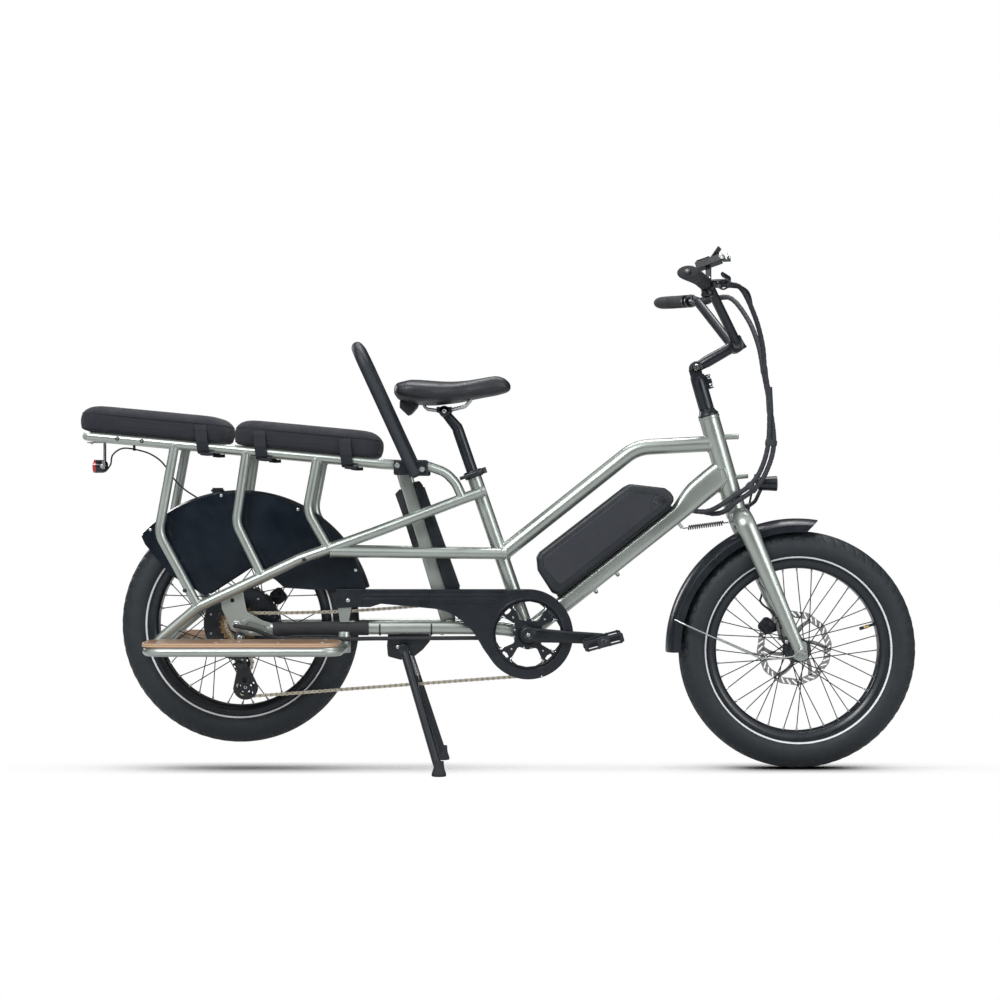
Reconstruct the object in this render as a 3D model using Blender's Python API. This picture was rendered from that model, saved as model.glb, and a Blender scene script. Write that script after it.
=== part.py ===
"""An electric cargo bicycle on its stand, as one object per physical piece.

Forward is +X, the rider's left is +Y and up is +Z, with the ground at zero.
Every size is in millimetres and becomes metres when its object is made.
"""

import math

import bmesh
import bpy
import numpy as np

MM = 0.001

# Clearances
GAP = 0.3
RUN = 0.5

# Main frame
BB = np.array([65.6, 0.0, 318.6])
BB_HALF = 36.5
BB_R = 22.0
SPINDLE_R = 8.5
HEAD_LOW = np.array([547.5, 0.0, 637.0])
HEAD_ANGLE = math.radians(16.0)
HEAD_LENGTH = 200.0
HEAD_R = 24.0
HEAD_BORE = 17.5
STEERER_R = 14.3
SEAT_ANGLE = math.radians(19.0)
SEAT_LENGTH = 402.0
SEAT_R = 17.0
SEAT_BORE = 13.9
POST_R = 13.6
TOP_TUBE_R = 18.5
TOP_TUBE_SEAT_AT = 193.7
TOP_TUBE_HEAD_AT = 133.0
TOP_TUBE_BEND = np.array([321.5, 0.0, 755.0])
DOWN_ANGLE = math.radians(38.4)
DOWN_HALF_WIDTH = 22.0
MID_TUBE = 35.0
MID_TOP = np.array([-230.0, 0.0, 707.0])
MID_LOW = np.array([-121.0, 0.0, 345.0])
BRIDGE = np.array([-116.0, 0.0, 340.0])

# Side frames and rack
SIDE_Y = 85.0
SEAT_SIDE_Y = 29.0
DIAGONAL_R = 12.5
UPRIGHT_R = 11.0
RAIL_R = 11.0
STAY_R = 13.0
CHAINSTAY_HALF = (9.0, 15.0)
DROPOUT_IN = 67.5
DROPOUT_OUT = 75.0
BOARD_RAIL_R = 10.5
BOARD_RAIL_Z = 290.0
BOARD_IN = 100.0
BOARD_OUT = 240.0
BOARD_THICK = 10.0
BOARD_TOP = 310.0

# Wheels
FRONT_AXLE = np.array([700.0, 0.0, 279.0])
REAR_AXLE = np.array([-611.0, 0.0, 340.0])
TYRE_R = 279.0
SPOKES = 36
TYRE_STEPS = 28
SPOKE_R = 1.2
ROTOR_R = 90.0
FRONT_ROTOR_Y = 39.0
REAR_ROTOR_Y = 51.0
ROTOR_HALF = 1.0
FREEWHEEL_SEAT_R = 15.8

# Drive
PITCH = 12.7
CHAIN_Y = -52.0
RING_TEETH = 48
COG_TEETH = (14, 16, 18, 20, 22, 24, 28)
COG_STEP = 4.8
PULLEY_TEETH = 11
GUIDE = np.array([-600.0, 0.0, 250.0])
TENSION = np.array([-593.0, 0.0, 195.0])
TOOTH_HALF = 0.9
CRANK_LENGTH = 170.0
CRANK_ANGLE = math.radians(-3.1)
CHAIN_SAG = 15.0

# Steering
POST_ABOVE = 17.0
POST_LENGTH = 83.0
PIVOT_ABOVE = 117.7
PIVOT_AHEAD = 2.2
ARM_FORWARD = 93.0
ARM_RISE = 53.0
BAR_R = 11.0
BAR_BACK = 76.0
BAR_RISE_HALF = 150.0
BAR_RISE_HEIGHT = 121.0
BAR_SWEEP = 59.0
BAR_HALF = 340.0
BAR_TILT = 13.0
BAR_CENTRE_HALF = 42.0

# Stand
STAND_PIVOT = np.array([-224.0, 0.0, 284.5])
STAND_FOOT = np.array([-139.7, 147.0, 0.0])

X = np.array([1.0, 0.0, 0.0])
Y = np.array([0.0, 1.0, 0.0])
Z = np.array([0.0, 0.0, 1.0])
SLIGHT_BEND = 0.12

for existing in list(bpy.data.objects):
    bpy.data.objects.remove(existing)


def unit(vector):
    vector = np.asarray(vector, float)
    return vector / np.linalg.norm(vector)


def point(x, y, z):
    return np.array([x, y, z], float)


HEAD_UP = point(-math.sin(HEAD_ANGLE), 0, math.cos(HEAD_ANGLE))
HEAD_FORWARD = point(math.cos(HEAD_ANGLE), 0, math.sin(HEAD_ANGLE))
SEAT_UP = point(-math.sin(SEAT_ANGLE), 0, math.cos(SEAT_ANGLE))
SEAT_FORWARD = point(math.cos(SEAT_ANGLE), 0, math.sin(SEAT_ANGLE))
DOWN_ALONG = point(math.cos(DOWN_ANGLE), 0, math.sin(DOWN_ANGLE))
DOWN_OUT = point(-math.sin(DOWN_ANGLE), 0, math.cos(DOWN_ANGLE))


def head(up, forward=0.0, side=0.0):
    """A point given along the steering axis, ahead of it and to its side."""
    return HEAD_LOW + HEAD_UP * up + HEAD_FORWARD * forward + Y * side


PIVOT = head(HEAD_LENGTH + PIVOT_ABOVE, PIVOT_AHEAD)
CLAMP = PIVOT + point(ARM_FORWARD, 0, ARM_RISE)
BAR_RISE = CLAMP + point(-BAR_BACK, BAR_RISE_HALF, BAR_RISE_HEIGHT)
BAR_END = point(BAR_RISE[0] - BAR_SWEEP, BAR_HALF, BAR_RISE[2] + BAR_TILT)


def seat(up, forward=0.0, side=0.0):
    """A point given along the seat tube from the crank axis, ahead of it and to its side."""
    return BB + SEAT_UP * up + SEAT_FORWARD * forward + Y * side


def down(along, out, side=0.0):
    """A point given along the down tube from the crank axis, above its centre line and to its side."""
    return BB + DOWN_ALONG * along + DOWN_OUT * out + Y * side


def made(verts, faces):
    """A shape (points, faces) with every face turned outward."""
    mesh = bpy.data.meshes.new("made")
    mesh.from_pydata(np.asarray(verts, float).tolist(), [], [tuple(f) for f in faces])
    work = bmesh.new()
    work.from_mesh(mesh)
    bmesh.ops.recalc_face_normals(work, faces=work.faces)
    work.to_mesh(mesh)
    work.free()
    shape = read(mesh)
    bpy.data.meshes.remove(mesh)
    return shape


def read(mesh):
    verts = np.empty(len(mesh.vertices) * 3)
    mesh.vertices.foreach_get("co", verts)
    return verts.reshape(-1, 3), [tuple(p.vertices) for p in mesh.polygons]


def place(name, shape, scale, collection):
    verts, faces = shape
    mesh = bpy.data.meshes.new(name)
    mesh.from_pydata((np.asarray(verts) * scale).tolist(), [], faces)
    obj = bpy.data.objects.new(name, mesh)
    collection.objects.link(obj)
    return obj


def combine(operation, first, others):
    """The result of one exact Boolean of a shape with others, as a shape."""
    scene = bpy.context.scene.collection
    tools = bpy.data.collections.new("tools")
    scene.children.link(tools)
    target = place("target", first, MM, scene)
    for other in others:
        place("tool", other, MM, tools)
    modifier = target.modifiers.new("combine", "BOOLEAN")
    modifier.operation = operation
    modifier.solver = "EXACT"
    modifier.operand_type = "COLLECTION"
    modifier.collection = tools
    bpy.context.view_layer.update()
    evaluated = target.evaluated_get(bpy.context.evaluated_depsgraph_get())
    verts, faces = read(evaluated.data)
    for tool in list(tools.objects):
        bpy.data.objects.remove(tool)
    bpy.data.objects.remove(target)
    bpy.data.collections.remove(tools)
    return verts / MM, faces


def union(first, *others):
    return combine("UNION", first, others)


def minus(first, *others):
    return combine("DIFFERENCE", first, others)


def mirrored(shape):
    """The shape on the other side of the middle plane."""
    verts, faces = shape
    return np.asarray(verts) * [1, -1, 1], [tuple(f)[::-1] for f in faces]


def moved(shape, offset):
    verts, faces = shape
    return np.asarray(verts) + np.asarray(offset), faces


def fillet(points, radius, steps=4):
    """A polyline with each inner corner rounded to the radius."""
    points = [np.asarray(p, float) for p in points]
    path = [points[0]]
    for before, corner, after in zip(points, points[1:], points[2:]):
        back, ahead = before - corner, after - corner
        back_length, ahead_length = np.linalg.norm(back), np.linalg.norm(ahead)
        back, ahead = back / back_length, ahead / ahead_length
        half = math.acos(max(-1.0, min(1.0, float(back @ ahead)))) / 2
        turn = math.pi - 2 * half
        if turn < SLIGHT_BEND:
            path.append(corner)
            continue
        reach = min(radius / math.tan(half), 0.48 * back_length, 0.48 * ahead_length)
        bend = reach * math.tan(half)
        centre = corner + unit(back + ahead) * bend / math.sin(half)
        start, end = corner + back * reach - centre, corner + ahead * reach - centre
        for step in range(steps + 1):
            share = step / steps
            mix = math.sin((1 - share) * turn) * start + math.sin(share * turn) * end
            path.append(centre + mix / math.sin(turn))
    path.append(points[-1])
    return np.array(path)


def spline(points, steps=6):
    """A smooth path through the points."""
    points = [np.asarray(p, float) for p in points]
    padded = [2 * points[0] - points[1], *points, 2 * points[-1] - points[-2]]
    path = []
    for a, b, c, d in zip(padded, padded[1:], padded[2:], padded[3:]):
        for step in range(steps):
            t = step / steps
            path.append(
                0.5 * (2 * b + (c - a) * t + (2 * a - 5 * b + 4 * c - d) * t**2
                       + (3 * b - a - 3 * c + d) * t**3)
            )
    path.append(points[-1])
    return np.array(path)


def frames(path, reference=None):
    """Unit tangents and two normals at each point of a path."""
    path = np.asarray(path, float)
    steps = np.diff(path, axis=0)
    steps /= np.linalg.norm(steps, axis=1)[:, None]
    tangents = np.vstack([steps[:1], steps[:-1] + steps[1:], steps[-1:]])
    tangents /= np.linalg.norm(tangents, axis=1)[:, None]
    keep = reference is not None
    if not keep:
        reference = Z if abs(tangents[0][2]) < 0.8 else X
    firsts = []
    for tangent in tangents:
        first = unit(reference - (reference @ tangent) * tangent)
        firsts.append(first)
        if not keep:
            reference = first
    firsts = np.array(firsts)
    return tangents, firsts, np.cross(tangents, firsts)


def loft(rings, looped=False):
    """A closed skin through rings of points, capped at both ends or looped back to the first."""
    rings = np.asarray(rings, float)
    count, around = rings.shape[:2]
    faces = []
    for i in range(count if looped else count - 1):
        low, high = i * around, (i + 1) % count * around
        for j in range(around):
            k = (j + 1) % around
            faces.append((low + j, low + k, high + k, high + j))
    if not looped:
        faces.append(tuple(range(around)))
        faces.append(tuple(range((count - 1) * around, count * around)))
    return made(rings.reshape(-1, 3), faces)


def oval(sides, half_u, half_v, power=1.0):
    """Points round an ellipse, squarer as the power falls."""
    angles = (np.arange(sides) + 0.5) * 2 * math.pi / sides
    cos, sin = np.cos(angles), np.sin(angles)
    u = half_u * np.sign(cos) * np.abs(cos) ** power
    v = half_v * np.sign(sin) * np.abs(sin) ** power
    return np.stack([u, v], axis=1)


def tube(path, radius, sides=12, reference=None, power=1.0):
    """A round or oval bar along a path. The radius is a number, a pair or one of either per point."""
    path = np.asarray(path, float)
    _, firsts, seconds = frames(path, reference)
    radii = np.asarray(radius, float)
    if radii.ndim == 0:
        radii = np.full((len(path), 2), float(radii))
    elif radii.ndim == 1 and len(radii) == 2 and len(path) != 2:
        radii = np.tile(radii, (len(path), 1))
    elif radii.ndim == 1:
        radii = np.stack([radii, radii], axis=1)
    rings = []
    for centre, first, second, (half_u, half_v) in zip(path, firsts, seconds, radii):
        section = oval(sides, half_u, half_v, power)
        rings.append(centre + section[:, :1] * first + section[:, 1:] * second)
    return loft(rings)


def rod(start, end, radius, sides=16):
    return tube([start, end], [[radius, radius], [radius, radius]], sides)


def hole(start, end, radius, sides=12):
    """A cutter whose flats clear a shaft of the radius, however its corners lie."""
    return rod(start, end, radius / math.cos(math.pi / sides), sides)


def axes(axis):
    axis = unit(axis)
    first = unit(np.cross(axis, X if abs(axis[0]) < 0.8 else Z))
    return axis, first, np.cross(axis, first)


def turned(origin, axis, profile, sides=16, phase=0.5):
    """A solid of revolution from (along, radius) pairs, capped at both ends."""
    axis, first, second = axes(axis)
    angles = (np.arange(sides) + phase) * 2 * math.pi / sides
    round_ = np.cos(angles)[:, None] * first + np.sin(angles)[:, None] * second
    return loft([origin + axis * along + round_ * radius for along, radius in profile])


def collar(origin, axis, section, sides=24, phase=0.5):
    """A ring from a closed (along, radius) section turned about an axis."""
    axis, first, second = axes(axis)
    angles = (np.arange(sides) + phase) * 2 * math.pi / sides
    rings = []
    for angle in angles:
        out = math.cos(angle) * first + math.sin(angle) * second
        rings.append([origin + axis * along + out * radius for along, radius in section])
    return loft(rings, looped=True)


def prism(outline, start, end):
    """An (x, z) outline drawn out along Y."""
    outline = np.asarray(outline, float)
    ring = np.stack([outline[:, 0], np.zeros(len(outline)), outline[:, 1]], axis=1)
    return loft([ring + Y * start, ring + Y * end])


def slab(points, offset):
    """A flat outline of 3-D points drawn out by a vector."""
    ring = np.asarray(points, float)
    return loft([ring, ring + np.asarray(offset, float)])


def block(centre, u, v, w):
    """A box from its centre and three half-edge vectors."""
    centre = np.asarray(centre, float)
    ring = [centre - u - v - w, centre + u - v - w, centre + u + v - w, centre - u + v - w]
    return slab(ring, 2 * np.asarray(w, float))


def box(x0, x1, y0, y1, z0, z1):
    return block(
        point((x0 + x1) / 2, (y0 + y1) / 2, (z0 + z1) / 2),
        X * (x1 - x0) / 2, Y * (y1 - y0) / 2, Z * (z1 - z0) / 2,
    )


def arc(centre, radius, start, end, steps):
    """(x, z) points on an arc round a centre, in degrees from forward."""
    angles = np.radians(np.linspace(start, end, steps + 1))
    return [(centre[0] + radius * math.cos(a), centre[2] + radius * math.sin(a)) for a in angles]


FINISHES = {
    "sage": ((0.30, 0.37, 0.30), 0.6, 0.35),
    "black": ((0.02, 0.02, 0.02), 0.0, 0.5),
    "rubber": ((0.03, 0.03, 0.03), 0.0, 0.8),
    "steel": ((0.55, 0.56, 0.57), 1.0, 0.3),
    "brass": ((0.45, 0.35, 0.20), 1.0, 0.35),
    "wood": ((0.45, 0.28, 0.13), 0.0, 0.55),
    "fabric": ((0.05, 0.05, 0.05), 0.0, 0.9),
    "lens": ((0.55, 0.02, 0.02), 0.0, 0.2),
}
built = []


def node(name, shape, finish, origin=None, sharp=35.0):
    """One piece in the scene, with its origin on its joint axis."""
    origin = np.zeros(3) if origin is None else np.asarray(origin, float)
    obj = place(name, moved(shape, -origin), MM, bpy.context.scene.collection)
    obj.location = origin * MM
    obj.data.shade_smooth()
    obj.data.set_sharp_from_angle(angle=math.radians(sharp))
    colour, metallic, roughness = FINISHES[finish]
    material = bpy.data.materials.new(name)
    material.use_nodes = True
    shader = material.node_tree.nodes["Principled BSDF"]
    shader.inputs["Base Color"].default_value = (*colour, 1.0)
    shader.inputs["Metallic"].default_value = metallic
    shader.inputs["Roughness"].default_value = roughness
    obj.data.materials.append(material)
    built.append(obj)
    return obj


def pair(name, shape, finish, origin=None):
    """The piece on the right as given and its mirror on the left."""
    node(f"{name}_right", shape, finish, origin)
    other = None if origin is None else np.asarray(origin) * [1, -1, 1]
    node(f"{name}_left", mirrored(shape), finish, other)


# Main frame: head tube, stepped down tube, bent top tube, seat tube and crank shell

def head_tube(radius, low=0.0, high=HEAD_LENGTH):
    return rod(head(low), head(high), radius, 14)


def down_tube():
    """Rings (along, bottom, top, half width); the last one lies on the steering axis."""
    stations = [
        (6, -19.9, 20.7, 20), (60, -19.9, 20.7, DOWN_HALF_WIDTH), (455, -19.9, 20.7, DOWN_HALF_WIDTH),
        (475, -19.9, 27.0, DOWN_HALF_WIDTH), (495, -19.9, 35.0, DOWN_HALF_WIDTH),
        (515, -19.9, 38.5, DOWN_HALF_WIDTH), (560, -19.9, 41.0, 21),
    ]
    rings = []
    for along, low, high, half_width in stations:
        section = oval(12, half_width, (high - low) / 2, 0.62)
        rings.append([down(along, (high + low) / 2 + v, u) for u, v in section])
    section = oval(12, 20, 30.5, 0.62)
    last = []
    for u, v in section:
        out = 10.5 + v
        last.append(down(595.9 + 0.412 * out, out, u))
    rings.append(last)
    return loft(rings)


def top_tube(radius, further=0.0):
    start = seat(TOP_TUBE_SEAT_AT)
    start = start - unit(TOP_TUBE_BEND - start) * further
    path = fillet([start, TOP_TUBE_BEND, head(TOP_TUBE_HEAD_AT)], 100, 6)
    return tube(path, radius, 12, Y)


def seat_tube(radius, low=0.0, high=SEAT_LENGTH):
    return rod(seat(low), seat(high), radius, 12)


def shell(radius, half):
    return rod(BB - Y * half, BB + Y * half, radius, 14)


def stub(up, tip):
    return rod(head(up), tip, 6.5, 8)


main_frame = union(
    head_tube(HEAD_R),
    down_tube(),
    top_tube(TOP_TUBE_R),
    seat_tube(SEAT_R),
    shell(BB_R, BB_HALF),
    stub(143, point(563, 0, 781)),
    stub(45, point(585, 0, 689)),
    rod(down(186, -14), down(186, -26), 5, 6),
    rod(down(251, -14), down(251, -26), 5, 6),
    rod(down(439, -12), down(439, -33), 4, 6),
)
main_frame = minus(
    main_frame,
    head_tube(HEAD_BORE, -30, HEAD_LENGTH + 30),
    seat_tube(SEAT_BORE, 60, SEAT_LENGTH + 30),
    shell(SPINDLE_R + RUN, BB_HALF + 20),
    rod(point(484, 0, 603), point(445, 0, 607), 13.4, 12),
)
node("main_frame", main_frame, "sage")


# Rear rack: two rails, cross tubes, the square mid tube and its bridge

def rail(radius, side=1):
    path = fillet(
        [
            point(-955, SIDE_Y, 779.6), point(-278, SIDE_Y, 716), point(-167, 62, 710),
            point(-127.5, 50, 696), point(-104, 41, 671), point(-90, 38, 640),
        ],
        60, 2,
    )
    return tube(path * [1, side, 1], radius, 8, Z)


def rail_height(x):
    return 716 + (x + 278) * (779.6 - 716) / (-955 + 278)


def side_y(x):
    """How far the diagonal stands from the middle plane."""
    return SIDE_Y if x < -400 else SIDE_Y - (x + 400) / 365 * (SIDE_Y - SEAT_SIDE_Y)


def diagonal(radius, side=1):
    corners = [
        (-797, 297), (-781, 314), (-700, 383), (-463, 495), (-400, 517), (-292, 556), (-88, 634), (-35, 653),
    ]
    path = fillet([point(x, side_y(x) * side, z) for x, z in corners], 60, 2)
    return tube(path, radius, 8, Y)


CROSS_R = 9.0
CROSS_AT = (-753, -587, -423)


def cross(x, z, radius=CROSS_R, half=SIDE_Y):
    return rod(point(x, -half, z), point(x, half, z), radius, 8)


mid_along = unit(MID_TOP - MID_LOW)
mid_out = unit(np.cross(Y, mid_along))
mid_tube = slab(
    [
        MID_LOW + mid_out * MID_TUBE / 2 * a + Y * MID_TUBE / 2 * b
        for a, b in [(-1, -0.8), (-0.8, -1), (0.8, -1), (1, -0.8), (1, 0.8), (0.8, 1), (-0.8, 1), (-1, 0.8)]
    ],
    MID_TOP - MID_LOW,
)
rack = union(
    rail(RAIL_R),
    rail(RAIL_R, -1),
    cross(-955, 779.6, RAIL_R, SIDE_Y + 9),
    *[cross(x, rail_height(x)) for x in CROSS_AT],
    cross(-236, 713.5, CROSS_R, 74),
    mid_tube,
    rod(BRIDGE - Y * 33, BRIDGE + Y * 33, 12, 12),
)
rack = minus(rack, diagonal(DIAGONAL_R + GAP), diagonal(DIAGONAL_R + GAP, -1))
node("rear_rack", rack, "sage")


# Side frames: diagonal, mid stay, uprights, chainstay, dropout and footboard tube

def upright(corners):
    return tube(fillet([point(x, SIDE_Y, z) for x, z in corners], 60, 2), UPRIGHT_R, 8, Y)


def chainstay():
    stations = [
        (48, 27, 322), (-35, 36.5, 331), (-332, 58, 332.5), (-371, 59.5, 332.5), (-470, 66, 331.5),
        (-541, 70.5, 330.5),
    ]
    path = [point(x, y, z) for x, y, z in stations]
    half_across, half_up = CHAINSTAY_HALF
    radii = [(half_across, half_up)] * 5 + [(half_across, half_up - 1)]
    return tube(path, radii, 8, Y)


def dropout():
    outline = [
        (-646, 378), (-650, 412), (-600, 436), (-594, 400), (-588, 372), (-553, 352), (-530, 345),
        (-530, 316), (-577, 316), (-605, 320), (-625, 330), (-634, 352),
    ]
    return prism(outline, DROPOUT_IN, DROPOUT_OUT)


board_rail = fillet(
    [
        point(-363, 60, BOARD_RAIL_Z), point(-363, BOARD_OUT - 5, BOARD_RAIL_Z),
        point(-797, BOARD_OUT - 5, BOARD_RAIL_Z), point(-797, SIDE_Y - 8, BOARD_RAIL_Z),
    ],
    38, 3,
)
side_frame = union(
    diagonal(DIAGONAL_R),
    tube([point(-395, 84, 511.5), point(14, 27, 505)], [[STAY_R] * 2] * 2, 10, Y),
    upright([(-753, 762), (-791, 555), (-697, 380)]),
    upright([(-587, 746), (-612, 578), (-556, 464), (-549, 452)]),
    upright([(-423, 731), (-447, 606), (-402, 527), (-396, 516)]),
    chainstay(),
    dropout(),
    tube(board_rail, BOARD_RAIL_R, 8, Z),
    rod(point(-363, 60, 276), point(-363, 60, 325), 15, 8),
)
side_frame = minus(
    side_frame,
    seat_tube(SEAT_R + GAP, -20, SEAT_LENGTH),
    top_tube(TOP_TUBE_R + GAP, RUN),
    shell(BB_R + GAP, BB_HALF + 20),
    rail(RAIL_R + GAP),
    *[cross(x, rail_height(x), CROSS_R + GAP) for x in CROSS_AT],
    rod(REAR_AXLE, REAR_AXLE + Y * 120, 6 + GAP, 10),
)
node("side_frame_left", side_frame, "sage")
node("side_frame_right", mirrored(side_frame), "sage")


# Fittings of the frame

def collar_part():
    ring = collar(seat(386), SEAT_UP, [(0, SEAT_R + GAP), (18, SEAT_R + GAP), (18, 22), (0, 22)], 20)
    ears = block(seat(395, 26), SEAT_FORWARD * 6.5, Y * 11.6, SEAT_UP * 6)
    return union(ring, ears)


node(
    "headset_cup",
    collar(
        head(HEAD_LENGTH + GAP), HEAD_UP,
        [(0, STEERER_R + RUN), (15.5, STEERER_R + RUN), (15.5, 18), (4, 24), (0, 24)], 16,
    ),
    "black",
)
node("seat_collar", collar_part(), "black")


def down_outline(pairs):
    return [(p[0], p[2]) for p in (down(along, out) for along, out in pairs)]


def cushioned(outline, half, edge, inset):
    """A prism across the middle plane with its two rims drawn in."""
    outline = np.asarray(outline, float)
    centre = (outline.min(axis=0) + outline.max(axis=0)) / 2
    size = (outline.max(axis=0) - outline.min(axis=0)) / 2
    small = centre + (outline - centre) * (1 - inset / size)
    rings = []
    for y, shape in [(-half, small), (-half + edge, outline), (half - edge, outline), (half, small)]:
        rings.append([point(x, y, z) for x, z in shape])
    return loft(rings)


node(
    "battery_cradle",
    cushioned(down_outline([(108, 21.0), (450, 21.0), (450, 26.6), (108, 26.6)]), 20, 2, 1.5),
    "black",
)
battery_outline = [
    (126, 126), (139, 131), (391, 128), (406, 125), (463, 68), (467, 52), (466, 39), (460, 31),
    (448, 27), (111, 27), (103, 40), (109, 100),
]
node(
    "battery", cushioned(down_outline(battery_outline), 45, 8, 6), "black", down(280, 27),
)


def mid_outline(pairs):
    """(x, z) points from pairs measured up the mid tube and ahead of its centre line."""
    return [(p[0], p[2]) for p in (MID_LOW + mid_along * up + mid_out * ahead for up, ahead in pairs)]


MID_SIDE = MID_TUBE / 2 + GAP
controller = prism(
    mid_outline([(338, MID_SIDE), (337, 29), (327, 33), (54, 47), (47, 43), (55, MID_SIDE)]), -30, 30,
)
grooves = []
for side in (-22, -11, 0, 11, 22):
    grooves.append(block(point(-138.5, side, 540), mid_out * 5, Y * 1.4, mid_along * 118))
node("controller_box", minus(controller, *grooves), "black")
node(
    "cable_channel",
    prism(
        mid_outline([
            (324, -34), (332, -20), (330, -MID_SIDE), (186, -MID_SIDE), (190, -30.5), (274, -31.5),
        ]),
        -15, 15,
    ),
    "black",
)


# Chain case: an outer wall with a round window and a rim over the chain

CASE_OUT = -70.0
CASE_WALL = -67.0
CASE_RIM = -46.0
CASE_R = 104.6
CASE_RIM_IN = 102.6
CASE_WINDOW_R = 81.5
case_top = BB[2] + CASE_R
outline = [
    (-379, case_top), (-379, 386), (-375, 382), (-302, 382), (-277, 392), (-191, 382), (-140, 378),
    (-105, 366), (-70, 333), (-51, 306), (-40, 287),
]
wall = prism([*outline, *arc(BB, CASE_R, 214, 450, 16)], CASE_OUT, CASE_WALL)
case_rim = [
    *arc(BB, CASE_R, -78, 90, 12), (-377, case_top),
    (-377, case_top - 1.6), *arc(BB, CASE_RIM_IN, 90, -78, 12),
]
case_bracket = union(
    prism([(-378, 386), (-322, 388), (-330, 347.2), (-370, 347.2)], CASE_OUT + 0.4, CASE_WALL + 0.2),
    box(-368, -332, CASE_WALL - 1, -50, 347.2, 350.2),
)
case = union(wall, prism(case_rim, CASE_WALL - 0.5, CASE_RIM), case_bracket)
case = minus(case, rod(BB - Y * 90, BB - Y * 40, CASE_WINDOW_R, 24))
node("chain_case", case, "black")


# Fenders

FENDER_HALF = 43.0


def swept(centre, section, start, end, steps):
    """A closed (side, radius) section swept on an arc about a wheel axis."""
    rings = []
    for angle in np.radians(np.linspace(start, end, steps + 1)):
        out = point(math.cos(angle), 0, math.sin(angle))
        rings.append([centre + out * radius + Y * side for side, radius in section])
    return loft(rings)


def fender_section(crown, edge, thick):
    half = FENDER_HALF
    outer = [(-half, edge), (-half, crown - 9), (-26, crown), (26, crown), (half, crown - 9), (half, edge)]
    inner = [
        (half - thick, edge), (30, crown - thick - 2), (-30, crown - thick - 2), (-half + thick, edge),
    ]
    return outer + inner


rear_shell = swept(REAR_AXLE, fender_section(315, 299, 2.5), 16, 136.6, 12)
skirt_outline = [
    *arc(REAR_AXLE, 309, 15.5, 136.4, 12), (-817, 519), (-770, 456), (-688.5, 407), (-583.5, 475),
    (-525, 444.6), (-504, 426), (-432, 421),
]
rear_fender = union(rear_shell, prism(skirt_outline, 42.2, 45.4), prism(skirt_outline, -45.4, -42.2))
node("rear_fender", rear_fender, "black")


# Hoop bar, seat pads and footboards

HOOP_Y = 100.0
hoop_path = fillet(
    [
        point(-196, HOOP_Y, 689), point(-333, HOOP_Y, 987),
        point(-333, -HOOP_Y, 987), point(-196, -HOOP_Y, 689),
    ],
    55, 4,
)
hoop = union(
    tube(hoop_path, 14, 8),
    box(-246, -167, 58, 113, 688, 725),
    box(-246, -167, -113, -58, 688, 725),
)
hoop = minus(
    hoop, rail(RAIL_R + GAP), rail(RAIL_R + GAP, -1), cross(-236, 713.5, CROSS_R + GAP, 74 + GAP),
)
node("hoop_bar", hoop, "black")


PAD_GAP = 0.7
PAD_HEIGHT = 60.0
PAD_HALF = 105.0
PAD_CORNER = 28.0


def pad(start, end, height, half_width):
    """A sewn cushion lying on the flats of the rails, with a crown and drawn-in sides."""
    above = RAIL_R * math.cos(math.pi / 8) + PAD_GAP
    origin = point(start, 0, rail_height(start) + above)
    along = point(end, 0, rail_height(end) + above) - origin
    length = np.linalg.norm(along)
    along = along / length
    up = np.cross(along, Y)
    up = up if up[2] > 0 else -up
    levels = [(7, 0.0), (0.5, 7.0), (3.5, height * 0.42), (0.5, height - 12), (8, height - 4)]
    corner = PAD_CORNER
    base = []
    for cx, cy, first in [(1, 1, 0), (0, 1, 90), (0, 0, 180), (1, 0, 270)]:
        for step in range(4):
            angle = math.radians(first + step * 30)
            base.append(
                (
                    (length - corner if cx else corner) + corner * math.cos(angle),
                    (half_width - corner) * (1 if cy else -1) + corner * math.sin(angle),
                )
            )
    base = np.array(base)
    middle = np.array([length / 2, 0.0])
    rings = []
    for inset, level in levels:
        scale = 1 - inset / np.array([length / 2, half_width])
        ring = middle + (base - middle) * scale
        rings.append([origin + along * u + Y * v + up * level for u, v in ring])
    crown = middle + (base - middle) * 0.72
    rings.append([origin + along * u + Y * v + up * height for u, v in crown])
    return loft(rings)


node("pad_rear", pad(-989, -637, PAD_HEIGHT, PAD_HALF), "fabric")
node("pad_front", pad(-618, -274, PAD_HEIGHT, PAD_HALF), "fabric")


def board():
    corner = 18.0
    base = []
    for cx, cy, first in [(1, 1, 0), (0, 1, 90), (0, 0, 180), (1, 0, 270)]:
        for step in range(4):
            angle = math.radians(first + step * 30)
            x = (-364 - corner if cx else -812 + corner) + corner * math.cos(angle)
            y = (BOARD_OUT - corner if cy else BOARD_IN + corner) + corner * math.sin(angle)
            base.append(point(x, y, BOARD_TOP - BOARD_THICK))
    return slab(base, Z * BOARD_THICK)


node("running_board_left", board(), "wood")
node("running_board_right", mirrored(board()), "wood")


# Rear light on its angle bracket

LIGHT_DROP = 69.1
LIGHT_Z = rail_height(-955) - LIGHT_DROP
light = union(
    turned(point(-960, 0, LIGHT_Z), X, [(0, 13), (3, 15.5), (30, 15.5), (37, 11)], 12),
    box(-950, -932, -7, 7, LIGHT_Z + 10, LIGHT_Z + 22.5),
    box(-972, -930, -12, 12, LIGHT_Z + 19.5, LIGHT_Z + 22.5),
    box(-972, -969, -12, 12, LIGHT_Z + 20.5, 769.1),
    box(-971, -955, -12, 12, 765.5, 769.1),
)
node("rear_light", light, "lens")


# Rear brake caliper with its adapter arm, over the rotor

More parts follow.
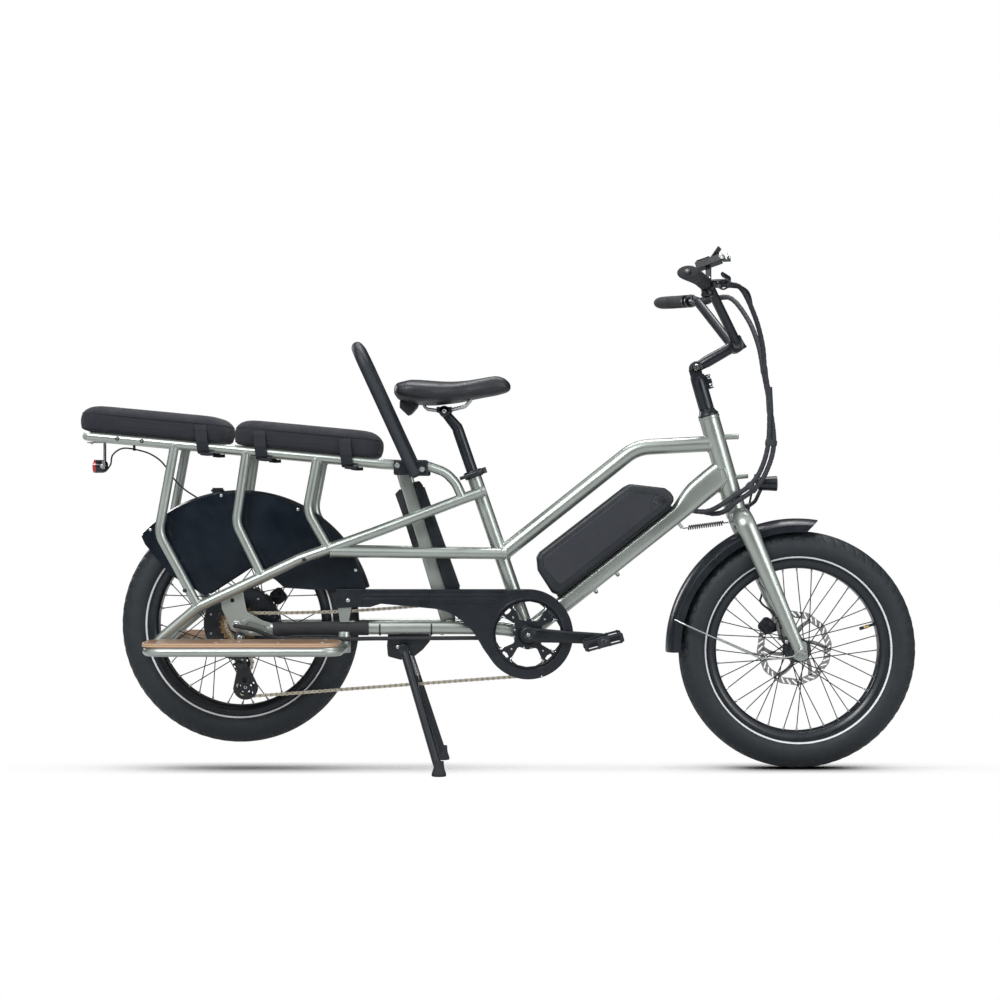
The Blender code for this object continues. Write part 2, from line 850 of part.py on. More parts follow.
def caliper(axle, angle, radius, rotor_y, arm):
    out = point(math.cos(angle), 0, math.sin(angle))
    round_ = point(-math.sin(angle), 0, math.cos(angle))
    centre = axle + out * radius + Y * rotor_y
    body = union(block(centre, out * 17, round_ * 20, Y * 10), arm)
    return minus(body, block(centre - out * 12, out * 22, round_ * 30, Y * 2.2))


REAR_CALIPER_R = 103.0
caliper_angle = math.radians(37)
caliper_at = REAR_AXLE + point(math.cos(caliper_angle), 0, math.sin(caliper_angle)) * REAR_CALIPER_R
rear_arm = block(caliper_at + point(-24, REAR_ROTOR_Y + 11.1, -7), X * 16, Z * 8, Y * 5.1)
rear_caliper = caliper(REAR_AXLE, caliper_angle, REAR_CALIPER_R, REAR_ROTOR_Y, rear_arm)
node("rear_caliper", rear_caliper, "black")

NUT_OUT = 83.0
AXLE_END = 87.0
rear_axle = union(
    rod(REAR_AXLE - Y * AXLE_END, REAR_AXLE + Y * AXLE_END, 6, 10),
    turned(REAR_AXLE, Y, [(DROPOUT_OUT + GAP, 13), (NUT_OUT, 11)], 6),
    turned(REAR_AXLE, -Y, [(DROPOUT_OUT + GAP, 13), (NUT_OUT, 11)], 6),
)
node("rear_axle", rear_axle, "steel")


# Derailleur body: hanger bolt, link and lower knuckle

derailleur = union(
    rod(point(-603, -DROPOUT_OUT - GAP, 312), point(-603, -88, 312), 13, 12),
    slab([point(-612, -87, 314), point(-596, -87, 314), point(-591, -81, 250), point(-609, -81, 250)], Y * 8),
    rod(GUIDE - Y * 61, GUIDE - Y * 82, 12, 12),
)
node("derailleur_body", derailleur, "black")


# Stand bracket and the two joined legs

BRACKET_PLATE = (44.0, 50.0)


def bracket_plate(side):
    near, far = sorted(side * y for y in BRACKET_PLATE)
    return prism(
        [
            (-262, 313), (-264, 292), (-262, 266), (-232, 258),
            (-205, 262), (-180, 282), (-163, 302), (-165, 313),
        ],
        near, far,
    )


stand_bracket = union(
    box(-262, -165, -BRACKET_PLATE[1] + 1, BRACKET_PLATE[1] - 1, 307, 317.4),
    bracket_plate(1),
    bracket_plate(-1),
    rod(STAND_PIVOT - Y * 47, STAND_PIVOT + Y * 47, 11, 14),
)
stand_bracket = minus(stand_bracket, rod(STAND_PIVOT - Y * 60, STAND_PIVOT + Y * 60, 6.5, 12))
node("stand_bracket", stand_bracket, "black")


def stand_leg(side):
    across = point(1, side, 1)
    top = STAND_PIVOT + Y * side * 67.0
    foot = STAND_FOOT * across
    above = foot + point(0, 0, 14)
    leg = rod(top, above, 10, 8)
    shoe = turned(foot, Z, [(0, 15), (6, 17), (22, 13)], 8)
    return leg, shoe


legs = [piece for side in (-1, 1) for piece in stand_leg(side)]
knobs = [rod(STAND_PIVOT + Y * side * 57, STAND_PIVOT + Y * side * 79, 12, 10) for side in (-1, 1)]
stand_legs = union(rod(STAND_PIVOT - Y * 68, STAND_PIVOT + Y * 68, 6, 10), *legs, *knobs)
node("stand_legs", stand_legs, "black", STAND_PIVOT)


# Wheels: tyre with its open inner side, rim, crossed spokes, hub and rotor

TYRE_OUTER = [(22.6, 204.3), (24.2, 213.2), (37.5, 233), (31.5, 262)]
TYRE_INNER = [(24, 256), (18.5, 204.3)]
RIM = [(-28, 212), (-24.8, 212), (-23.2, 203), (23.2, 203), (24.8, 212), (28, 212), (20, 192), (-20, 192)]
SPOKE_END = 197.0
SPOKE_STAGGER = 1.8


def tyre(axle):
    left = [(-y, r) for y, r in TYRE_OUTER]
    right = TYRE_OUTER[::-1]
    inner = [*TYRE_INNER[::-1], *[(-y, r) for y, r in TYRE_INNER]]
    return collar(axle, Y, [*left, (0, TYRE_R), *right, *inner], TYRE_STEPS, 0.0)


def round_point(axle, angle, radius, y):
    return axle + point(math.cos(angle), 0, math.sin(angle)) * radius + Y * y


def spokes(axle, flange_r, flange_y, cross_angle):
    """Spokes from alternate flanges, leaning forward and back by turns."""
    found = []
    for k in range(SPOKES):
        angle = 2 * math.pi * k / SPOKES
        near = flange_y[k % 2]
        lean = 1 if (k // 2) % 2 else -1
        start = round_point(axle, angle + lean * cross_angle, flange_r, near + lean * SPOKE_STAGGER)
        end = round_point(axle, angle, SPOKE_END, (6 if near > 0 else -6) + lean * SPOKE_STAGGER)
        found.append(rod(start, end, SPOKE_R * 1.3, 3))
    return found


def wheel(axle, hub, bore, flange_r, flange_y, cross_angle, rotor_y, rotor_hub):
    rotor = rod(axle + Y * (rotor_y - ROTOR_HALF), axle + Y * (rotor_y + ROTOR_HALF), ROTOR_R, 20)
    carrier = rod(axle + Y * rotor_hub[0], axle + Y * rotor_hub[1], rotor_hub[2], 12)
    body = union(
        collar(axle, Y, RIM, SPOKES), *spokes(axle, flange_r, flange_y, cross_angle), hub, carrier, rotor,
    )
    return minus(body, rod(axle - Y * 90, axle + Y * 90, bore, 12))


FRONT_HUB_HALF = 49.3
front_hub = turned(
    FRONT_AXLE, Y,
    [
        (-FRONT_HUB_HALF, 9), (-37, 14), (-34.6, 29), (-27.4, 29), (-25, 16),
        (25, 16), (27.4, 29), (34.6, 29), (FRONT_HUB_HALF, 9),
    ],
    12,
)
rear_hub = turned(
    REAR_AXLE, Y,
    [
        (-60, FREEWHEEL_SEAT_R), (-19, FREEWHEEL_SEAT_R), (-17.5, 76), (-16.4, 86), (-9.2, 86),
        (-8, 79), (30, 79), (31.2, 86), (38.4, 86), (40, 40), (66.5, 12),
    ],
    18,
)
node("front_tyre", tyre(FRONT_AXLE), "rubber", FRONT_AXLE)
node("rear_tyre", tyre(REAR_AXLE), "rubber", REAR_AXLE)
front_wheel = wheel(
    FRONT_AXLE, front_hub, 5 + RUN, 25, (-31, 31), math.radians(60), FRONT_ROTOR_Y, (30, 41.5, 22),
)
rear_wheel = wheel(
    REAR_AXLE, rear_hub, 6 + RUN, 83, (-12.8, 34.8), math.radians(30), REAR_ROTOR_Y, (38, 54, 22),
)
node("front_wheel", front_wheel, "black", FRONT_AXLE)
node("rear_wheel", rear_wheel, "black", REAR_AXLE)


# Chain line: four wheels joined by straight runs, with a pin at every whole link

def pitch_radius(teeth):
    return PITCH / (2 * math.sin(math.pi / teeth))


ROUTE = [
    (BB, RING_TEETH, 1), (REAR_AXLE, COG_TEETH[0], 1), (GUIDE, PULLEY_TEETH, -1), (TENSION, PULLEY_TEETH, 1),
]


def headings():
    """The direction of each straight run, leaving each wheel of the route in turn."""
    found = []
    for (centre, teeth, turn), (after, after_teeth, after_turn) in zip(ROUTE, ROUTE[1:] + ROUTE[:1]):
        across = after - centre
        distance = math.hypot(across[0], across[2])
        change = after_turn * pitch_radius(after_teeth) - turn * pitch_radius(teeth)
        found.append(math.atan2(across[2], across[0]) - math.asin(change / distance))
    return found


def touch(centre, teeth, turn, heading):
    """Where a run with this heading touches a wheel of the route."""
    return centre + point(math.sin(heading), 0, -math.cos(heading)) * turn * pitch_radius(teeth)


LONG_RUN = 20


def chain_pins():
    """The pins in order, every second one on a long run, and the angle of the first on each wheel."""
    leaving = headings()
    spans = []
    for i, (centre, teeth, turn) in enumerate(ROUTE):
        arriving = leaving[i - 1]
        swing = ((leaving[i] - arriving) * turn) % (2 * math.pi)
        first = arriving - turn * math.pi / 2
        spans.append(("arc", swing * teeth / (2 * math.pi), (i, first)))
        after = ROUTE[(i + 1) % len(ROUTE)]
        start = touch(centre, teeth, turn, leaving[i])
        end = touch(*after, leaving[i])
        spans.append(("run", np.linalg.norm(end - start) / PITCH, (i, start, end)))
    arcs = sum(links for kind, links, _ in spans if kind == "arc")
    runs = sum(links for kind, links, _ in spans if kind == "run")
    total = 2 * round((arcs + runs) / 2)
    stretch = (total - arcs) / runs
    print("chain links", total)
    pins, phases, begun, at = [], {}, 0.0, 0
    for kind, links, data in spans:
        links = links if kind == "arc" else links * stretch
        while at < begun + links - 1e-9 and at < total:
            share = (at - begun) / links
            if kind == "arc":
                centre, teeth, turn = ROUTE[data[0]]
                angle = data[1] + turn * (at - begun) * 2 * math.pi / teeth
                phases.setdefault(data[0], angle)
                pins.append(round_point(centre, angle, pitch_radius(teeth), 0))
            elif links < LONG_RUN or at % 2 == 0:
                sag = CHAIN_SAG if data[0] == 0 else 0.0
                pins.append(data[1] + (data[2] - data[1]) * share - Z * sag * 4 * share * (1 - share))
            at += 1
        begun += links
    return np.array(pins), phases


PLATE_IN = 1.5
PLATE_OUT = 3.3
PLATE_HALF = 3.9
ROLLER_HALF = 2.2


def chain(pins):
    """Two edge strips with a bar across at every pin, as one skin."""
    count = len(pins)
    ahead = np.roll(pins, -1, axis=0) - np.roll(pins, 1, axis=0)
    ahead /= np.linalg.norm(ahead, axis=1)[:, None]
    up = np.stack([-ahead[:, 2], np.zeros(count), ahead[:, 0]], axis=1)
    verts, faces = [], []
    for pin, along, rise in zip(pins, ahead, up):
        for side in (-1, 1):
            at = pin + Y * CHAIN_Y
            verts.append(at + Y * side * PLATE_OUT)
            for level in (-PLATE_HALF, PLATE_HALF):
                for reach in (-ROLLER_HALF, ROLLER_HALF):
                    verts.append(at + rise * level + Y * side * PLATE_IN + along * reach)
    for i in range(count):
        here, after = 10 * i, 10 * ((i + 1) % count)
        for side in (0, 5):
            edge, next_edge = here + side, after + side
            faces.append((edge + 2, edge + 4, next_edge + 3, next_edge + 1))
            for level in (1, 3):
                faces.append((edge, edge + level, edge + level + 1))
                faces.append((edge, edge + level + 1, next_edge + level, next_edge))
        faces.append((here + 1, here + 6, here + 8, here + 3))
        faces.append((here + 2, here + 7, here + 9, here + 4))
        faces.append((here + 1, here + 2, here + 7, here + 6))
        faces.append((here + 3, here + 4, here + 9, here + 8))
    return made(verts, faces)


pins, phases = chain_pins()
node("chain", chain(pins), "steel", sharp=30)


def pointed(centre, teeth, y, first, tip=1.5, root=7.6):
    """A sprocket plate with pointed teeth, its gaps starting at the given angle."""
    radius = pitch_radius(teeth)
    ring = []
    for i in range(teeth):
        for step, reach in ((0.0, radius - root), (0.5, radius + tip)):
            ring.append(round_point(centre, first + (i + step) * 2 * math.pi / teeth, reach, y - TOOTH_HALF))
    return slab(ring, Y * 2 * TOOTH_HALF)


cogs = [
    pointed(REAR_AXLE, teeth, CHAIN_Y + COG_STEP * step, 0.0, 2.6, 3.6)
    for step, teeth in enumerate(COG_TEETH) if step
]
freewheel = union(
    rod(REAR_AXLE - Y * 56, REAR_AXLE - Y * 19.5, 21.5, 8),
    pointed(REAR_AXLE, COG_TEETH[0], CHAIN_Y, phases[1]),
    *cogs,
)
freewheel = minus(freewheel, hole(REAR_AXLE - Y * 70, REAR_AXLE, FREEWHEEL_SEAT_R + RUN, 12))
node("freewheel", freewheel, "brass", REAR_AXLE)


# Crank: spindle and left arm, right arm with spider and ring, pedals

CRANK_ALONG = point(math.cos(CRANK_ANGLE), 0, math.sin(CRANK_ANGLE))
CRANK_UP = point(-math.sin(CRANK_ANGLE), 0, math.cos(CRANK_ANGLE))
ARM_IN = 75.0
ARM_OUT = 88.0
PEDAL_RIGHT = BB + CRANK_ALONG * CRANK_LENGTH
PEDAL_LEFT = BB - CRANK_ALONG * CRANK_LENGTH


def crank_arm(along, side):
    """A tapered arm with round ends, between its two faces."""
    outline = []
    for centre, radius, first in ((CRANK_LENGTH, 13.0, -90), (0.0, 17.0, 90)):
        for step in range(5):
            angle = math.radians(first + step * 45)
            outline.append(
                BB + along * (centre + radius * math.cos(angle)) + CRANK_UP * radius * math.sin(angle)
                + Y * side * ARM_IN
            )
    return slab(outline, Y * side * (ARM_OUT - ARM_IN))


def pedal_spindle(centre, side):
    return rod(centre + Y * side * (ARM_IN + 2), centre + Y * side * 189, 5, 10)


SPIDER_UNDER_RING = 9.09016
SPIDER_EDGE = 14.0
SPIDER_LAND = 10.0
spider_r = pitch_radius(RING_TEETH) - SPIDER_UNDER_RING
spider = rod(BB - Y * 60, BB - Y * 51.6, spider_r, 24)
window_corner, window_crown = spider_r - SPIDER_EDGE, spider_r - SPIDER_LAND
windows = []
for k in range(5):
    middle = CRANK_ANGLE + math.radians(36 + 72 * k)
    ring = [round_point(BB, middle + a, r, -70) for a, r in [
        (-0.38, 34), (-0.47, window_corner), (0, window_crown), (0.47, window_corner), (0.38, 34),
    ]]
    windows.append(slab(ring, Y * 30))
crank_right = union(
    spider,
    pointed(BB, RING_TEETH, CHAIN_Y, phases[0]),
    rod(BB - Y * 38, BB - Y * 76, 19, 14),
    crank_arm(CRANK_ALONG, -1),
    pedal_spindle(PEDAL_RIGHT, -1),
)
crank_right = minus(crank_right, *windows, rod(BB - Y * 30, BB - Y * 84, SPINDLE_R + GAP, 12))
node("crank_right", crank_right, "black", BB)
crank_left = union(
    crank_arm(-CRANK_ALONG, 1),
    rod(BB + Y * 38, BB + Y * 76, 15, 12),
    rod(BB - Y * 83, BB + Y * 80, SPINDLE_R, 12),
    pedal_spindle(PEDAL_LEFT, 1),
)
node("crank_left", crank_left, "black", BB)

PEDAL_TILT = math.radians(15)


def pedal(centre, side):
    along = point(math.cos(PEDAL_TILT), 0, math.sin(PEDAL_TILT))
    up = point(-math.sin(PEDAL_TILT), 0, math.cos(PEDAL_TILT))
    middle = centre + Y * side * 146
    outline = [
        middle + along * u + up * v - Y * 45
        for u, v in [(-46, -9), (-40, -13), (40, -13), (46, -9), (46, 9), (40, 13), (-40, 13), (-46, 9)]
    ]
    body = slab(outline, Y * 90)
    holes = [block(middle + along * 25 * s, along * 11, Y * 33, up * 20) for s in (-1, 1)]
    return minus(body, *holes, rod(centre + Y * side * 95, centre + Y * side * 190, 5 + RUN, 10))


node("pedal_right", pedal(PEDAL_RIGHT, -1), "rubber", PEDAL_RIGHT)
node("pedal_left", pedal(PEDAL_LEFT, 1), "rubber", PEDAL_LEFT)


# Derailleur cage with its two pulleys and the round guard

PIN_R = 2.6
CAGE_IN = 5.0
CAGE_OUT = 6.6


def pulley(centre, phase):
    plate = pointed(centre, PULLEY_TEETH, CHAIN_Y, phase)
    hub = rod(centre + Y * (CHAIN_Y - 3.6), centre + Y * (CHAIN_Y + 3.6), 7, 10)
    bore = rod(centre + Y * (CHAIN_Y - 9), centre + Y * (CHAIN_Y + 9), PIN_R + RUN, 10)
    return minus(union(plate, hub), bore)


def cage_plate(near, far, wide):
    outline = []
    drop = TENSION - GUIDE
    heading = math.atan2(drop[2], drop[0])
    for centre, radius, first in ((TENSION, wide, -90), (GUIDE, 10.0, 90)):
        for step in range(7):
            outline.append(
                round_point(centre, heading + math.radians(first + step * 30), radius, CHAIN_Y + near)
            )
    return slab(outline, Y * (far - near))


node("guide_pulley", pulley(GUIDE, phases[2]), "black", GUIDE)
node("tension_pulley", pulley(TENSION, phases[3]), "black", TENSION)
cage = union(
    cage_plate(-CAGE_OUT, -CAGE_IN, 29.5),
    cage_plate(CAGE_IN, CAGE_OUT, 10.0),
    rod(GUIDE + Y * (CHAIN_Y - 5.8), GUIDE + Y * (CHAIN_Y + 8), PIN_R, 10),
    rod(TENSION + Y * (CHAIN_Y - 8), TENSION + Y * (CHAIN_Y + 8), PIN_R, 10),
)
node("pulley_cage", cage, "black", GUIDE)


# Fork with its crown, legs, steerer, axle and spring lug

LEG_FORWARD = unit(point(0.921, 0, 0.389))
AXLE_SIDE = 61.5


def fork_leg(side):
    corners = [
        point(560, 0, 599), point(564, 36 * side, 597), point(571, 60 * side, 580),
        point(634, 61 * side, 432), point(703, AXLE_SIDE * side, 270),
    ]
    path = fillet(corners, 26, 2)
    travel = np.concatenate([[0], np.cumsum(np.linalg.norm(np.diff(path, axis=0), axis=1))])
    share = np.clip((travel - 70) / (travel[-1] - 70), 0, 1)
    radii = np.stack([23 - 9.5 * share, 15 - 4 * share], axis=1)
    return tube(path, radii, 8, LEG_FORWARD)


fork = union(
    turned(head(0), HEAD_UP, [(-49, 22), (-45, 25), (-8, 25), (-1, 20)], 14),
    rod(head(-10), head(HEAD_LENGTH + 62), STEERER_R, 12),
    fork_leg(-1),
    fork_leg(1),
    rod(FRONT_AXLE - Y * 78, FRONT_AXLE + Y * 76, 5, 10),
    rod(FRONT_AXLE - Y * 71, FRONT_AXLE - Y * 79, 9, 6),
    rod(FRONT_AXLE + Y * 71, FRONT_AXLE + Y * 77.5, 9, 12),
    block(head(-52, -17), HEAD_UP * 6, HEAD_FORWARD * 5.5, Y * 3),
)
node("fork", fork, "sage", HEAD_LOW)

# Quick lever of the front axle, closed along the fork leg

LEG_UP = unit(point(-0.389, 0, 0.921))
LEVER_Y = 85.0


def lever_point(up, y):
    return FRONT_AXLE + LEG_UP * up + Y * y


axle_lever = union(
    rod(lever_point(0, LEVER_Y) - LEG_FORWARD * 8, lever_point(0, LEVER_Y) + LEG_FORWARD * 8, 6.8, 12),
    tube(
        fillet([lever_point(0, LEVER_Y), lever_point(24, 93), lever_point(62, 88)], 20, 2),
        [3.5, 7.5], 8, Y,
    ),
)
node("front_axle_lever", axle_lever, "steel", lever_point(0, LEVER_Y))

# Front fender with its crown tab and wire stays

front_shell = swept(FRONT_AXLE, fender_section(309, 290, 2.5), 81, 181, 10)
tab_out = unit(point(-0.404, 0, 0.915))
tab = block(FRONT_AXLE + tab_out * 319.8, tab_out * 13.8, np.cross(tab_out, Y) * 10, Y * 2)
stays = []
for side in (-1, 1):
    stays.append(
        tube(
            [
                round_point(FRONT_AXLE, math.radians(166), 294, 41.5 * side),
                round_point(FRONT_AXLE, math.radians(166), 270, 62 * side),
                round_point(FRONT_AXLE, math.radians(150), 22, 75.5 * side),
            ],
            2.4, 5,
        )
    )
node("front_fender", union(front_shell, tab, *stays), "black", HEAD_LOW)

# Headlight on its arm ahead of the crown

LAMP_Z = 670.0
lamp = union(
    turned(point(604, 0, LAMP_Z), X, [(0, 9), (6, 15), (44, 18), (49, 16.5)], 16),
    tube(
        fillet([point(616, 0, LAMP_Z - 12), point(602, 0, 628), head(-31, 30)], 20, 2), 4.5, 8,
    ),
    rod(head(-31, 25.5), head(-31, 33), 8, 10),
)
node("headlight", lamp, "black", HEAD_LOW)

FRONT_CALIPER_R = 84.0
front_angle = math.radians(141)
caliper_out = round_point(np.zeros(3), front_angle, 1.0, 0.0)
caliper_round = round_point(np.zeros(3), front_angle + math.pi / 2, 1.0, 0.0)
front_arm = block(FRONT_AXLE + point(-45, FRONT_ROTOR_Y + 8.7, 48), LEG_FORWARD * 14, LEG_UP * 9, Y * 2.6)
front_caliper = minus(
    union(
        block(
            round_point(FRONT_AXLE, front_angle, FRONT_CALIPER_R, FRONT_ROTOR_Y + 0.5),
            caliper_out * 16, caliper_round * 19, Y * 9.5,
        ),
        front_arm,
    ),
    block(
        round_point(FRONT_AXLE, front_angle, FRONT_CALIPER_R - 12, FRONT_ROTOR_Y),
        caliper_out * 22, caliper_round * 40, Y * 2.2,
    ),
)
node("front_caliper", front_caliper, "black", HEAD_LOW)

# Stem post on the steerer, with its clamp block and pivot ears

POST_LOW = HEAD_LENGTH + POST_ABOVE
POST_HIGH = POST_LOW + POST_LENGTH
CLAMP_UP = POST_LOW + 61.0
post = union(
    turned(head(0), HEAD_UP, [(POST_LOW, 17.8), (POST_HIGH, 17.8)], 14),
    block(head(CLAMP_UP, 20), HEAD_FORWARD * 9, HEAD_UP * 17, Y * 13),
)
post = minus(
    post,
    hole(head(POST_LOW - 7), head(POST_LOW + 47), STEERER_R + GAP, 12),
    block(head(CLAMP_UP, 28), HEAD_FORWARD * 12, HEAD_UP * 20, Y),
)
ears = []
for side in (-1, 1):
    half = Y * 3.9
    middle = Y * side * 13
    ears.append(rod(PIVOT + middle - half, PIVOT + middle + half, 15, 12))
    ears.append(block(head(POST_HIGH + 3, -1) + middle, HEAD_FORWARD * 13, HEAD_UP * 15, half))
post = union(post, *ears, rod(PIVOT - Y * 21, PIVOT + Y * 21, 5, 8))
node("stem_post", post, "black", HEAD_LOW)

# Stem arm between the pivot and the bar clamp

ARM_ALONG = unit(CLAMP - PIVOT)
ARM_UP = point(-ARM_ALONG[2], 0, ARM_ALONG[0])
ARM_REACH = np.linalg.norm(CLAMP - PIVOT)
stem_arm = union(
    rod(PIVOT - Y * 8.6, PIVOT + Y * 8.6, 14.5, 14),
    block(PIVOT + ARM_ALONG * 12, ARM_ALONG * 12, ARM_UP * 12, Y * 8.6),
    tube([PIVOT + ARM_ALONG * 19, PIVOT + ARM_ALONG * (ARM_REACH - 6)], [[14, 14], [13, 13]], 12),
    rod(CLAMP - Y * 23, CLAMP + Y * 23, 19, 14),
)
stem_arm = minus(
    stem_arm,
    rod(PIVOT - Y * 30, PIVOT + Y * 30, 5 + RUN, 8),
    hole(CLAMP - Y * 40, CLAMP + Y * 40, BAR_R + GAP, 10),
)
node("stem_arm", stem_arm, "black", PIVOT)

# Riser bar and what it carries, laid out along its outer straight part


def across(p, side):
    return np.asarray(p) * [1, side, 1]


centre_end = CLAMP + Y * BAR_CENTRE_HALF
bar_left = [centre_end, BAR_RISE, BAR_END]
bar_right = [across(p, -1) for p in reversed(bar_left)]
node("handlebar", tube(fillet(bar_right + bar_left, 36, 2), BAR_R, 10, X), "black", PIVOT)

BAR_ALONG = unit(BAR_END - BAR_RISE)
BAR_FORWARD = unit(X - (X @ BAR_ALONG) * BAR_ALONG)
BAR_UP = np.cross(BAR_FORWARD, BAR_ALONG)
BAR_UP = BAR_UP if BAR_UP[2] > 0 else -BAR_UP
BAR_STRAIGHT = np.linalg.norm(BAR_END - BAR_RISE)


def on_bar(along, forward=0.0, up=0.0):
    """A point of the left side, from the bend outward along the bar."""
    return BAR_RISE + BAR_ALONG * along + BAR_FORWARD * forward + BAR_UP * up


def grip():
    """A round inner grip that widens into a palm rest, with its end closed over the bar."""
    stations = [
        (64, 15.5, 15.5, 0), (110, 15.5, 15.5, 0), (150, 18, 15.5, 3), (185, 23, 15, 8),
        (BAR_STRAIGHT + 4, 22, 14, 8),
    ]
    rings = []
    for along, deep, high, back in stations:
        section = oval(10, deep, high)
        rings.append([on_bar(along, u - back, v) for u, v in section])
    return minus(loft(rings), hole(on_bar(50), on_bar(BAR_STRAIGHT + GAP), BAR_R + GAP, 10))


node("grip_left", grip(), "rubber", PIVOT)
node("grip_right", mirrored(grip()), "rubber", PIVOT)

LEVER_ALONG = 45.0
LEVER_FORWARD = 29.0
LEVER_PIN_R = 2.4


def perch():
    """A bar clamp with a slotted arm and the pin that the brake lever turns on."""
    body = union(
        rod(on_bar(33), on_bar(47), 16, 12),
        block(on_bar(44, 23, 0), BAR_ALONG * 9, BAR_FORWARD * 13, BAR_UP * 8.5),
    )
    body = minus(
        body,
        hole(on_bar(20), on_bar(60), BAR_R + GAP, 10),
        block(on_bar(52, 34, 0), BAR_ALONG * 16, BAR_FORWARD * 14, BAR_UP * 3.4),
    )
    pin = rod(on_bar(LEVER_ALONG, LEVER_FORWARD, -8), on_bar(LEVER_ALONG, LEVER_FORWARD, 8), LEVER_PIN_R, 8)
    return union(body, pin)


SHIFT_ALONG = 49.0


def shifter():
    """The round pod under the bar that the gear cable leaves."""
    return union(
        rod(on_bar(SHIFT_ALONG, 4, -30), on_bar(SHIFT_ALONG, 4, -15), 14, 12),
        block(on_bar(50, 2, -14), BAR_ALONG * 9, BAR_FORWARD * 7, BAR_UP * 4),
    )


shifter_part = minus(shifter(), hole(on_bar(20), on_bar(75), BAR_R + GAP, 10))
node("perch_left", perch(), "black", PIVOT)
node("perch_right", mirrored(union(perch(), shifter_part)), "black", PIVOT)


def brake_lever():
    path = fillet(
        [on_bar(LEVER_ALONG, LEVER_FORWARD), on_bar(58, 56), on_bar(92, 64), on_bar(158, 59)], 30, 1,
    )
    blade = tube(path, [2.6, 6.0], 6, BAR_UP)
    pin = on_bar(LEVER_ALONG, LEVER_FORWARD)
    eye = rod(pin - BAR_UP * 2.7, pin + BAR_UP * 2.7, 6.5, 8)
    bore = rod(pin - BAR_UP * 9, pin + BAR_UP * 9, LEVER_PIN_R + RUN, 8)
    return minus(union(blade, eye), bore)


lever_at = on_bar(LEVER_ALONG, LEVER_FORWARD)
pair("brake_lever", mirrored(brake_lever()), "black", across(lever_at, -1))

thumb_at = on_bar(SHIFT_ALONG, 4, -33)
thumb = union(
    rod(on_bar(SHIFT_ALONG, 4, -35), on_bar(SHIFT_ALONG, 4, -30.6), 7, 10),
    block(on_bar(SHIFT_ALONG, -14, -32.8), BAR_ALONG * 4, BAR_FORWARD * 16, BAR_UP * 1.8),
    block(on_bar(SHIFT_ALONG, -31, -31), BAR_ALONG * 7, BAR_FORWARD * 2, BAR_UP * 5),
)
node("shift_lever", mirrored(thumb), "black", across(thumb_at, -1))

# Display on a stalk, with the bell beside it

BELL = on_bar(23, 27, 52)
SCREEN_SLOPE = 0.3
SCREEN_AHEAD = unit(BAR_FORWARD + BAR_UP * SCREEN_SLOPE)
SCREEN_UP = unit(BAR_UP - BAR_FORWARD * SCREEN_SLOPE)
display = union(
    minus(rod(on_bar(17), on_bar(30), 15, 12), hole(on_bar(5), on_bar(40), BAR_R + GAP, 10)),
    block(on_bar(23.5, 2, 30), BAR_ALONG * 5, BAR_FORWARD * 6, BAR_UP * 17),
    block(on_bar(23.5, 3, 52), BAR_ALONG * 20, SCREEN_AHEAD * 28, SCREEN_UP * 8),
    turned(BELL, BAR_UP, [(-2, 11), (10, 14), (17, 11), (21, 5)], 12),
    block(on_bar(23, 44, 55.8), BAR_ALONG * 4, BAR_FORWARD * 9, BAR_UP * 2.8),
)
node("display", mirrored(display), "black", PIVOT)
bell_at = on_bar(23, 49, 62)
striker = union(
    rod(on_bar(23, 49, 59), on_bar(23, 49, 65), 4, 8),
    block(on_bar(23, 44.5, 69), BAR_ALONG * 2, BAR_FORWARD * 1.6, BAR_UP * 6),
    block(on_bar(32, 49, 62), BAR_ALONG * 10, BAR_FORWARD * 1.6, BAR_UP * 2),
)
node("bell_lever", mirrored(striker), "steel", across(bell_at, -1))


# Saddle, its post with head and rails, and the quick lever of the collar

SADDLE_STATIONS = [
    (-248, 55, 898, 880), (-240, 86, 907, 868), (-206, 100, 914, 858), (-150, 93, 911, 855),
    (-110, 72, 910, 859), (-70, 48, 914, 866), (-12, 32, 924, 877), (14, 24, 915, 884), (25, 12, 904, 891),
]


def saddle_shell():
    rings = []
    for x, half_width, top, low in SADDLE_STATIONS:
        section = oval(14, half_width, (top - low) / 2, 0.8)
        rings.append([point(x, u, (top + low) / 2 + v) for u, v in section])
    return loft(rings)


bumper = prism([(-238, 866), (-190, 866), (-192, 852), (-208, 834), (-217, 829), (-236, 848)], -24, 24)
saddle = minus(union(saddle_shell(), bumper), box(-188, -58, -30, 30, 840, 871))
node("saddle", saddle, "black", seat(SEAT_LENGTH))

RAIL_SIDE = 22.0
saddle_rails = []
for side in (-1, 1):
    corners = [(-183, 868), (-176, 846), (-146, 842), (-110, 845), (-82, 852), (-68, 868)]
    path = fillet([point(x, RAIL_SIDE * side, z) for x, z in corners], 14, 1)
    saddle_rails.append(tube(path, 3.5, 5, Y))
seatpost = union(
    rod(seat(180), seat(520), POST_R, 12),
    rod(seat(505), point(-131, 0, 840), 12, 10),
    rod(point(-131, -27, 840), point(-131, 27, 840), 15, 12),
    *saddle_rails,
)
node("seatpost", seatpost, "black", seat(SEAT_LENGTH))

seat_pivot = seat(395, 27, -18)
seat_lever = union(
    rod(seat_pivot - SEAT_UP * 7, seat_pivot + SEAT_UP * 7, 6, 10),
    tube(
        fillet([seat_pivot, seat(395, 15, -27), seat(395, -14, -28.5), seat(395, -33, -25)], 15, 1),
        [4.5, 2.4], 8, SEAT_UP,
    ),
)
node("seat_lever", seat_lever, "black", seat_pivot)


# Cables: the two looms ahead of the head tube, brake hose, motor harness

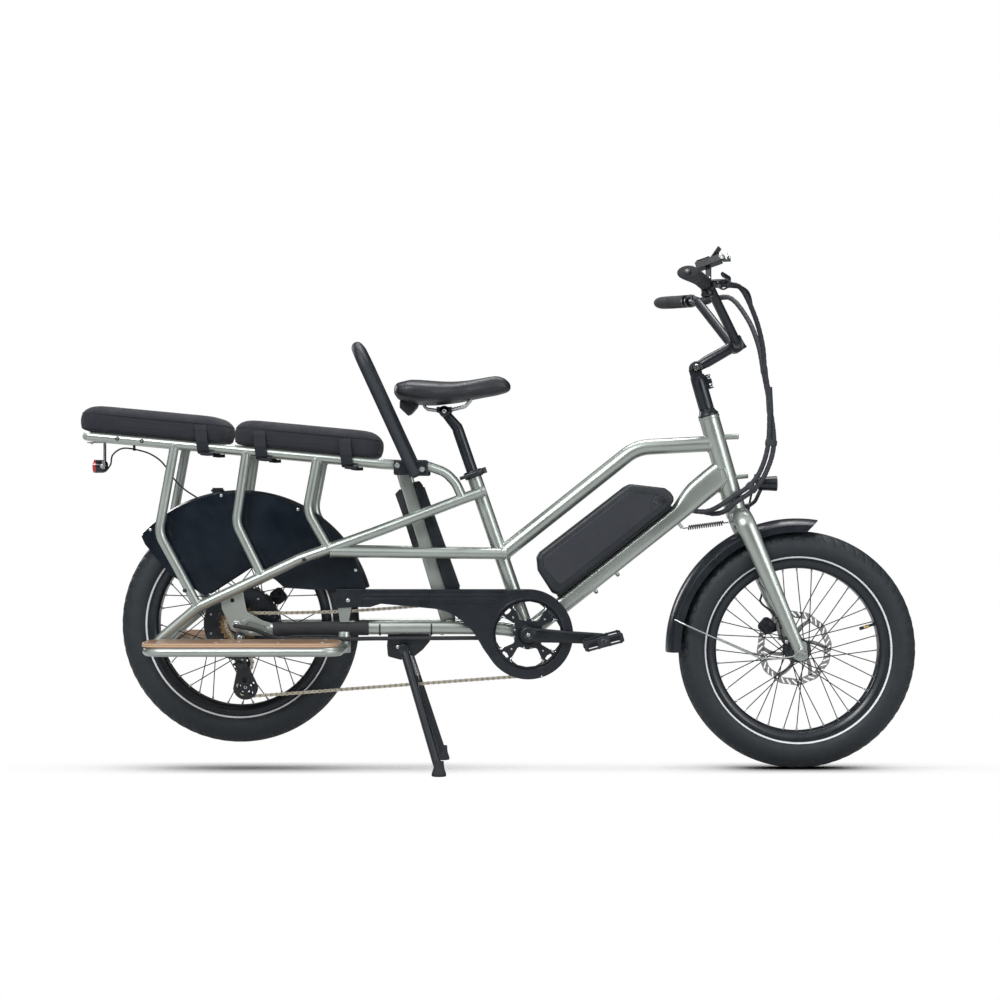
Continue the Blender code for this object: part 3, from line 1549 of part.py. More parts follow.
LOOM_R = 6.0
loom_low = [
    (619, -46, 935), (631, -42, 866), (628, -39, 765), (610, -38, 701), (584, -38, 665), (547, -38, 640),
    (515, -34, 618), (492, -19, 606), (470, -7, 604), (452, -6.7, 606.4),
]
loom_right = spline(
    [
        across(on_bar(33.2, 24), -1), across(on_bar(18, 28), -1), across(on_bar(0, 40, 4), -1),
        (556, -112, 1118), (592, -78, 1056), (612, -57, 992), *loom_low,
    ],
    2,
)
loom_left = spline(
    [
        on_bar(33.2, 24), on_bar(18, 28), on_bar(0, 40, 4), (556, 104, 1118), (590, 50, 1064), (609, 2, 1000),
        (617, -32, 935), (631, -28.6, 866), (641.2, -37, 765), (622.8, -37, 696), (593.5, -38, 655.5),
        (554, -38.5, 627.5), (527, -27, 605), (505, -9, 599), (482, 5, 602.5), (452, 6.7, 606.4),
    ],
    2,
)


def band(first, second, along):
    """A sleeve round both strands where they run side by side."""
    middle = (np.asarray(first) + np.asarray(second)) / 2
    apart = unit(np.asarray(second) - np.asarray(first))
    along = unit(along)
    return tube([middle - along * 6, middle + along * 6], [[14.5, 7.8]] * 2, 8, apart)


bands = [
    band((619, -46, 935), (617, -32, 935), (14, 4, -126)),
    band((631, -42, 866), (631, -28.6, 866), (5, 4, -85)),
    band((628, -39, 765), (641.2, -37, 765), (-11, 2, -82)),
    band((584, -38, 665), (593.5, -38, 655.5), (-32, 0, -31)),
]
loom = union(tube(loom_right, LOOM_R, 5), tube(loom_left, LOOM_R, 5), *bands)
node("cable_loom", loom, "fabric")

caliper_top = round_point(FRONT_AXLE, front_angle, FRONT_CALIPER_R, 45.4) - caliper_round * 19.6
hose = spline(
    [
        (606, 27, 692), (600, 45, 650), (596, 70, 612), (594, 81, 560), (614, 81, 500), (630, 79, 440),
        (627, 72, 405), (622, 60, 390), (631, 48, 378), (648, 45.4, 366),
        caliper_top - caliper_round * 9, caliper_top,
    ],
    2,
)
node("front_brake_cable", tube(hose, 2.5, 4), "black", HEAD_LOW)

harness = spline(
    [
        (-611, -AXLE_END - 1.5, 340), (-611, -100, 340), (-596, -105, 338), (-566, -99, 331),
        (-535, -91, 318), (-500, -87, 309.4), (-400, -85, 309.2), (-345, -81, 309), (-300, -67, 309),
        (-224, -61.5, 309), (-150, -56, 309), (-80, -49, 309), (-46, -43.5, 308.5),
    ],
    2,
)
node("motor_cable", tube(harness, 4.8, 5), "black")


# Centring spring between the down tube and the fork crown

SPRING_TURNS = 12
SPRING_R = 4.4
WIRE_R = 1.05
TURN_POINTS = 8


def spring(start, end):
    """A coil with straight ends, as one unbroken wire."""
    along = unit(end - start)
    lead = 2 * (SPRING_R + WIRE_R)
    length = np.linalg.norm(end - start) - 2 * lead
    _, first, second = axes(along)
    path = [start, start + along * (lead - 3)]
    for step in range(SPRING_TURNS * TURN_POINTS + 1):
        angle = 2 * math.pi * step / TURN_POINTS
        share = step / (SPRING_TURNS * TURN_POINTS)
        out = (math.cos(angle) * first + math.sin(angle) * second) * SPRING_R
        path.append(start + along * (lead + length * share) + out)
    path += [end - along * (lead - 3), end]
    print("spring pitch less wire, mm:", round(length / SPRING_TURNS - 2 * WIRE_R, 2))
    return tube(path, WIRE_R, 5)


node("steering_spring", spring(down(439, -34.5), head(-54, -24.2)), "steel")
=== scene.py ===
# %% [markdown]
# A long electric cargo bicycle, dressed for a studio picture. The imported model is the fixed
# frame: it says where each piece is and what it moves with. This file gives each piece its
# fine surface and its finish. Read it from top to bottom: first the tools, then the finishes,
# then the bicycle from its frame outwards.

import math

import bmesh
import bpy
import numpy as np
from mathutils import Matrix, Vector
from mathutils.geometry import delaunay_2d_cdt


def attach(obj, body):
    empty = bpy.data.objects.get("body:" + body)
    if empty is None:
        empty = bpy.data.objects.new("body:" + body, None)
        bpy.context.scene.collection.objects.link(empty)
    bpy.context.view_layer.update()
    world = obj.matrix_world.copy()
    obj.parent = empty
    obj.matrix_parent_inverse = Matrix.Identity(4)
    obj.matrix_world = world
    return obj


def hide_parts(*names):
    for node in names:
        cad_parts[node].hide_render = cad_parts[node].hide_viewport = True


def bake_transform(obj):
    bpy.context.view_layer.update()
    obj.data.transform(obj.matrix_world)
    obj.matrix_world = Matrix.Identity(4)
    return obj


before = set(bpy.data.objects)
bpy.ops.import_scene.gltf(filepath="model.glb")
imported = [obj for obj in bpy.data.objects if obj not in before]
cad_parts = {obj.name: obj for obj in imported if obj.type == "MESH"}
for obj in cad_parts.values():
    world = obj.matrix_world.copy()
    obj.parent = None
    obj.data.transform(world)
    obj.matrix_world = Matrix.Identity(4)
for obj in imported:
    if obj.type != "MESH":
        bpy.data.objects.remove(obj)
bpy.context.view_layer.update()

# %% [markdown]
# The bicycle is laid out in millimetres, forward along +X, with the rider's left along +Y and
# the ground at zero. The same few sizes drive the solids and these surfaces, so that each
# surface lies on its solid.

# %% Named sizes and directions
MM = 0.001
X, Y, Z = np.eye(3)


def point(x, y, z):
    """A point or a direction in millimetres."""
    return np.array([x, y, z], float)


def unit(vector):
    """The vector at a length of one."""
    vector = np.asarray(vector, float)
    return vector / np.linalg.norm(vector)


def unit_rows(rows):
    """Every row at a length of one."""
    return rows / np.linalg.norm(rows, axis=1)[:, None]


def tilted(degrees):
    """The direction that rises by an angle from forward, and the one square to it."""
    angle = math.radians(degrees)
    return point(math.cos(angle), 0, math.sin(angle)), point(-math.sin(angle), 0, math.cos(angle))


BB, HEAD_LOW = point(65.6, 0, 318.6), point(547.5, 0, 637)
FRONT_AXLE, REAR_AXLE = point(700, 0, 279), point(-611, 0, 340)
GUIDE, TENSION = point(-600, 0, 250), point(-593, 0, 195)
HEAD_FORWARD, HEAD_UP = tilted(16)
SEAT_FORWARD, SEAT_UP = tilted(19)
DOWN_ALONG, DOWN_OUT = tilted(38.4)


def head(up, forward=0.0, side=0.0):
    """A point along the steering axis, ahead of it and to its side."""
    return HEAD_LOW + HEAD_UP * up + HEAD_FORWARD * forward + Y * side


def seat(up, forward=0.0, side=0.0):
    """A point along the seat tube, ahead of it and to its side."""
    return BB + SEAT_UP * up + SEAT_FORWARD * forward + Y * side


def down(along, out, side=0.0):
    """A point along the down tube, above it and to its side."""
    return BB + DOWN_ALONG * along + DOWN_OUT * out + Y * side


def across(p, side=-1):
    """A point's partner on the other side."""
    return np.asarray(p, float) * [1, side, 1]


# %% [markdown]
# Every new surface is a grid of points: a section carried along a path, or a profile turned
# about an axis. A grid is worked out as whole arrays, and its faces follow from its rows and
# columns, so a hundred rings cost no more code than two.

# %% Grids, paths and sections
def grid(points, looped=False, capped=True):
    """Faces between neighbouring rows and columns; each row is a closed ring of points."""
    rows, columns = points.shape[:2]
    ids = np.arange(rows * columns).reshape(rows, columns)
    low = ids if looped else ids[:-1]
    high = np.roll(ids, -1, axis=0) if looped else ids[1:]
    around = [low, np.roll(low, -1, axis=1), np.roll(high, -1, axis=1), high]
    faces = np.stack(around, axis=-1).reshape(-1, 4).tolist()
    if capped and not looped:
        faces += [ids[0].tolist(), ids[-1].tolist()]
    return points.reshape(-1, 3), faces


def joined(shapes):
    """Several shapes as one: their points stacked, and their faces counted on."""
    verts, faces, start = [], [], 0
    for points, polygons in shapes:
        verts.append(np.asarray(points, float))
        faces += [[i + start for i in polygon] for polygon in polygons]
        start += len(points)
    return np.vstack(verts), faces


def fillet(points, radius, steps=10):
    """A polyline whose corners are arcs of the radius, found from the corner's half angle."""
    points = [np.asarray(p, float) for p in points]
    path = [points[0]]
    for before, corner, after in zip(points, points[1:], points[2:]):
        back, ahead = before - corner, after - corner
        back_length, ahead_length = np.linalg.norm(back), np.linalg.norm(ahead)
        back, ahead = back / back_length, ahead / ahead_length
        half = math.acos(max(-1.0, min(1.0, float(back @ ahead)))) / 2
        turn = math.pi - 2 * half
        if turn < 0.01:
            path.append(corner)
            continue
        reach = min(radius / math.tan(half), 0.48 * back_length, 0.48 * ahead_length)
        centre = corner + unit(back + ahead) * reach * math.tan(half) / math.sin(half)
        start, end = corner + back * reach - centre, corner + ahead * reach - centre
        share = np.linspace(0, 1, steps + 1)[:, None]
        swing = np.sin((1 - share) * turn) * start + np.sin(share * turn) * end
        path += list(centre + swing / math.sin(turn))
    path.append(points[-1])
    return np.array(path)


def rounded(pairs, radius, steps=6):
    """A closed outline with each corner rounded, by rounding an open path that starts mid-edge."""
    pairs = [point(a, 0, b) for a, b in pairs]
    start = (pairs[0] + pairs[-1]) / 2
    path = fillet([start, *pairs, start], radius, steps)[:-1]
    return path[:, [0, 2]]


def spline(points, steps=12):
    """A smooth path through the points: a cubic between each two, with shared slopes."""
    points = np.asarray(points, float)
    padded = np.vstack([2 * points[0] - points[1], points, 2 * points[-1] - points[-2]])
    a, b, c, d = (padded[i : len(padded) - 3 + i, None] for i in range(4))
    t = (np.arange(steps) / steps)[None, :, None]
    path = 0.5 * (2 * b + (c - a) * t + (2 * a - 5 * b + 4 * c - d) * t**2 + (3 * b - a - 3 * c + d) * t**3)
    return np.vstack([path.reshape(-1, points.shape[1]), points[-1:]])


# %% Bars along a path
def frames(path, reference=None):
    """At each point of a path, two directions square to it and to each other."""
    steps = unit_rows(np.diff(path, axis=0))
    tangents = unit_rows(np.vstack([steps[:1], steps[:-1] + steps[1:], steps[-1:]]))
    if reference is not None:
        firsts = unit_rows(reference - (tangents @ reference)[:, None] * tangents)
        return firsts, np.cross(tangents, firsts)
    carried = Z if abs(tangents[0][2]) < 0.8 else X
    firsts = []
    for tangent in tangents:
        carried = unit(carried - (carried @ tangent) * tangent)
        firsts.append(carried)
    return np.array(firsts), np.cross(tangents, np.array(firsts))


def ellipse(sides, power=1.0):
    """Points round a unit circle, squarer as the power falls."""
    angle = (np.arange(sides) + 0.5) * 2 * math.pi / sides
    cos, sin = np.cos(angle), np.sin(angle)
    return np.sign(cos) * np.abs(cos) ** power, np.sign(sin) * np.abs(sin) ** power


def rings_on(path, first, second, u, v):
    """A ring at each point of a path: u times one direction plus v times another."""
    return path[:, None] + u[..., None] * first[:, None] + v[..., None] * second[:, None]


def tube(path, radius, sides=24, reference=None, power=1.0, flat=1.0):
    """A bar along a path. Radius is its first half width and flat the second's share of it."""
    path = np.asarray(path, float)
    first, second = frames(path, reference)
    u, v = ellipse(sides, power)
    radius = np.broadcast_to(radius, len(path))[:, None]
    flat = np.broadcast_to(flat, len(path))[:, None]
    return grid(rings_on(path, first, second, radius * u, radius * flat * v))


def rod(start, end, radius, sides=24, edge=0.8):
    """A straight bar whose two ends are eased over the edge width."""
    start, end = np.asarray(start, float), np.asarray(end, float)
    length = np.linalg.norm(end - start)
    edge = min(edge, radius / 2, length / 4)
    ease = edge * 0.3
    profile = [(0, radius - edge), (ease, radius - ease), (edge, radius)]
    profile += [(length - edge, radius), (length - ease, radius - ease), (length, radius - edge)]
    return turned(start, end - start, profile, sides)


# %% Turned shapes
def axes(axis):
    """An axis with two directions square to it."""
    axis = unit(axis)
    first = unit(np.cross(axis, X if abs(axis[0]) < 0.8 else Z))
    return axis, first, np.cross(axis, first)


def turned(origin, axis, profile, sides=48, looped=False):
    """A profile of (along, radius) pairs turned about an axis."""
    axis, first, second = axes(axis)
    angle = (np.arange(sides) + 0.5) * 2 * math.pi / sides
    out = np.cos(angle)[:, None] * first + np.sin(angle)[:, None] * second
    profile = np.asarray(profile, float)[..., None, None]
    return grid(origin + axis * profile[:, 0] + out[None] * profile[:, 1], looped)


def washer(origin, axis, bore, radius, length, sides=48):
    """A plain ring about an axis."""
    return turned(origin, axis, [(0, bore), (0, radius), (length, radius), (length, bore)], sides, True)


# %% Flat outlines drawn out
def slab(points, offset):
    """A flat outline of points drawn out by a vector."""
    ring = np.asarray(points, float)
    return grid(np.stack([ring, ring + np.asarray(offset, float)]))


def upright(pairs, y):
    """(x, z) pairs as points at one place across the bicycle."""
    return np.insert(np.asarray(pairs, float), 1, y, axis=1)


def prism(outline, start, end):
    """An (x, z) outline drawn out along Y."""
    return slab(upright(outline, start), Y * (end - start))


def block(centre, u, v, w):
    """A box from its centre and three half edges."""
    ring = [centre - u - v - w, centre + u - v - w, centre + u + v - w, centre - u + v - w]
    return slab(ring, 2 * np.asarray(w, float))


def box(x0, x1, y0, y1, z0, z1):
    """A box from its limits along each axis."""
    middle = point(x0 + x1, y0 + y1, z0 + z1) / 2
    return block(middle, X * (x1 - x0) / 2, Y * (y1 - y0) / 2, Z * (z1 - z0) / 2)


def plate(outer, holes, start, end):
    """An (x, z) outline with holes, drawn out along Y: flat faces, and a wall on each loop."""
    loops = [np.asarray(loop, float) for loop in [outer, *holes]]
    starts = np.cumsum([0] + [len(loop) for loop in loops])
    ids = [list(range(a, b)) for a, b in zip(starts, starts[1:])]
    flat = [Vector(p) for loop in loops for p in loop]
    corners, _, polygons, *_ = delaunay_2d_cdt(flat, [], ids, 5, 1e-6)
    points = [tuple(p) for p in corners]
    shapes = [(upright(points, y), [list(face) for face in polygons]) for y in (start, end)]
    for loop in loops:
        ring = upright(loop, start)
        shapes.append(grid(np.stack([ring, ring + Y * (end - start)]), capped=False))
    return joined(shapes)


def circled(centre, radius, angle):
    """(x, z) points at radii and angles round a centre."""
    return np.stack([centre[0] + radius * np.cos(angle), centre[2] + radius * np.sin(angle)], axis=1)


def arc(centre, radius, start, end, steps):
    """(x, z) points on an arc, in degrees from forward."""
    return circled(centre, radius, np.radians(np.linspace(start, end, steps + 1)))


def symmetric(half):
    """A profile from its first half, repeated backwards on the other side of zero."""
    return [*half, *[(-a, b) for a, b in reversed(half)]]


# %% Turned and mirrored copies
def spun(shape, centre, angle):
    """A shape turned about an axis across the bicycle, counted from forward to up."""
    verts, faces = shape
    cos, sin = math.cos(angle), math.sin(angle)
    away = np.asarray(verts) - centre
    turned_x = away[:, 0] * cos - away[:, 2] * sin
    turned_z = away[:, 0] * sin + away[:, 2] * cos
    return np.stack([turned_x, away[:, 1], turned_z], axis=1) + centre, faces


def mirrored(shape):
    """A shape's mirror image, its faces turned so that they still face outwards."""
    verts, faces = shape
    return np.asarray(verts) * [1, -1, 1], [list(face)[::-1] for face in faces]


def opposite(shapes):
    """The shapes as they are on the other side of the bicycle."""
    return [mirrored(shape) for shape in shapes]


def both(*shapes):
    """The shapes and their mirror images."""
    return [*shapes, *opposite(shapes)]


def polar(axle, angle, radius, y=0.0):
    """The point at an angle and a radius round an axle."""
    return axle + point(math.cos(angle), 0, math.sin(angle)) * radius + Y * y


# %% [markdown]
# A finished piece is one mesh whose object sits at the origin, because the export bakes it
# there. Its normals are recalculated once all its shapes are in, so every closed shell faces
# outwards. A narrow bevel catches the light along edges, as a cast or pressed edge does.

# %% Make a piece
def linked(name, data):
    """A new object in the scene."""
    obj = bpy.data.objects.new(name, data)
    bpy.context.scene.collection.objects.link(obj)
    return obj


def piece(name, shapes, material, body, stands_for=(), slot=None, sharp=35.0, bevel=0.0):
    """One object from closed shapes in millimetres, riding on its body."""
    verts, faces = joined(shapes)
    mesh = bpy.data.meshes.new(name)
    mesh.from_pydata((verts * MM).tolist(), [], faces)
    work = bmesh.new()
    work.from_mesh(mesh)
    bmesh.ops.remove_doubles(work, verts=work.verts, dist=1e-7)
    bmesh.ops.recalc_face_normals(work, faces=work.faces)
    work.to_mesh(mesh)
    work.free()
    mesh.shade_smooth()
    mesh.set_sharp_from_angle(angle=math.radians(sharp))
    mesh.materials.append(material)
    obj = linked(name, mesh)
    if bevel:
        edge = obj.modifiers.new("edge", "BEVEL")
        edge.width = bevel * MM
        edge.segments = 2
        edge.limit_method = "ANGLE"
        edge.angle_limit = math.radians(40)
        edge.harden_normals = True
    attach(obj, body)
    if stands_for:
        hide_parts(*stands_for)
    return obj


def bolt(at, axis, radius, height):
    """A button head with a hexagon's recess, seen as a round dimple."""
    recess = radius * 0.48
    profile = [
        (-1.0, radius), (height * 0.35, radius), (height * 0.8, radius * 0.86), (height, radius * 0.62),
        (height, recess), (height * 0.35, recess * 0.94), (height * 0.35, 0.01),
    ]
    return turned(np.asarray(at, float), axis, profile, 18)


# %% [markdown]
# The camera stands level beside the bicycle, a little under five metres away, as in the
# picture. Soft lamps stand above and to each side, and the white surroundings are what the
# camera and the gloss see, while the shade comes from weaker light.

# %% Camera
camera_data = bpy.data.cameras.new("camera")
camera_data.lens = 71.7
camera_data.sensor_width = 36.0
camera = linked("camera", camera_data)
camera.location = (0.0, -4.7, 0.6313)
camera.rotation_euler = (math.radians(90), 0, 0)
bpy.context.scene.camera = camera
bpy.context.scene.view_settings.view_transform = "Standard"

# %% Lamps
LAMPS = {
    "key": ((-1.6, -3.0, 3.0), (0.0, 0.0, 0.6), (1.8, 1.2), 105.0),
    "fill": ((3.0, -3.2, 1.5), (0.2, 0.0, 0.6), (1.6, 1.6), 38.0),
    "top": ((0.2, 0.7, 3.4), (0.0, 0.0, 0.6), (2.6, 0.8), 70.0),
    "back": ((-2.6, 3.0, 1.8), (0.0, 0.0, 0.6), (1.4, 1.4), 38.0),
}
for lamp_name, (place, target, size, power) in LAMPS.items():
    lamp = bpy.data.lights.new(lamp_name, "AREA")
    lamp.shape = "RECTANGLE"
    lamp.size, lamp.size_y = size
    lamp.energy = power
    lamp_object = linked(lamp_name, lamp)
    lamp_object.location = place
    lamp_object.rotation_euler = (Vector(target) - Vector(place)).to_track_quat("-Z", "Y").to_euler()

# %% Shader helpers
def add(tree, kind, inputs=None, **settings):
    """One shader node: settings are its own, and inputs are values or sockets to link."""
    made = tree.nodes.new(kind)
    for key, value in settings.items():
        setattr(made, key, value)
    for key, value in (inputs or {}).items():
        if isinstance(value, bpy.types.NodeSocket):
            tree.links.new(value, made.inputs[key])
        else:
            made.inputs[key].default_value = value
    return made


def scaled(tree, value, low, high, at_low=0.0, at_high=1.0):
    """A value mapped from one range to another."""
    made = add(tree, "ShaderNodeMapRange", {"Value": value, 1: low, 2: high, 3: at_low, 4: at_high})
    return made.outputs[0]


def product(tree, first, second, operation="MULTIPLY"):
    """Two values multiplied, or put together by another operation."""
    return add(tree, "ShaderNodeMath", {0: first, 1: second}, operation=operation).outputs[0]


def either(tree, share, first, second):
    """Two shaders mixed by a share."""
    return add(tree, "ShaderNodeMixShader", {0: share, 1: first, 2: second}).outputs[0]


# %% [markdown]
# Gloss shows what stands round an object, so the world holds a room of pale screens that only
# mirrored rays see. The camera sees plain white, and all other rays see weaker, even light.

# %% Surroundings
def mirrored_room(tree):
    """How bright the mirrored room is: pale screens to both sides of the camera and above it.

    The part straight behind the camera stays dark, so flat black faces keep their depth, and
    the far side stays dark, so round tubes darken towards their edges."""
    where = add(tree, "ShaderNodeTexCoord")
    toward = add(tree, "ShaderNodeSeparateXYZ", {0: where.outputs["Generated"]})
    backward = product(tree, toward.outputs["Y"], -1.0)
    near_side = scaled(tree, backward, -0.25, 0.35)
    off_centre = scaled(tree, backward, 0.975, 0.86)
    raised = scaled(tree, toward.outputs["Z"], -0.30, 0.15, 0.25, 1.0)
    screens = product(tree, product(tree, near_side, off_centre), raised)
    overhead = scaled(tree, toward.outputs["Z"], 0.55, 0.9, 0.0, 0.5)
    return scaled(tree, product(tree, screens, overhead, "MAXIMUM"), 0.0, 1.0, 0.05, 0.95)


def glow(tree, colour, strength):
    """Light of one colour from all round."""
    return add(tree, "ShaderNodeBackground", {"Color": (*colour, 1), "Strength": strength}).outputs[0]


def background(tree, strength_lit):
    """White where it is seen, the room where it is mirrored, and even light elsewhere."""
    rays = add(tree, "ShaderNodeLightPath").outputs
    seen = product(tree, rays["Is Camera Ray"], rays["Is Transmission Ray"], "MAXIMUM")
    room = glow(tree, (0.95, 0.98, 1), mirrored_room(tree))
    unseen = either(tree, rays["Is Glossy Ray"], glow(tree, (0.94, 0.97, 1), strength_lit), room)
    return either(tree, seen, unseen, glow(tree, (1, 1, 1), 1.0))


world = bpy.data.worlds.new("studio")
world.use_nodes = True
world.node_tree.nodes.clear()
add(world.node_tree, "ShaderNodeOutputWorld", {"Surface": background(world.node_tree, strength_lit=0.46)})
bpy.context.scene.world = world

# %% [markdown]
# The floor is pure white to the camera, darkened only in a narrow band under the two wheels.
# That shade is ambient occlusion, which asks how much of the sky a point of the floor can see,
# and it fades out within a hand's width of the bicycle's middle plane.

# %% Floor
FLOOR_HALF, FLOOR_DROP = 9.0, 0.0008
corners = [(-1, -1), (1, -1), (1, 1), (-1, 1)]
floor_points = [(x * FLOOR_HALF, y * FLOOR_HALF, -FLOOR_DROP) for x, y in corners]
floor_mesh = bpy.data.meshes.new("floor")
floor_mesh.from_pydata(floor_points, [], [(0, 1, 2, 3)])
floor = linked("floor", floor_mesh)
floor_finish = bpy.data.materials.new("floor")
floor_finish.use_nodes = True
tree = floor_finish.node_tree
tree.nodes.clear()
shade = add(tree, "ShaderNodeAmbientOcclusion", {"Distance": 0.40}, samples=8)
covered = scaled(tree, shade.outputs["AO"], 0.45, 0.92, 1.0, 0.0)
where = add(tree, "ShaderNodeTexCoord")
place = add(tree, "ShaderNodeSeparateXYZ", {0: where.outputs["Object"]})
from_middle = add(tree, "ShaderNodeMath", {0: place.outputs["Y"]}, operation="ABSOLUTE")
along_wheels = scaled(tree, from_middle.outputs[0], 0.02, 0.11, 1.0, 0.0)
ramp = scaled(tree, product(tree, covered, along_wheels), 0.0, 1.0, 1.0, 0.0)
rays = add(tree, "ShaderNodeLightPath")
pale = add(tree, "ShaderNodeBsdfDiffuse", {"Color": (0.6, 0.6, 0.6, 1)})
white = add(tree, "ShaderNodeEmission", {"Color": ramp, "Strength": 1.0})
floor_mix = either(tree, rays.outputs["Is Camera Ray"], pale.outputs[0], white.outputs[0])
add(tree, "ShaderNodeOutputMaterial", {"Surface": floor_mix})
floor_mesh.materials.append(floor_finish)

# %% [markdown]
# Finishes. Effects that more than one finish uses are node groups with named sockets: cloudy
# variation of a colour, fine grain that turns the light, crossed threads, long streaks, and
# dust that settles on what faces up. The Principled shader itself stays in each material.

# %% Node groups
SOCKETS = {"VALUE": "NodeSocketFloat", "RGBA": "NodeSocketColor", "VECTOR": "NodeSocketVector"}
PALE = (0.8, 0.8, 0.8, 1.0)


def group(name, inputs, work):
    """A node group: a function turns its named inputs, given here with their values, to outputs."""
    tree = bpy.data.node_groups.new(name, "ShaderNodeTree")
    for label, value in inputs.items():
        kind = "VALUE" if isinstance(value, float) else "RGBA" if len(value) == 4 else "VECTOR"
        socket = tree.interface.new_socket(label, in_out="INPUT", socket_type=SOCKETS[kind])
        socket.default_value = value
    found = work(tree, tree.nodes.new("NodeGroupInput").outputs)
    for label, socket in found.items():
        tree.interface.new_socket(label, in_out="OUTPUT", socket_type=SOCKETS[socket.type])
    add(tree, "NodeGroupOutput", found)
    return tree


def on_object(tree):
    """Places measured on the object itself, so that a pattern moves with it."""
    return add(tree, "ShaderNodeTexCoord").outputs["Object"]


def mixed(tree, share, first, second):
    """Two colours mixed by a share."""
    return add(tree, "ShaderNodeMix", {0: share, 6: first, 7: second}, data_type="RGBA").outputs[2]


def bumped(tree, height, strength, distance):
    """A normal turned by a height in the surface."""
    inputs = {"Strength": strength, "Distance": distance, "Height": height}
    return add(tree, "ShaderNodeBump", inputs).outputs[0]


def clouds(tree, given):
    """Mask of soft noise, and two colours mixed by it."""
    noise = add(tree, "ShaderNodeTexNoise", {
        "Vector": on_object(tree), "Scale": given["Scale"], "Detail": 4.0, "Roughness": 0.6,
    })
    mask = scaled(tree, noise.outputs["Fac"], 0.32, 0.68)
    return {"Colour": mixed(tree, mask, given["Colour"], given["Other"]), "Mask": mask}


def grain(tree, given):
    """A normal turned by fine noise, as on moulded plastic, leather or flaked paint."""
    inputs = {"Vector": on_object(tree), "Scale": given["Scale"]}
    cells = add(tree, "ShaderNodeTexVoronoi", inputs, feature="SMOOTH_F1").outputs["Distance"]
    return {"Normal": bumped(tree, cells, given["Depth"], 0.001)}


def threads(tree, given):
    """Two bands of waves at right angles, alternately raised, as in plain weave."""
    inputs = {"Vector": on_object(tree), "Scale": given["Scale"], "Distortion": 0.6, "Detail Scale": 0.4}
    warp, weft = (add(tree, "ShaderNodeTexWave", inputs, bands_direction=way).outputs["Fac"] for way in "XY")
    return {"Normal": bumped(tree, product(tree, warp, weft), given["Depth"], 0.0006)}


def streaks(tree, given):
    """Noise drawn out along one direction, as brushing or wood grain is."""
    drawn = add(tree, "ShaderNodeMapping", {"Vector": on_object(tree), "Scale": given["Scale"]})
    noise = add(tree, "ShaderNodeTexNoise", {
        "Vector": drawn.outputs[0], "Scale": 1.0, "Detail": 5.0, "Roughness": 0.65, "Distortion": 0.4,
    }).outputs["Fac"]
    return {"Normal": bumped(tree, noise, given["Depth"], 0.0005), "Mask": noise}


def dust(tree, given):
    """How dusty a point is: more where it faces up, broken up by noise."""
    faces = add(tree, "ShaderNodeNewGeometry")
    up = add(tree, "ShaderNodeSeparateXYZ", {0: faces.outputs["Normal"]})
    noise = add(tree, "ShaderNodeTexNoise", {"Vector": on_object(tree), "Scale": 55.0, "Detail": 6.0})
    facing = scaled(tree, up.outputs["Z"], -0.2, 1.0, 0.15, 1.0)
    patchy = scaled(tree, noise.outputs["Fac"], 0.4, 0.7)
    return {"Mask": product(tree, product(tree, facing, patchy), given["Amount"])}


CLOUDS = group("clouds", {"Colour": PALE, "Other": PALE, "Scale": 30.0}, clouds)
GRAIN = group("grain", {"Scale": 900.0, "Depth": 0.1}, grain)
THREADS = group("threads", {"Scale": 400.0, "Depth": 0.4}, threads)
STREAKS = group("streaks", {"Scale": (4.0, 200.0, 200.0), "Depth": 0.1}, streaks)
DUST = group("dust", {"Amount": 0.1}, dust)
DUST_COLOUR = (0.32, 0.31, 0.29, 1.0)

# %% [markdown]
# One function makes every finish from these groups, because paint, plastic, rubber and metal
# differ in their numbers more than in their nodes: two nearby colours, how rough and how
# metallic the surface is, the size of its grain and how much dust it holds.

# %% A finish
def principled(name, constants):
    """A new material and its tree, with plain numbers set on its shader."""
    made = bpy.data.materials.new(name)
    made.use_nodes = True
    for key, value in constants.items():
        made.node_tree.nodes["Principled BSDF"].inputs[key].default_value = value
    return made, made.node_tree


def feed(tree, sockets):
    """Sockets linked to the shader's inputs."""
    for key, socket in sockets.items():
        tree.links.new(socket, tree.nodes["Principled BSDF"].inputs[key])


def effect(tree, kind, **values):
    """A group placed in a material, with its own values."""
    return add(tree, "ShaderNodeGroup", values, node_tree=kind).outputs


def finish(
    name, colour, other, rough, metallic=0.0, coat=0.0, patches=30.0,
    relief=(900.0, 0.1), kind=GRAIN, dusty=0.08, sheen=0.0,
):
    """A material: clouded colour under dust, roughness that follows the clouds, and relief."""
    made, tree = principled(name, {
        "Metallic": metallic, "Coat Weight": coat, "Coat Roughness": 0.12, "Sheen Weight": sheen,
    })
    cloud = effect(tree, CLOUDS, Colour=(*colour, 1.0), Other=(*other, 1.0), Scale=patches)
    settled = effect(tree, DUST, Amount=dusty)
    feed(tree, {
        "Base Color": mixed(tree, settled["Mask"], cloud["Colour"], DUST_COLOUR),
        "Roughness": scaled(tree, cloud["Mask"], 0.0, 1.0, rough - 0.05, rough + 0.06),
        "Normal": effect(tree, kind, Scale=relief[0], Depth=relief[1])["Normal"],
    })
    return made


def brushed(name, colour, other, rough, metallic, scale, depth):
    """A bare metal with fine lines along one direction."""
    return finish(name, colour, other, rough, metallic, relief=(scale, depth), kind=STREAKS)


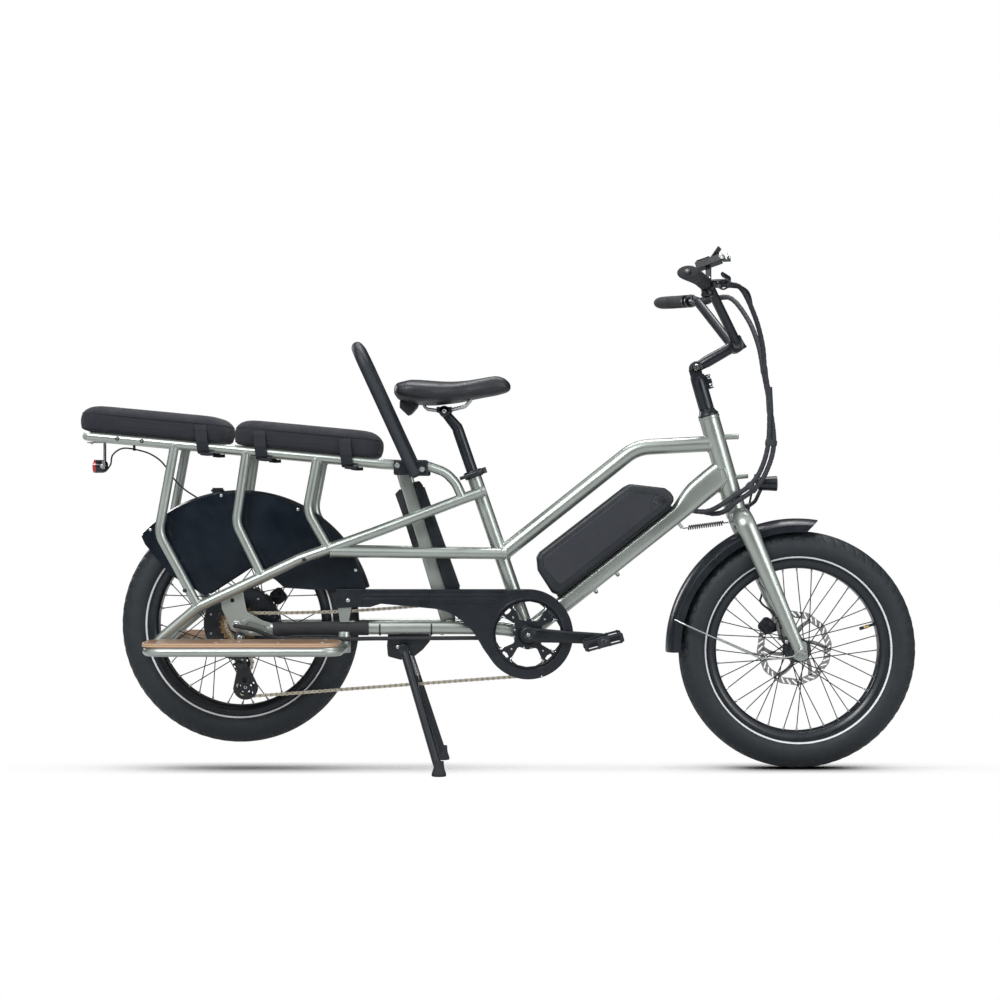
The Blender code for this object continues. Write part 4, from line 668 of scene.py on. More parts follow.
# %% Paints, plastics and metals
PAINT = finish(
    "sage_paint", (0.37, 0.405, 0.375), (0.40, 0.435, 0.405), 0.33, 0.8, 0.4, 8.0, (2600.0, 0.015), dusty=0.0,
)
BEAD = finish(
    "weld_paint", (0.36, 0.395, 0.365), (0.41, 0.44, 0.41), 0.38, 0.75, 0.3, 60.0, (1500.0, 0.03), dusty=0.0,
)
BLACK = finish(
    "black_paint", (0.003, 0.006, 0.010), (0.006, 0.010, 0.015), 0.30, coat=0.1, patches=25.0,
    relief=(1500.0, 0.03), dusty=0.02,
)
FORGED = finish(
    "forged_black", (0.005, 0.008, 0.012), (0.010, 0.013, 0.017), 0.32, 0.2, patches=40.0,
    relief=(1200.0, 0.06), dusty=0.02,
)
PLASTIC = finish(
    "moulded_plastic", (0.006, 0.009, 0.013), (0.010, 0.014, 0.019), 0.44, relief=(1800.0, 0.15), dusty=0.03,
)
GLOSSY = finish(
    "smooth_plastic", (0.002, 0.006, 0.011), (0.004, 0.010, 0.018), 0.20, patches=7.0, relief=(700.0, 0.01),
    dusty=0.05,
)
SIDE_PANEL = finish(
    "case_panel", (0.020, 0.023, 0.031), (0.025, 0.028, 0.037), 0.42, patches=6.0, relief=(2000.0, 0.08),
    dusty=0.02,
)
RUBBER = finish(
    "soft_rubber", (0.012, 0.013, 0.016), (0.020, 0.021, 0.025), 0.70, relief=(1500.0, 0.3), dusty=0.05,
)
TYRE = finish(
    "tyre_rubber", (0.004, 0.008, 0.012), (0.009, 0.014, 0.019), 0.60, patches=18.0, relief=(900.0, 0.2),
    dusty=0.05,
)
FOAM = finish(
    "foam_sleeve", (0.004, 0.007, 0.012), (0.008, 0.012, 0.018), 0.52, relief=(2200.0, 0.2), dusty=0.02,
)
STEEL = brushed("bright_steel", (0.58, 0.59, 0.60), (0.46, 0.47, 0.48), 0.30, 1.0, (60, 900, 900), 0.12)
ROTOR = brushed("brake_steel", (0.46, 0.46, 0.45), (0.34, 0.34, 0.33), 0.34, 1.0, (500, 60, 500), 0.2)
ALLOY = brushed("plain_alloy", (0.56, 0.58, 0.58), (0.66, 0.68, 0.68), 0.30, 0.9, (900, 60, 900), 0.1)
CHAIN = finish("chain_steel", (0.70, 0.64, 0.52), (0.52, 0.47, 0.38), 0.32, 1.0, patches=90.0)
COGS = finish("bronzed_steel", (0.42, 0.29, 0.15), (0.20, 0.15, 0.09), 0.38, 1.0, patches=70.0)
DARK_STEEL = finish("dark_steel", (0.035, 0.037, 0.041), (0.07, 0.072, 0.076), 0.34, 0.9, dusty=0.03)

# %% Cloth, leather and lenses
CLOTH = finish(
    "pad_cloth", (0.009, 0.010, 0.016), (0.014, 0.015, 0.023), 0.86, patches=14.0,
    relief=(330.0, 0.6), kind=THREADS, dusty=0.03, sheen=0.08,
)
WEBBING = finish(
    "strap_webbing", (0.006, 0.008, 0.013), (0.011, 0.014, 0.020), 0.80,
    relief=(210.0, 1.0), kind=THREADS, dusty=0.02,
)
LEATHER = finish(
    "saddle_cover", (0.008, 0.010, 0.014), (0.015, 0.018, 0.023), 0.42, patches=16.0, relief=(620.0, 0.3),
    dusty=0.03,
)
BRAID = finish(
    "braided_sleeve", (0.006, 0.009, 0.014), (0.034, 0.038, 0.048), 0.60, patches=600.0, relief=(1400.0, 0.5),
    dusty=0.03,
)
REFLECTIVE = finish("reflective_band", (0.90, 0.92, 0.93), (0.84, 0.86, 0.88), 0.30, dusty=0.0)
RED = finish("red_lens", (0.50, 0.012, 0.010), (0.36, 0.008, 0.008), 0.14, coat=0.6, relief=(500.0, 0.2))
AMBER = finish("amber_reflector", (0.60, 0.20, 0.02), (0.50, 0.15, 0.02), 0.2, coat=0.5, relief=(500.0, 0.3))
PLATED = finish("plated_steel", (0.80, 0.80, 0.80), (0.72, 0.72, 0.73), 0.16, 1.0, relief=(300.0, 0.02))
BRASS = finish("brass", (0.70, 0.50, 0.20), (0.58, 0.42, 0.18), 0.28, 1.0)

# %% [markdown]
# The footboards are plywood. Their faces show long grain and their edges show the plies, so
# the colour follows the height through the board, and the grain runs along the bicycle.

# %% Plywood
PLY = 0.004


def plywood():
    """Wood grain where the board faces up or down, and bands by height on its edges."""
    made, tree = principled("plywood", {"Roughness": 0.38, "Coat Weight": 0.35})
    wood = effect(tree, STREAKS, Scale=(7.0, 120.0, 90.0), Depth=0.15)
    height = add(tree, "ShaderNodeSeparateXYZ", {0: on_object(tree)})
    plies = product(tree, height.outputs["Z"], 2 * math.pi / PLY)
    wave = add(tree, "ShaderNodeMath", {0: plies}, operation="SINE")
    dark = scaled(tree, wave.outputs[0], -0.2, 0.5, 0.0, 0.55)
    face = mixed(tree, wood["Mask"], (0.25, 0.13, 0.07, 1), (0.52, 0.33, 0.21, 1))
    sides = mixed(tree, dark, (0.58, 0.38, 0.24, 1), (0.13, 0.06, 0.03, 1))
    up = add(tree, "ShaderNodeSeparateXYZ", {0: add(tree, "ShaderNodeNewGeometry").outputs["Normal"]})
    flat_share = add(tree, "ShaderNodeMath", {0: up.outputs["Z"]}, operation="ABSOLUTE")
    on_face = scaled(tree, flat_share.outputs[0], 0.6, 0.9)
    feed(tree, {"Base Color": mixed(tree, on_face, sides, face), "Normal": wood["Normal"]})
    return made


def glass(name, tint, rough):
    """Clear moulded lens: transmission stays a plain number on the shader."""
    made, tree = principled(name, {
        "Base Color": (*tint, 1.0), "Roughness": rough, "Transmission Weight": 0.9,
    })
    feed(tree, {"Normal": effect(tree, GRAIN, Scale=260.0, Depth=0.2)["Normal"]})
    return made


PLYWOOD = plywood()
LENS = glass("clear_lens", (0.92, 0.95, 0.97), 0.06)
print("materials:", len(bpy.data.materials))

# %% [markdown]
# The frame is welded from drawn tubes. Where one tube meets another a bead of weld runs round
# the saddle-shaped joint. The joint is where the two cylinders cross: from each point of the
# smaller tube's ring, a step along its axis reaches the larger tube's surface, and that step
# is the smaller root of a quadratic.

# %% Weld beads
def bead(start, toward, radius, host, host_axis, host_radius, wire=2.1):
    """A rippled ring along the crossing of a tube with the tube it is welded to."""
    axis, first, second = axes(np.asarray(toward, float) - start)
    host_axis = unit(host_axis)
    angle = np.linspace(0, 2 * math.pi, 96, endpoint=False)
    ring = start + radius * (np.cos(angle)[:, None] * first + np.sin(angle)[:, None] * second)
    away = ring - host
    away = away - (away @ host_axis)[:, None] * host_axis
    step = axis - (axis @ host_axis) * host_axis
    a = step @ step
    b = away @ step
    c = (away**2).sum(axis=1) - host_radius**2
    root = (-b - np.sqrt(np.maximum(b**2 - a * c, 0))) / a
    path = ring + root[:, None] * axis
    tangent = unit_rows(np.roll(path, -1, axis=0) - np.roll(path, 1, axis=0))
    out = path - path.mean(axis=0)
    out = unit_rows(out - (out * tangent).sum(axis=1)[:, None] * tangent)
    u, v = ellipse(8)
    ripple = (wire + 0.35 * np.sin(angle * 32))[:, None]
    return grid(rings_on(path, out, np.cross(tangent, out), ripple * u, ripple * v), looped=True)


# %% [markdown]
# The main frame: head tube, stepped down tube, bent top tube, seat tube and crank shell. The
# down tube is a rounded box that grows deeper where it holds the battery's upper end, so its
# section is carried along stations of bottom, top and width.

# %% Main frame
HEAD_LENGTH, HEAD_R, SEAT_R, SEAT_LENGTH, TOP_R, BB_HALF, BB_R = 200.0, 24.0, 17.0, 402.0, 18.5, 36.5, 22.0
top_start, top_bend, top_end = seat(193.7), point(321.5, 0, 755), head(133)
MAIN = {"body": "frame", "slot": "frame_paint"}


def down_tube():
    """Stations are (along, bottom, top, half width). The last ring slants like the head tube."""
    stations = np.array([
        (6, -19.9, 20.7, 20), (40, -19.9, 20.7, 22), (200, -19.9, 20.7, 22), (440, -19.9, 20.7, 22),
        (456, -19.9, 22.0, 22), (475, -19.9, 28.5, 22), (495, -19.9, 35.5, 22), (515, -19.9, 39.5, 22),
        (560, -19.9, 41.0, 21),
    ], float)
    at = np.concatenate([np.linspace(6, 440, 12), np.linspace(446, 560, 16)])
    low, high, half = (np.interp(at, stations[:, 0], stations[:, k]) for k in (1, 2, 3))
    u, v = ellipse(48, 0.55)
    out = (high + low)[:, None] / 2 + v * (high - low)[:, None] / 2
    along = np.repeat(at[:, None], len(u), axis=1)
    last_out = 10.5 + v * 30.5
    out = np.vstack([out, last_out])
    along = np.vstack([along, 595.9 + 0.412 * last_out])
    side = np.vstack([u * half[:, None], u * 20])
    return grid(BB + along[..., None] * DOWN_ALONG + out[..., None] * DOWN_OUT + side[..., None] * Y)


def lip(at, axis, radius, length=7.0):
    """A slight thickening round the end of a tube."""
    profile = [(0, radius), (1, radius + 1.1), (length - 1.5, radius + 1.1), (length, radius - 0.3)]
    return turned(at, axis, profile, 56)


def stub(up, tip):
    """A threaded bushing that a front carrier bolts to, with its bore."""
    start = head(up, HEAD_R - 4)
    along = unit(tip - start)
    length = np.linalg.norm(tip - start)
    floor_at = length - 9
    profile = [(0, 6.5), (length - 0.8, 6.5), (length, 5.8), (length, 3.2), (floor_at, 3.2), (floor_at, 0.01)]
    return turned(start, along, profile, 28)


def boss(along, low, high, radius):
    """A short stud that stands out below the down tube."""
    return rod(down(along, low), down(along, high), radius, 20)


top_path = fillet([top_start, top_bend, top_end], 100, 20)
piece("main_tubes", [
    tube([head(0), head(HEAD_LENGTH)], HEAD_R, 56),
    lip(head(0), HEAD_UP, HEAD_R),
    lip(head(HEAD_LENGTH), -HEAD_UP, HEAD_R),
    down_tube(),
    tube(top_path, TOP_R, 48, Y),
    tube([seat(0), seat(SEAT_LENGTH - 1)], SEAT_R, 48),
    tube([BB - Y * BB_HALF, BB + Y * BB_HALF], BB_R, 56),
    stub(143, point(563, 0, 781)),
    stub(45, point(585, 0, 689)),
    boss(186, -14, -26, 5), boss(251, -14, -26, 5), boss(439, -12, -33, 4),
], PAINT, stands_for=["main_frame"], **MAIN)
piece("main_welds", [
    bead(top_bend, top_end, TOP_R, HEAD_LOW, HEAD_UP, HEAD_R),
    bead(top_bend, top_start, TOP_R, BB, SEAT_UP, SEAT_R),
    bead(seat(120), BB, SEAT_R, BB, Y, BB_R),
    bead(down(420, 5), down(595, 5), 27, HEAD_LOW, HEAD_UP, HEAD_R, 2.6),
    bead(down(120, 0), BB, 20.4, BB, Y, BB_R),
], BEAD, **MAIN)
piece("main_bolts", [
    bolt(down(186, -26), -DOWN_OUT, 4.2, 3.0), bolt(down(251, -26), -DOWN_OUT, 4.2, 3.0),
], DARK_STEEL, "frame")

# %% [markdown]
# The long tail: two rails on a square post, two bent side frames below them, and a tube loop
# round each footboard. Each tube is one path with filleted corners, so its bends are true arcs.

# %% Rear rack
SIDE_Y, RAIL_R, DIAGONAL_R, UPRIGHT_R, STAY_R, CROSS_R = 85.0, 11.0, 12.5, 11.0, 13.0, 9.0
MID_LOW, MID_TOP, MID_TUBE = point(-121, 0, 345), point(-230, 0, 707), 35.0
mid_along = unit(MID_TOP - MID_LOW)
mid_out = unit(np.cross(Y, mid_along))


def rail_height(x):
    """The height of the rack's rails, which rise towards the rear."""
    return 716 + (x + 278) * (779.6 - 716) / (-955 + 278)


rail_path = fillet([
    point(-955, SIDE_Y, 779.6), point(-278, SIDE_Y, 716), point(-167, 62, 710),
    point(-127.5, 50, 696), point(-104, 41, 671), point(-90, 38, 640),
], 60, 8)


def cross(x, z, radius=CROSS_R, half=SIDE_Y):
    """A tube across the rack."""
    return rod(point(x, -half, z), point(x, half, z), radius, 28)


piece("rack_tubes", [
    *both(tube(rail_path, RAIL_R, 36, Z)),
    cross(-955, 779.6, RAIL_R, SIDE_Y + 9),
    *[cross(x, rail_height(x)) for x in (-753, -587, -423)],
    cross(-236, 713.5, CROSS_R, 74),
    tube([MID_LOW, MID_TOP], MID_TUBE / 2, 40, Y, power=0.28),
    rod(point(-116, -33, 340), point(-116, 33, 340), 12, 32),
], PAINT, stands_for=["rear_rack"], **MAIN)

# %% Side frames
def side_y(x):
    """How far the diagonal stands from the middle: it draws in towards the seat tube."""
    return SIDE_Y if x < -400 else SIDE_Y - (x + 400) / 365 * (SIDE_Y - 29)


DIAGONAL = [
    (-797, 297), (-781, 314), (-700, 383), (-463, 495), (-400, 517), (-292, 556), (-88, 634), (-35, 653),
]
diagonal = fillet([point(x, side_y(x), z) for x, z in DIAGONAL], 60, 8)
UPRIGHTS = [
    [(-753, 762), (-791, 555), (-697, 380)],
    [(-587, 746), (-612, 578), (-556, 464), (-549, 452)],
    [(-423, 731), (-447, 606), (-402, 527), (-396, 516)],
]
uprights = [fillet([point(x, SIDE_Y, z) for x, z in row], 60, 12) for row in UPRIGHTS]
chainstay = spline([
    point(48, 27, 322), point(-35, 36.5, 331), point(-332, 58, 332.5), point(-371, 59.5, 332.5),
    point(-470, 66, 331.5), point(-541, 70.5, 330.5),
], 6)
board_loop = fillet([
    point(-363, 60, 290), point(-363, 235, 290), point(-797, 235, 290), point(-797, SIDE_Y - 8, 290),
], 38, 12)
DROPOUT = [
    (-646, 378), (-650, 412), (-600, 436), (-594, 400), (-588, 372), (-553, 352), (-530, 345),
    (-530, 316), (-577, 316), (-605, 320), (-625, 330), (-634, 352),
]
dropout_holes = [arc(point(-622, 0, 398), 5, 360, 12, 11), arc(REAR_AXLE, 6.4, 360, 15, 23)]
dropout = plate(DROPOUT, dropout_holes, 67.5, 75)
stay = [point(-395, 84, 511.5), point(14, 27, 505)]
side_shapes = [
    tube(diagonal, DIAGONAL_R, 36, Y),
    tube(stay, STAY_R, 36, Y),
    *[tube(path, UPRIGHT_R, 32, Y) for path in uprights],
    tube(chainstay, 9.0, 36, Y, flat=15 / 9),
    tube(board_loop, 10.5, 32, Z),
    rod(point(-363, 60, 276), point(-363, 60, 325), 15, 32),
]

# %% Side frame welds and pieces
FINE_WELD = 1.7
side_welds = []
for path in uprights:
    rail_way = rail_path[1] - rail_path[0]
    side_welds.append(bead(path[1], path[0], UPRIGHT_R, rail_path[0], rail_way, RAIL_R, FINE_WELD))
    near = np.argmin(np.linalg.norm(diagonal - path[-1], axis=1))
    toward = diagonal[max(near - 1, 0)] - diagonal[min(near + 1, len(diagonal) - 1)]
    inside = path[-2] * 0.75 + path[-1] * 0.25
    side_welds.append(bead(inside, path[-1], UPRIGHT_R, diagonal[near], toward, DIAGONAL_R, FINE_WELD))
for inside, end, radius in (
    (diagonal[-2], diagonal[-1], DIAGONAL_R), (stay[0] * 0.3 + stay[1] * 0.7, stay[1], STAY_R),
):
    side_welds.append(bead(inside, end, radius, BB, SEAT_UP, SEAT_R, FINE_WELD))
piece("side_tubes_left", side_shapes, PAINT, stands_for=["side_frame_left"], **MAIN)
piece("side_tubes_right", opposite(side_shapes), PAINT, stands_for=["side_frame_right"], **MAIN)
piece("dropouts", both(dropout), PAINT, bevel=1.2, **MAIN)
piece("side_welds", both(*side_welds), BEAD, **MAIN)
EYELETS = [(-729, 422, 9.6), (-453, 493.5, 11.4), (-885, 773, 9.8), (-828, 767.7, 9.8)]
eyelets = [bolt(point(x, SIDE_Y + out, z), Y, 5.0, 2.4) for x, z, out in EYELETS]
piece("frame_eyelets", both(*eyelets), DARK_STEEL, "frame")
CAP = [(-603, 340), (-600, 349), (-583, 359.5), (-536, 343), (-531, 337), (-531, 320), (-583, 318)]
RECESS = [(-594, 337), (-583, 350), (-545, 338), (-541, 326), (-583, 325)]
stay_cap = plate(rounded(CAP, 4, 4), [rounded(RECESS, 4, 4)], 74.6, 78.4)
piece("dropout_caps", both(stay_cap), PAINT, "frame", bevel=0.8)
board_clamp = [bolt(point(-363, 74, 282), Y, 5, 3), rod(point(-363, 60, 325), point(-363, 60, 333), 7, 20)]
piece("board_clamp_bolts", both(*board_clamp), ALLOY, "frame")

# %% [markdown]
# Small fittings of the frame: cups over the head bearings, the seat collar with its lever,
# the battery's cradle, the controller behind the seat tube and its cable channel.

# %% Frame fittings
CUP = [(0, 15), (0, 24), (3, 24.6), (5, 24), (9, 20.5), (15, 18.2), (15.5, 17.5), (15.5, 15)]
upper_cup = turned(head(HEAD_LENGTH + 0.3), HEAD_UP, CUP, 56, True)
piece("upper_cup", [upper_cup], BLACK, "frame", ["headset_cup"], "black_metal")
COLLAR = [(0, 17.3), (0.8, 21.4), (2, 22), (16, 22), (17.2, 21.4), (18, 17.3)]
piece("collar_clamp", [
    turned(seat(386), SEAT_UP, COLLAR, 48, True),
    *[block(seat(395, 26, y), SEAT_FORWARD * 6.5, Y * 4.6, SEAT_UP * 6) for y in (7, -7)],
    rod(seat(395, 27, -11), seat(395, 27, 14), 2.6, 16),
    rod(seat(395, 27, 11.5), seat(395, 27, 17), 5.2, 20),
], BLACK, "frame", ["seat_collar"], "black_metal", bevel=0.8)
seat_pivot = seat(395, 27, -18)
lever_path = fillet([seat_pivot, seat(395, 15, -27), seat(395, -14, -28.5), seat(395, -33, -25)], 15, 8)
lever_wide = np.interp(np.linspace(0, 1, len(lever_path)), [0, 0.5, 1], [4.6, 5.0, 4.2])
piece("collar_lever", [
    rod(seat_pivot - SEAT_UP * 7, seat_pivot + SEAT_UP * 7, 6, 28),
    tube(lever_path, lever_wide, 20, SEAT_UP, flat=0.52),
], BLACK, "seat_lever", ["seat_lever"], "black_metal", bevel=0.3)


def down_outline(pairs):
    """(x, z) points from distances along and above the down tube."""
    return [(p[0], p[2]) for p in (down(along, out) for along, out in pairs)]


RAIL = down_outline([(108, 21), (450, 21), (450, 26.6), (108, 26.6)])
piece("battery_rail", [prism(RAIL, -20, 20)], PLASTIC, "frame", ["battery_cradle"], "black_metal", bevel=1.0)


def mid_outline(pairs):
    """(x, z) points from distances up and ahead of the square post."""
    return [(p[0], p[2]) for p in (MID_LOW + mid_along * up + mid_out * ahead for up, ahead in pairs)]


MID_SIDE = MID_TUBE / 2 + 0.3
CONTROLLER = [(338, MID_SIDE), (337, 29), (327, 33), (54, 47), (47, 43), (55, MID_SIDE)]
controller = [prism(mid_outline(CONTROLLER), -30, 30)]
for rib in np.linspace(-24, 24, 9):
    outline = [(322, 31), (320, 36.2), (70, 49.0), (68, 44)]
    controller.append(prism(mid_outline(outline), rib - 1.3, rib + 1.3))
piece("controller_case", controller, BLACK, "frame", ["controller_box"], "black_plastic", bevel=0.9)
CHANNEL = [(324, -34), (332, -20), (330, -MID_SIDE), (186, -MID_SIDE), (190, -30.5), (274, -31.5)]
piece("channel_cover", [
    prism(mid_outline(CHANNEL), -15, 15),
], PLASTIC, "frame", ["cable_channel"], "black_plastic", bevel=2.0)

# %% [markdown]
# The battery is a moulded box with rounded rims, a raised side panel and a step at its upper
# end. Its outline is drawn once, and four rings across the width draw the rims in, so light
# rolls over the edge. The panel repeats the outline at a smaller size, a millimetre proud.

# %% Battery
BATTERY = [
    (111, 27), (103, 40), (109, 100), (126, 126), (139, 131), (391, 128), (406, 125), (463, 68), (467, 52),
    (466, 39), (460, 31), (448, 27),
]


def cushioned(pairs, insets):
    """Rings of one outline across the width: (y, how far it draws in) for each ring."""
    pairs = np.asarray(pairs)
    middle = (pairs.min(axis=0) + pairs.max(axis=0)) / 2
    half = (pairs.max(axis=0) - pairs.min(axis=0)) / 2
    rings = []
    for y, inset in insets:
        ring = middle + (pairs - middle) * (1 - inset / half)
        rings.append(BB + ring[:, :1] * DOWN_ALONG + ring[:, 1:] * DOWN_OUT + Y * y)
    return grid(np.array(rings))


ROLL = symmetric([(-45, 7.0), (-44.2, 4.6), (-42.6, 2.4), (-40, 0.9), (-36.5, 0.0)])
case = cushioned(rounded(BATTERY, 10), ROLL)
piece("battery_case", [case], PLASTIC, "battery", ["battery"], "black_plastic", sharp=50)
PANEL = [(128, 42), (125, 98), (139, 116), (390, 113), (442, 62), (446, 50), (440, 42)]
side_panel = cushioned(rounded(PANEL, 9), [(-44.0, 0.0), (-45.6, 0.2), (-46.4, 1.0), (-46.4, 1.6)])
piece("battery_panels", both(side_panel), SIDE_PANEL, "battery", slot="black_plastic", sharp=50)
LOCK_COVER = rounded([(399, 40), (414, 60), (432, 70), (450, 54), (458, 42)], 6)
lock_edge = cushioned(LOCK_COVER, [(-44.0, 0.0), (-46.9, 0.0), (-46.9, 1.5), (-44.0, 1.5)])
lock_face = cushioned(LOCK_COVER, [(-44.0, 1.6), (-47.2, 1.8), (-47.6, 2.6), (-47.6, 3.0)])
piece("lock_cover", both(lock_face), SIDE_PANEL, "battery", sharp=50)
piece("lock_cover_edge", both(lock_edge), PLASTIC, "battery", sharp=50)
key_at = down(440, 52, -46.8)
piece("battery_fittings", [
    turned(key_at, -Y, [(0, 9.5), (1.6, 9.5), (2.2, 8.8), (2.2, 6.0), (1.2, 5.6), (1.2, 0.01)], 36),
    turned(down(422, 55, -46.8), -Y, [(0, 5.0), (1.6, 5.0), (2.0, 4.4), (2.0, 0.01)], 28),
    block(key_at - Y * 1.8, DOWN_ALONG * 3.6, Y * 0.5, DOWN_OUT * 0.7),
], DARK_STEEL, "battery", bevel=0.15)

# %% [markdown]
# The chain case is a pressed wall with a round window for the crank spider, a rim bent in over
# the chain and two pressed ridges along its arm.

# %% Chain case
CASE_OUT, CASE_WALL, CASE_RIM, CASE_R, CASE_RIM_IN, WINDOW_R = -70.0, -67.0, -46.0, 104.6, 102.6, 81.5
case_top = BB[2] + CASE_R
tail = np.array([
    (-379, case_top), (-379, 386), (-375, 382), (-302, 382), (-277, 390), (-191, 382), (-140, 376),
    (-105, 362), (-70, 333), (-51, 306), (-40, 287),
])
lower = spline(tail[5:], 8)
case_loop = np.vstack([tail[:5], lower, arc(BB, CASE_R, 214, 450, 72)])
rim = np.vstack([
    arc(BB, CASE_R, -78, 90, 48),
    [(-377, case_top), (-377, case_top - 1.6)],
    arc(BB, CASE_RIM_IN, 90, -78, 48),
])
ARM_LOW = case_top - 32
raised = np.vstack([
    [(-376, case_top - 2), (-376, ARM_LOW), (-30, ARM_LOW)],
    spline(np.array([(-16, ARM_LOW + 1), (4, ARM_LOW + 9), (20, ARM_LOW + 19), (40, case_top - 6.5)]), 6),
    [(60, case_top - 2)],
])
ridges = [prism(raised, CASE_OUT - 2.0, CASE_OUT + 0.2)]
for height, reach in ((case_top - 12, 20), (case_top - 22, -4)):
    ridges.append(tube([point(-370, CASE_OUT - 1.9, height), point(reach, CASE_OUT - 1.9, height)], 1.1, 14))
WINDOW_LIP = [(0, WINDOW_R + 0.2), (0, WINDOW_R + 3.4), (1.2, WINDOW_R + 4.2), (1.6, WINDOW_R + 0.2)]
piece("case_shell", [
    plate(case_loop, [arc(BB, WINDOW_R, 360, 3.75, 95)], CASE_OUT, CASE_WALL),
    prism(rim, CASE_WALL - 0.5, CASE_RIM),
    *ridges,
    turned(BB + Y * (CASE_OUT - 0.9), Y, WINDOW_LIP, 96, True),
], BLACK, "frame", ["chain_case"], "black_plastic", bevel=0.7)
CASE_END = [(-381, 424), (-318, 424), (-322, 383), (-381, 380)]
piece("case_end", [prism(CASE_END, CASE_OUT - 4.0, CASE_OUT - 1.6)], BLACK, "frame", bevel=1.0)
piece("case_bracket", [
    prism([(-378, 386), (-344, 388), (-352, 347.2), (-372, 347.2)], CASE_OUT + 0.4, CASE_WALL + 0.2),
    box(-372, -338, CASE_WALL - 1, -50, 347.2, 350.2),
], PAINT, "frame", bevel=0.6)
piece("case_bolts", [
    bolt(point(-353, CASE_OUT - 4, 398), -Y, 4.8, 3),
    bolt(polar(BB, math.radians(-72), 103, CASE_OUT), -Y, 2.6, 1.8),
], ALLOY, "frame")

# %% [markdown]
# Fenders are thin pressed channels swept round the wheel. The section is an arch with rolled
# lips: the sweep turns it about the axle in small steps.

# %% Fenders
def swept(centre, section, start, end, steps, slant=0.0):
    """A closed (side, radius) section carried on an arc about a wheel's axle.

    With a slant, the lips start later than the crown, by an angle that follows the side."""
    section = np.asarray(section, float)
    late = slant * np.clip((section[:, 1].max() - section[:, 1]) / 33, 0, 1)
    share = np.linspace(0, 1, steps + 1)[:, None]
    angle = np.radians(start + late[None] + share * (end - start - late[None]))
    out = np.stack([np.cos(angle), np.zeros_like(angle), np.sin(angle)], axis=2)
    rings = centre + out * section[None, :, 1:] + Y * section[None, :, :1]
    return grid(rings)


def fender_section(crown, edge, thick, half=43.0):
    """An arch of the crown's height with rolled lips, outer wall then inner wall."""
    side = np.linspace(-1, 1, 25)
    outer = np.stack([side * half, crown - (crown - edge - 7) * 0.62 * np.abs(side) ** 3.2], axis=1)
    inner = outer[::-1] * [1 - thick / half, 1.0] - [0, thick]
    lip_left = [(-half + thick * 0.7, edge), (-half - 0.2, edge + 0.3)]
    lip_right = [(half + 0.2, edge + 0.3), (half - thick * 0.7, edge)]
    return np.vstack([outer, lip_right, inner, lip_left])


# %% Fender pieces
SKIRT_EDGE = [
    (-827, 560), (-838, 546), (-830, 528), (-770, 456), (-688.5, 407), (-583.5, 475), (-525, 444.6),
    (-504, 426), (-432, 421),
]
skirt = np.vstack([arc(REAR_AXLE, 309, 15.5, 134.5, 60), SKIRT_EDGE])
rear_guard = swept(REAR_AXLE, fender_section(315, 299, 2.5), 16, 136.6, 90)
piece("rear_guard", [rear_guard], BLACK, "frame", ["rear_fender"], "black_plastic")
piece("rear_skirts", both(prism(skirt, 43.2, 45.4)), GLOSSY, "frame", slot="black_plastic", bevel=0.6)
SCREWS = [(-817, 561.5), (-651.5, 641.5), (-472, 609.5), (-430, 584.5), (-337.5, 467)]
screws = [point(x, 45.4, z) for x, z in SCREWS]
piece("skirt_screws", both(*[bolt(at, Y, 3.8, 2.4) for at in screws]), ALLOY, "frame")
piece("rear_guard_clip", [
    box(-680, -652, -14, 14, 651, 656),
    box(-676, -656, -22, -14, 646, 660),
    box(-676, -656, 14, 22, 646, 660),
], BLACK, "frame", bevel=0.8)
stays = []
for side in (-1, 1):
    wire = [polar(FRONT_AXLE, math.radians(166), 300, 43 * side)]
    wire += [polar(FRONT_AXLE, math.radians(167), 276, 56 * side)]
    wire += [point(604, 73 * side, 264), point(640, 75 * side, 262), point(686, 71 * side, 268)]
    stays.append(tube(fillet(wire, 20, 6), 1.9, 12))
    stays.append(bolt(point(686, 70 * side, 268), Y * side, 4.4, 4.0))
piece("front_stays", stays, STEEL, "fork")
tab_out = unit(point(-0.404, 0, 0.915))
tab_round = np.cross(tab_out, Y)
tab_pin = FRONT_AXLE + tab_out * 328
piece("front_guard", [
    swept(FRONT_AXLE, fender_section(309, 277, 2.5), 81, 181, 90, 5.5),
    block(FRONT_AXLE + tab_out * 319.8, tab_out * 13.8, tab_round * 10, Y * 2),
    rod(tab_pin - Y * 5, tab_pin + Y * 5, 3.2, 16),
], BLACK, "fork", ["front_fender"], "black_plastic", bevel=0.4)

# %% [markdown]
# The hoop behind the rider is a tube in a foam sleeve, clamped to the rails by two blocks. The
# footboards are plywood plates with eased corners, screwed to the loops under them.

# %% Hoop, footboards and lights of the tail
hoop_corners = [point(-196, 100, 689), point(-333, 100, 987), point(-333, -100, 987), point(-196, -100, 689)]
hoop_path = fillet(hoop_corners, 55, 14)
piece("hoop_sleeve", [tube(hoop_path, 14, 40)], FOAM, "frame", ["hoop_bar"], "black_metal")
piece("hoop_clamps", both(
    box(-246, -167, 70, 101, 689, 724), box(-232, -180, 58, 71, 692, 721),
), FORGED, "frame", slot="black_metal", bevel=4.0)
CLAMP_CAP = [(-1, 6.4), (2, 6.4), (3, 5.6), (3, 2.6), (1.4, 2.4), (1.4, 0.01)]
hoop_bolts = [turned(point(x, 101, z), Y, CLAMP_CAP, 28) for x, z in ((-237, 711), (-180, 702))]
piece("hoop_bolts", both(*hoop_bolts), ALLOY, "frame")


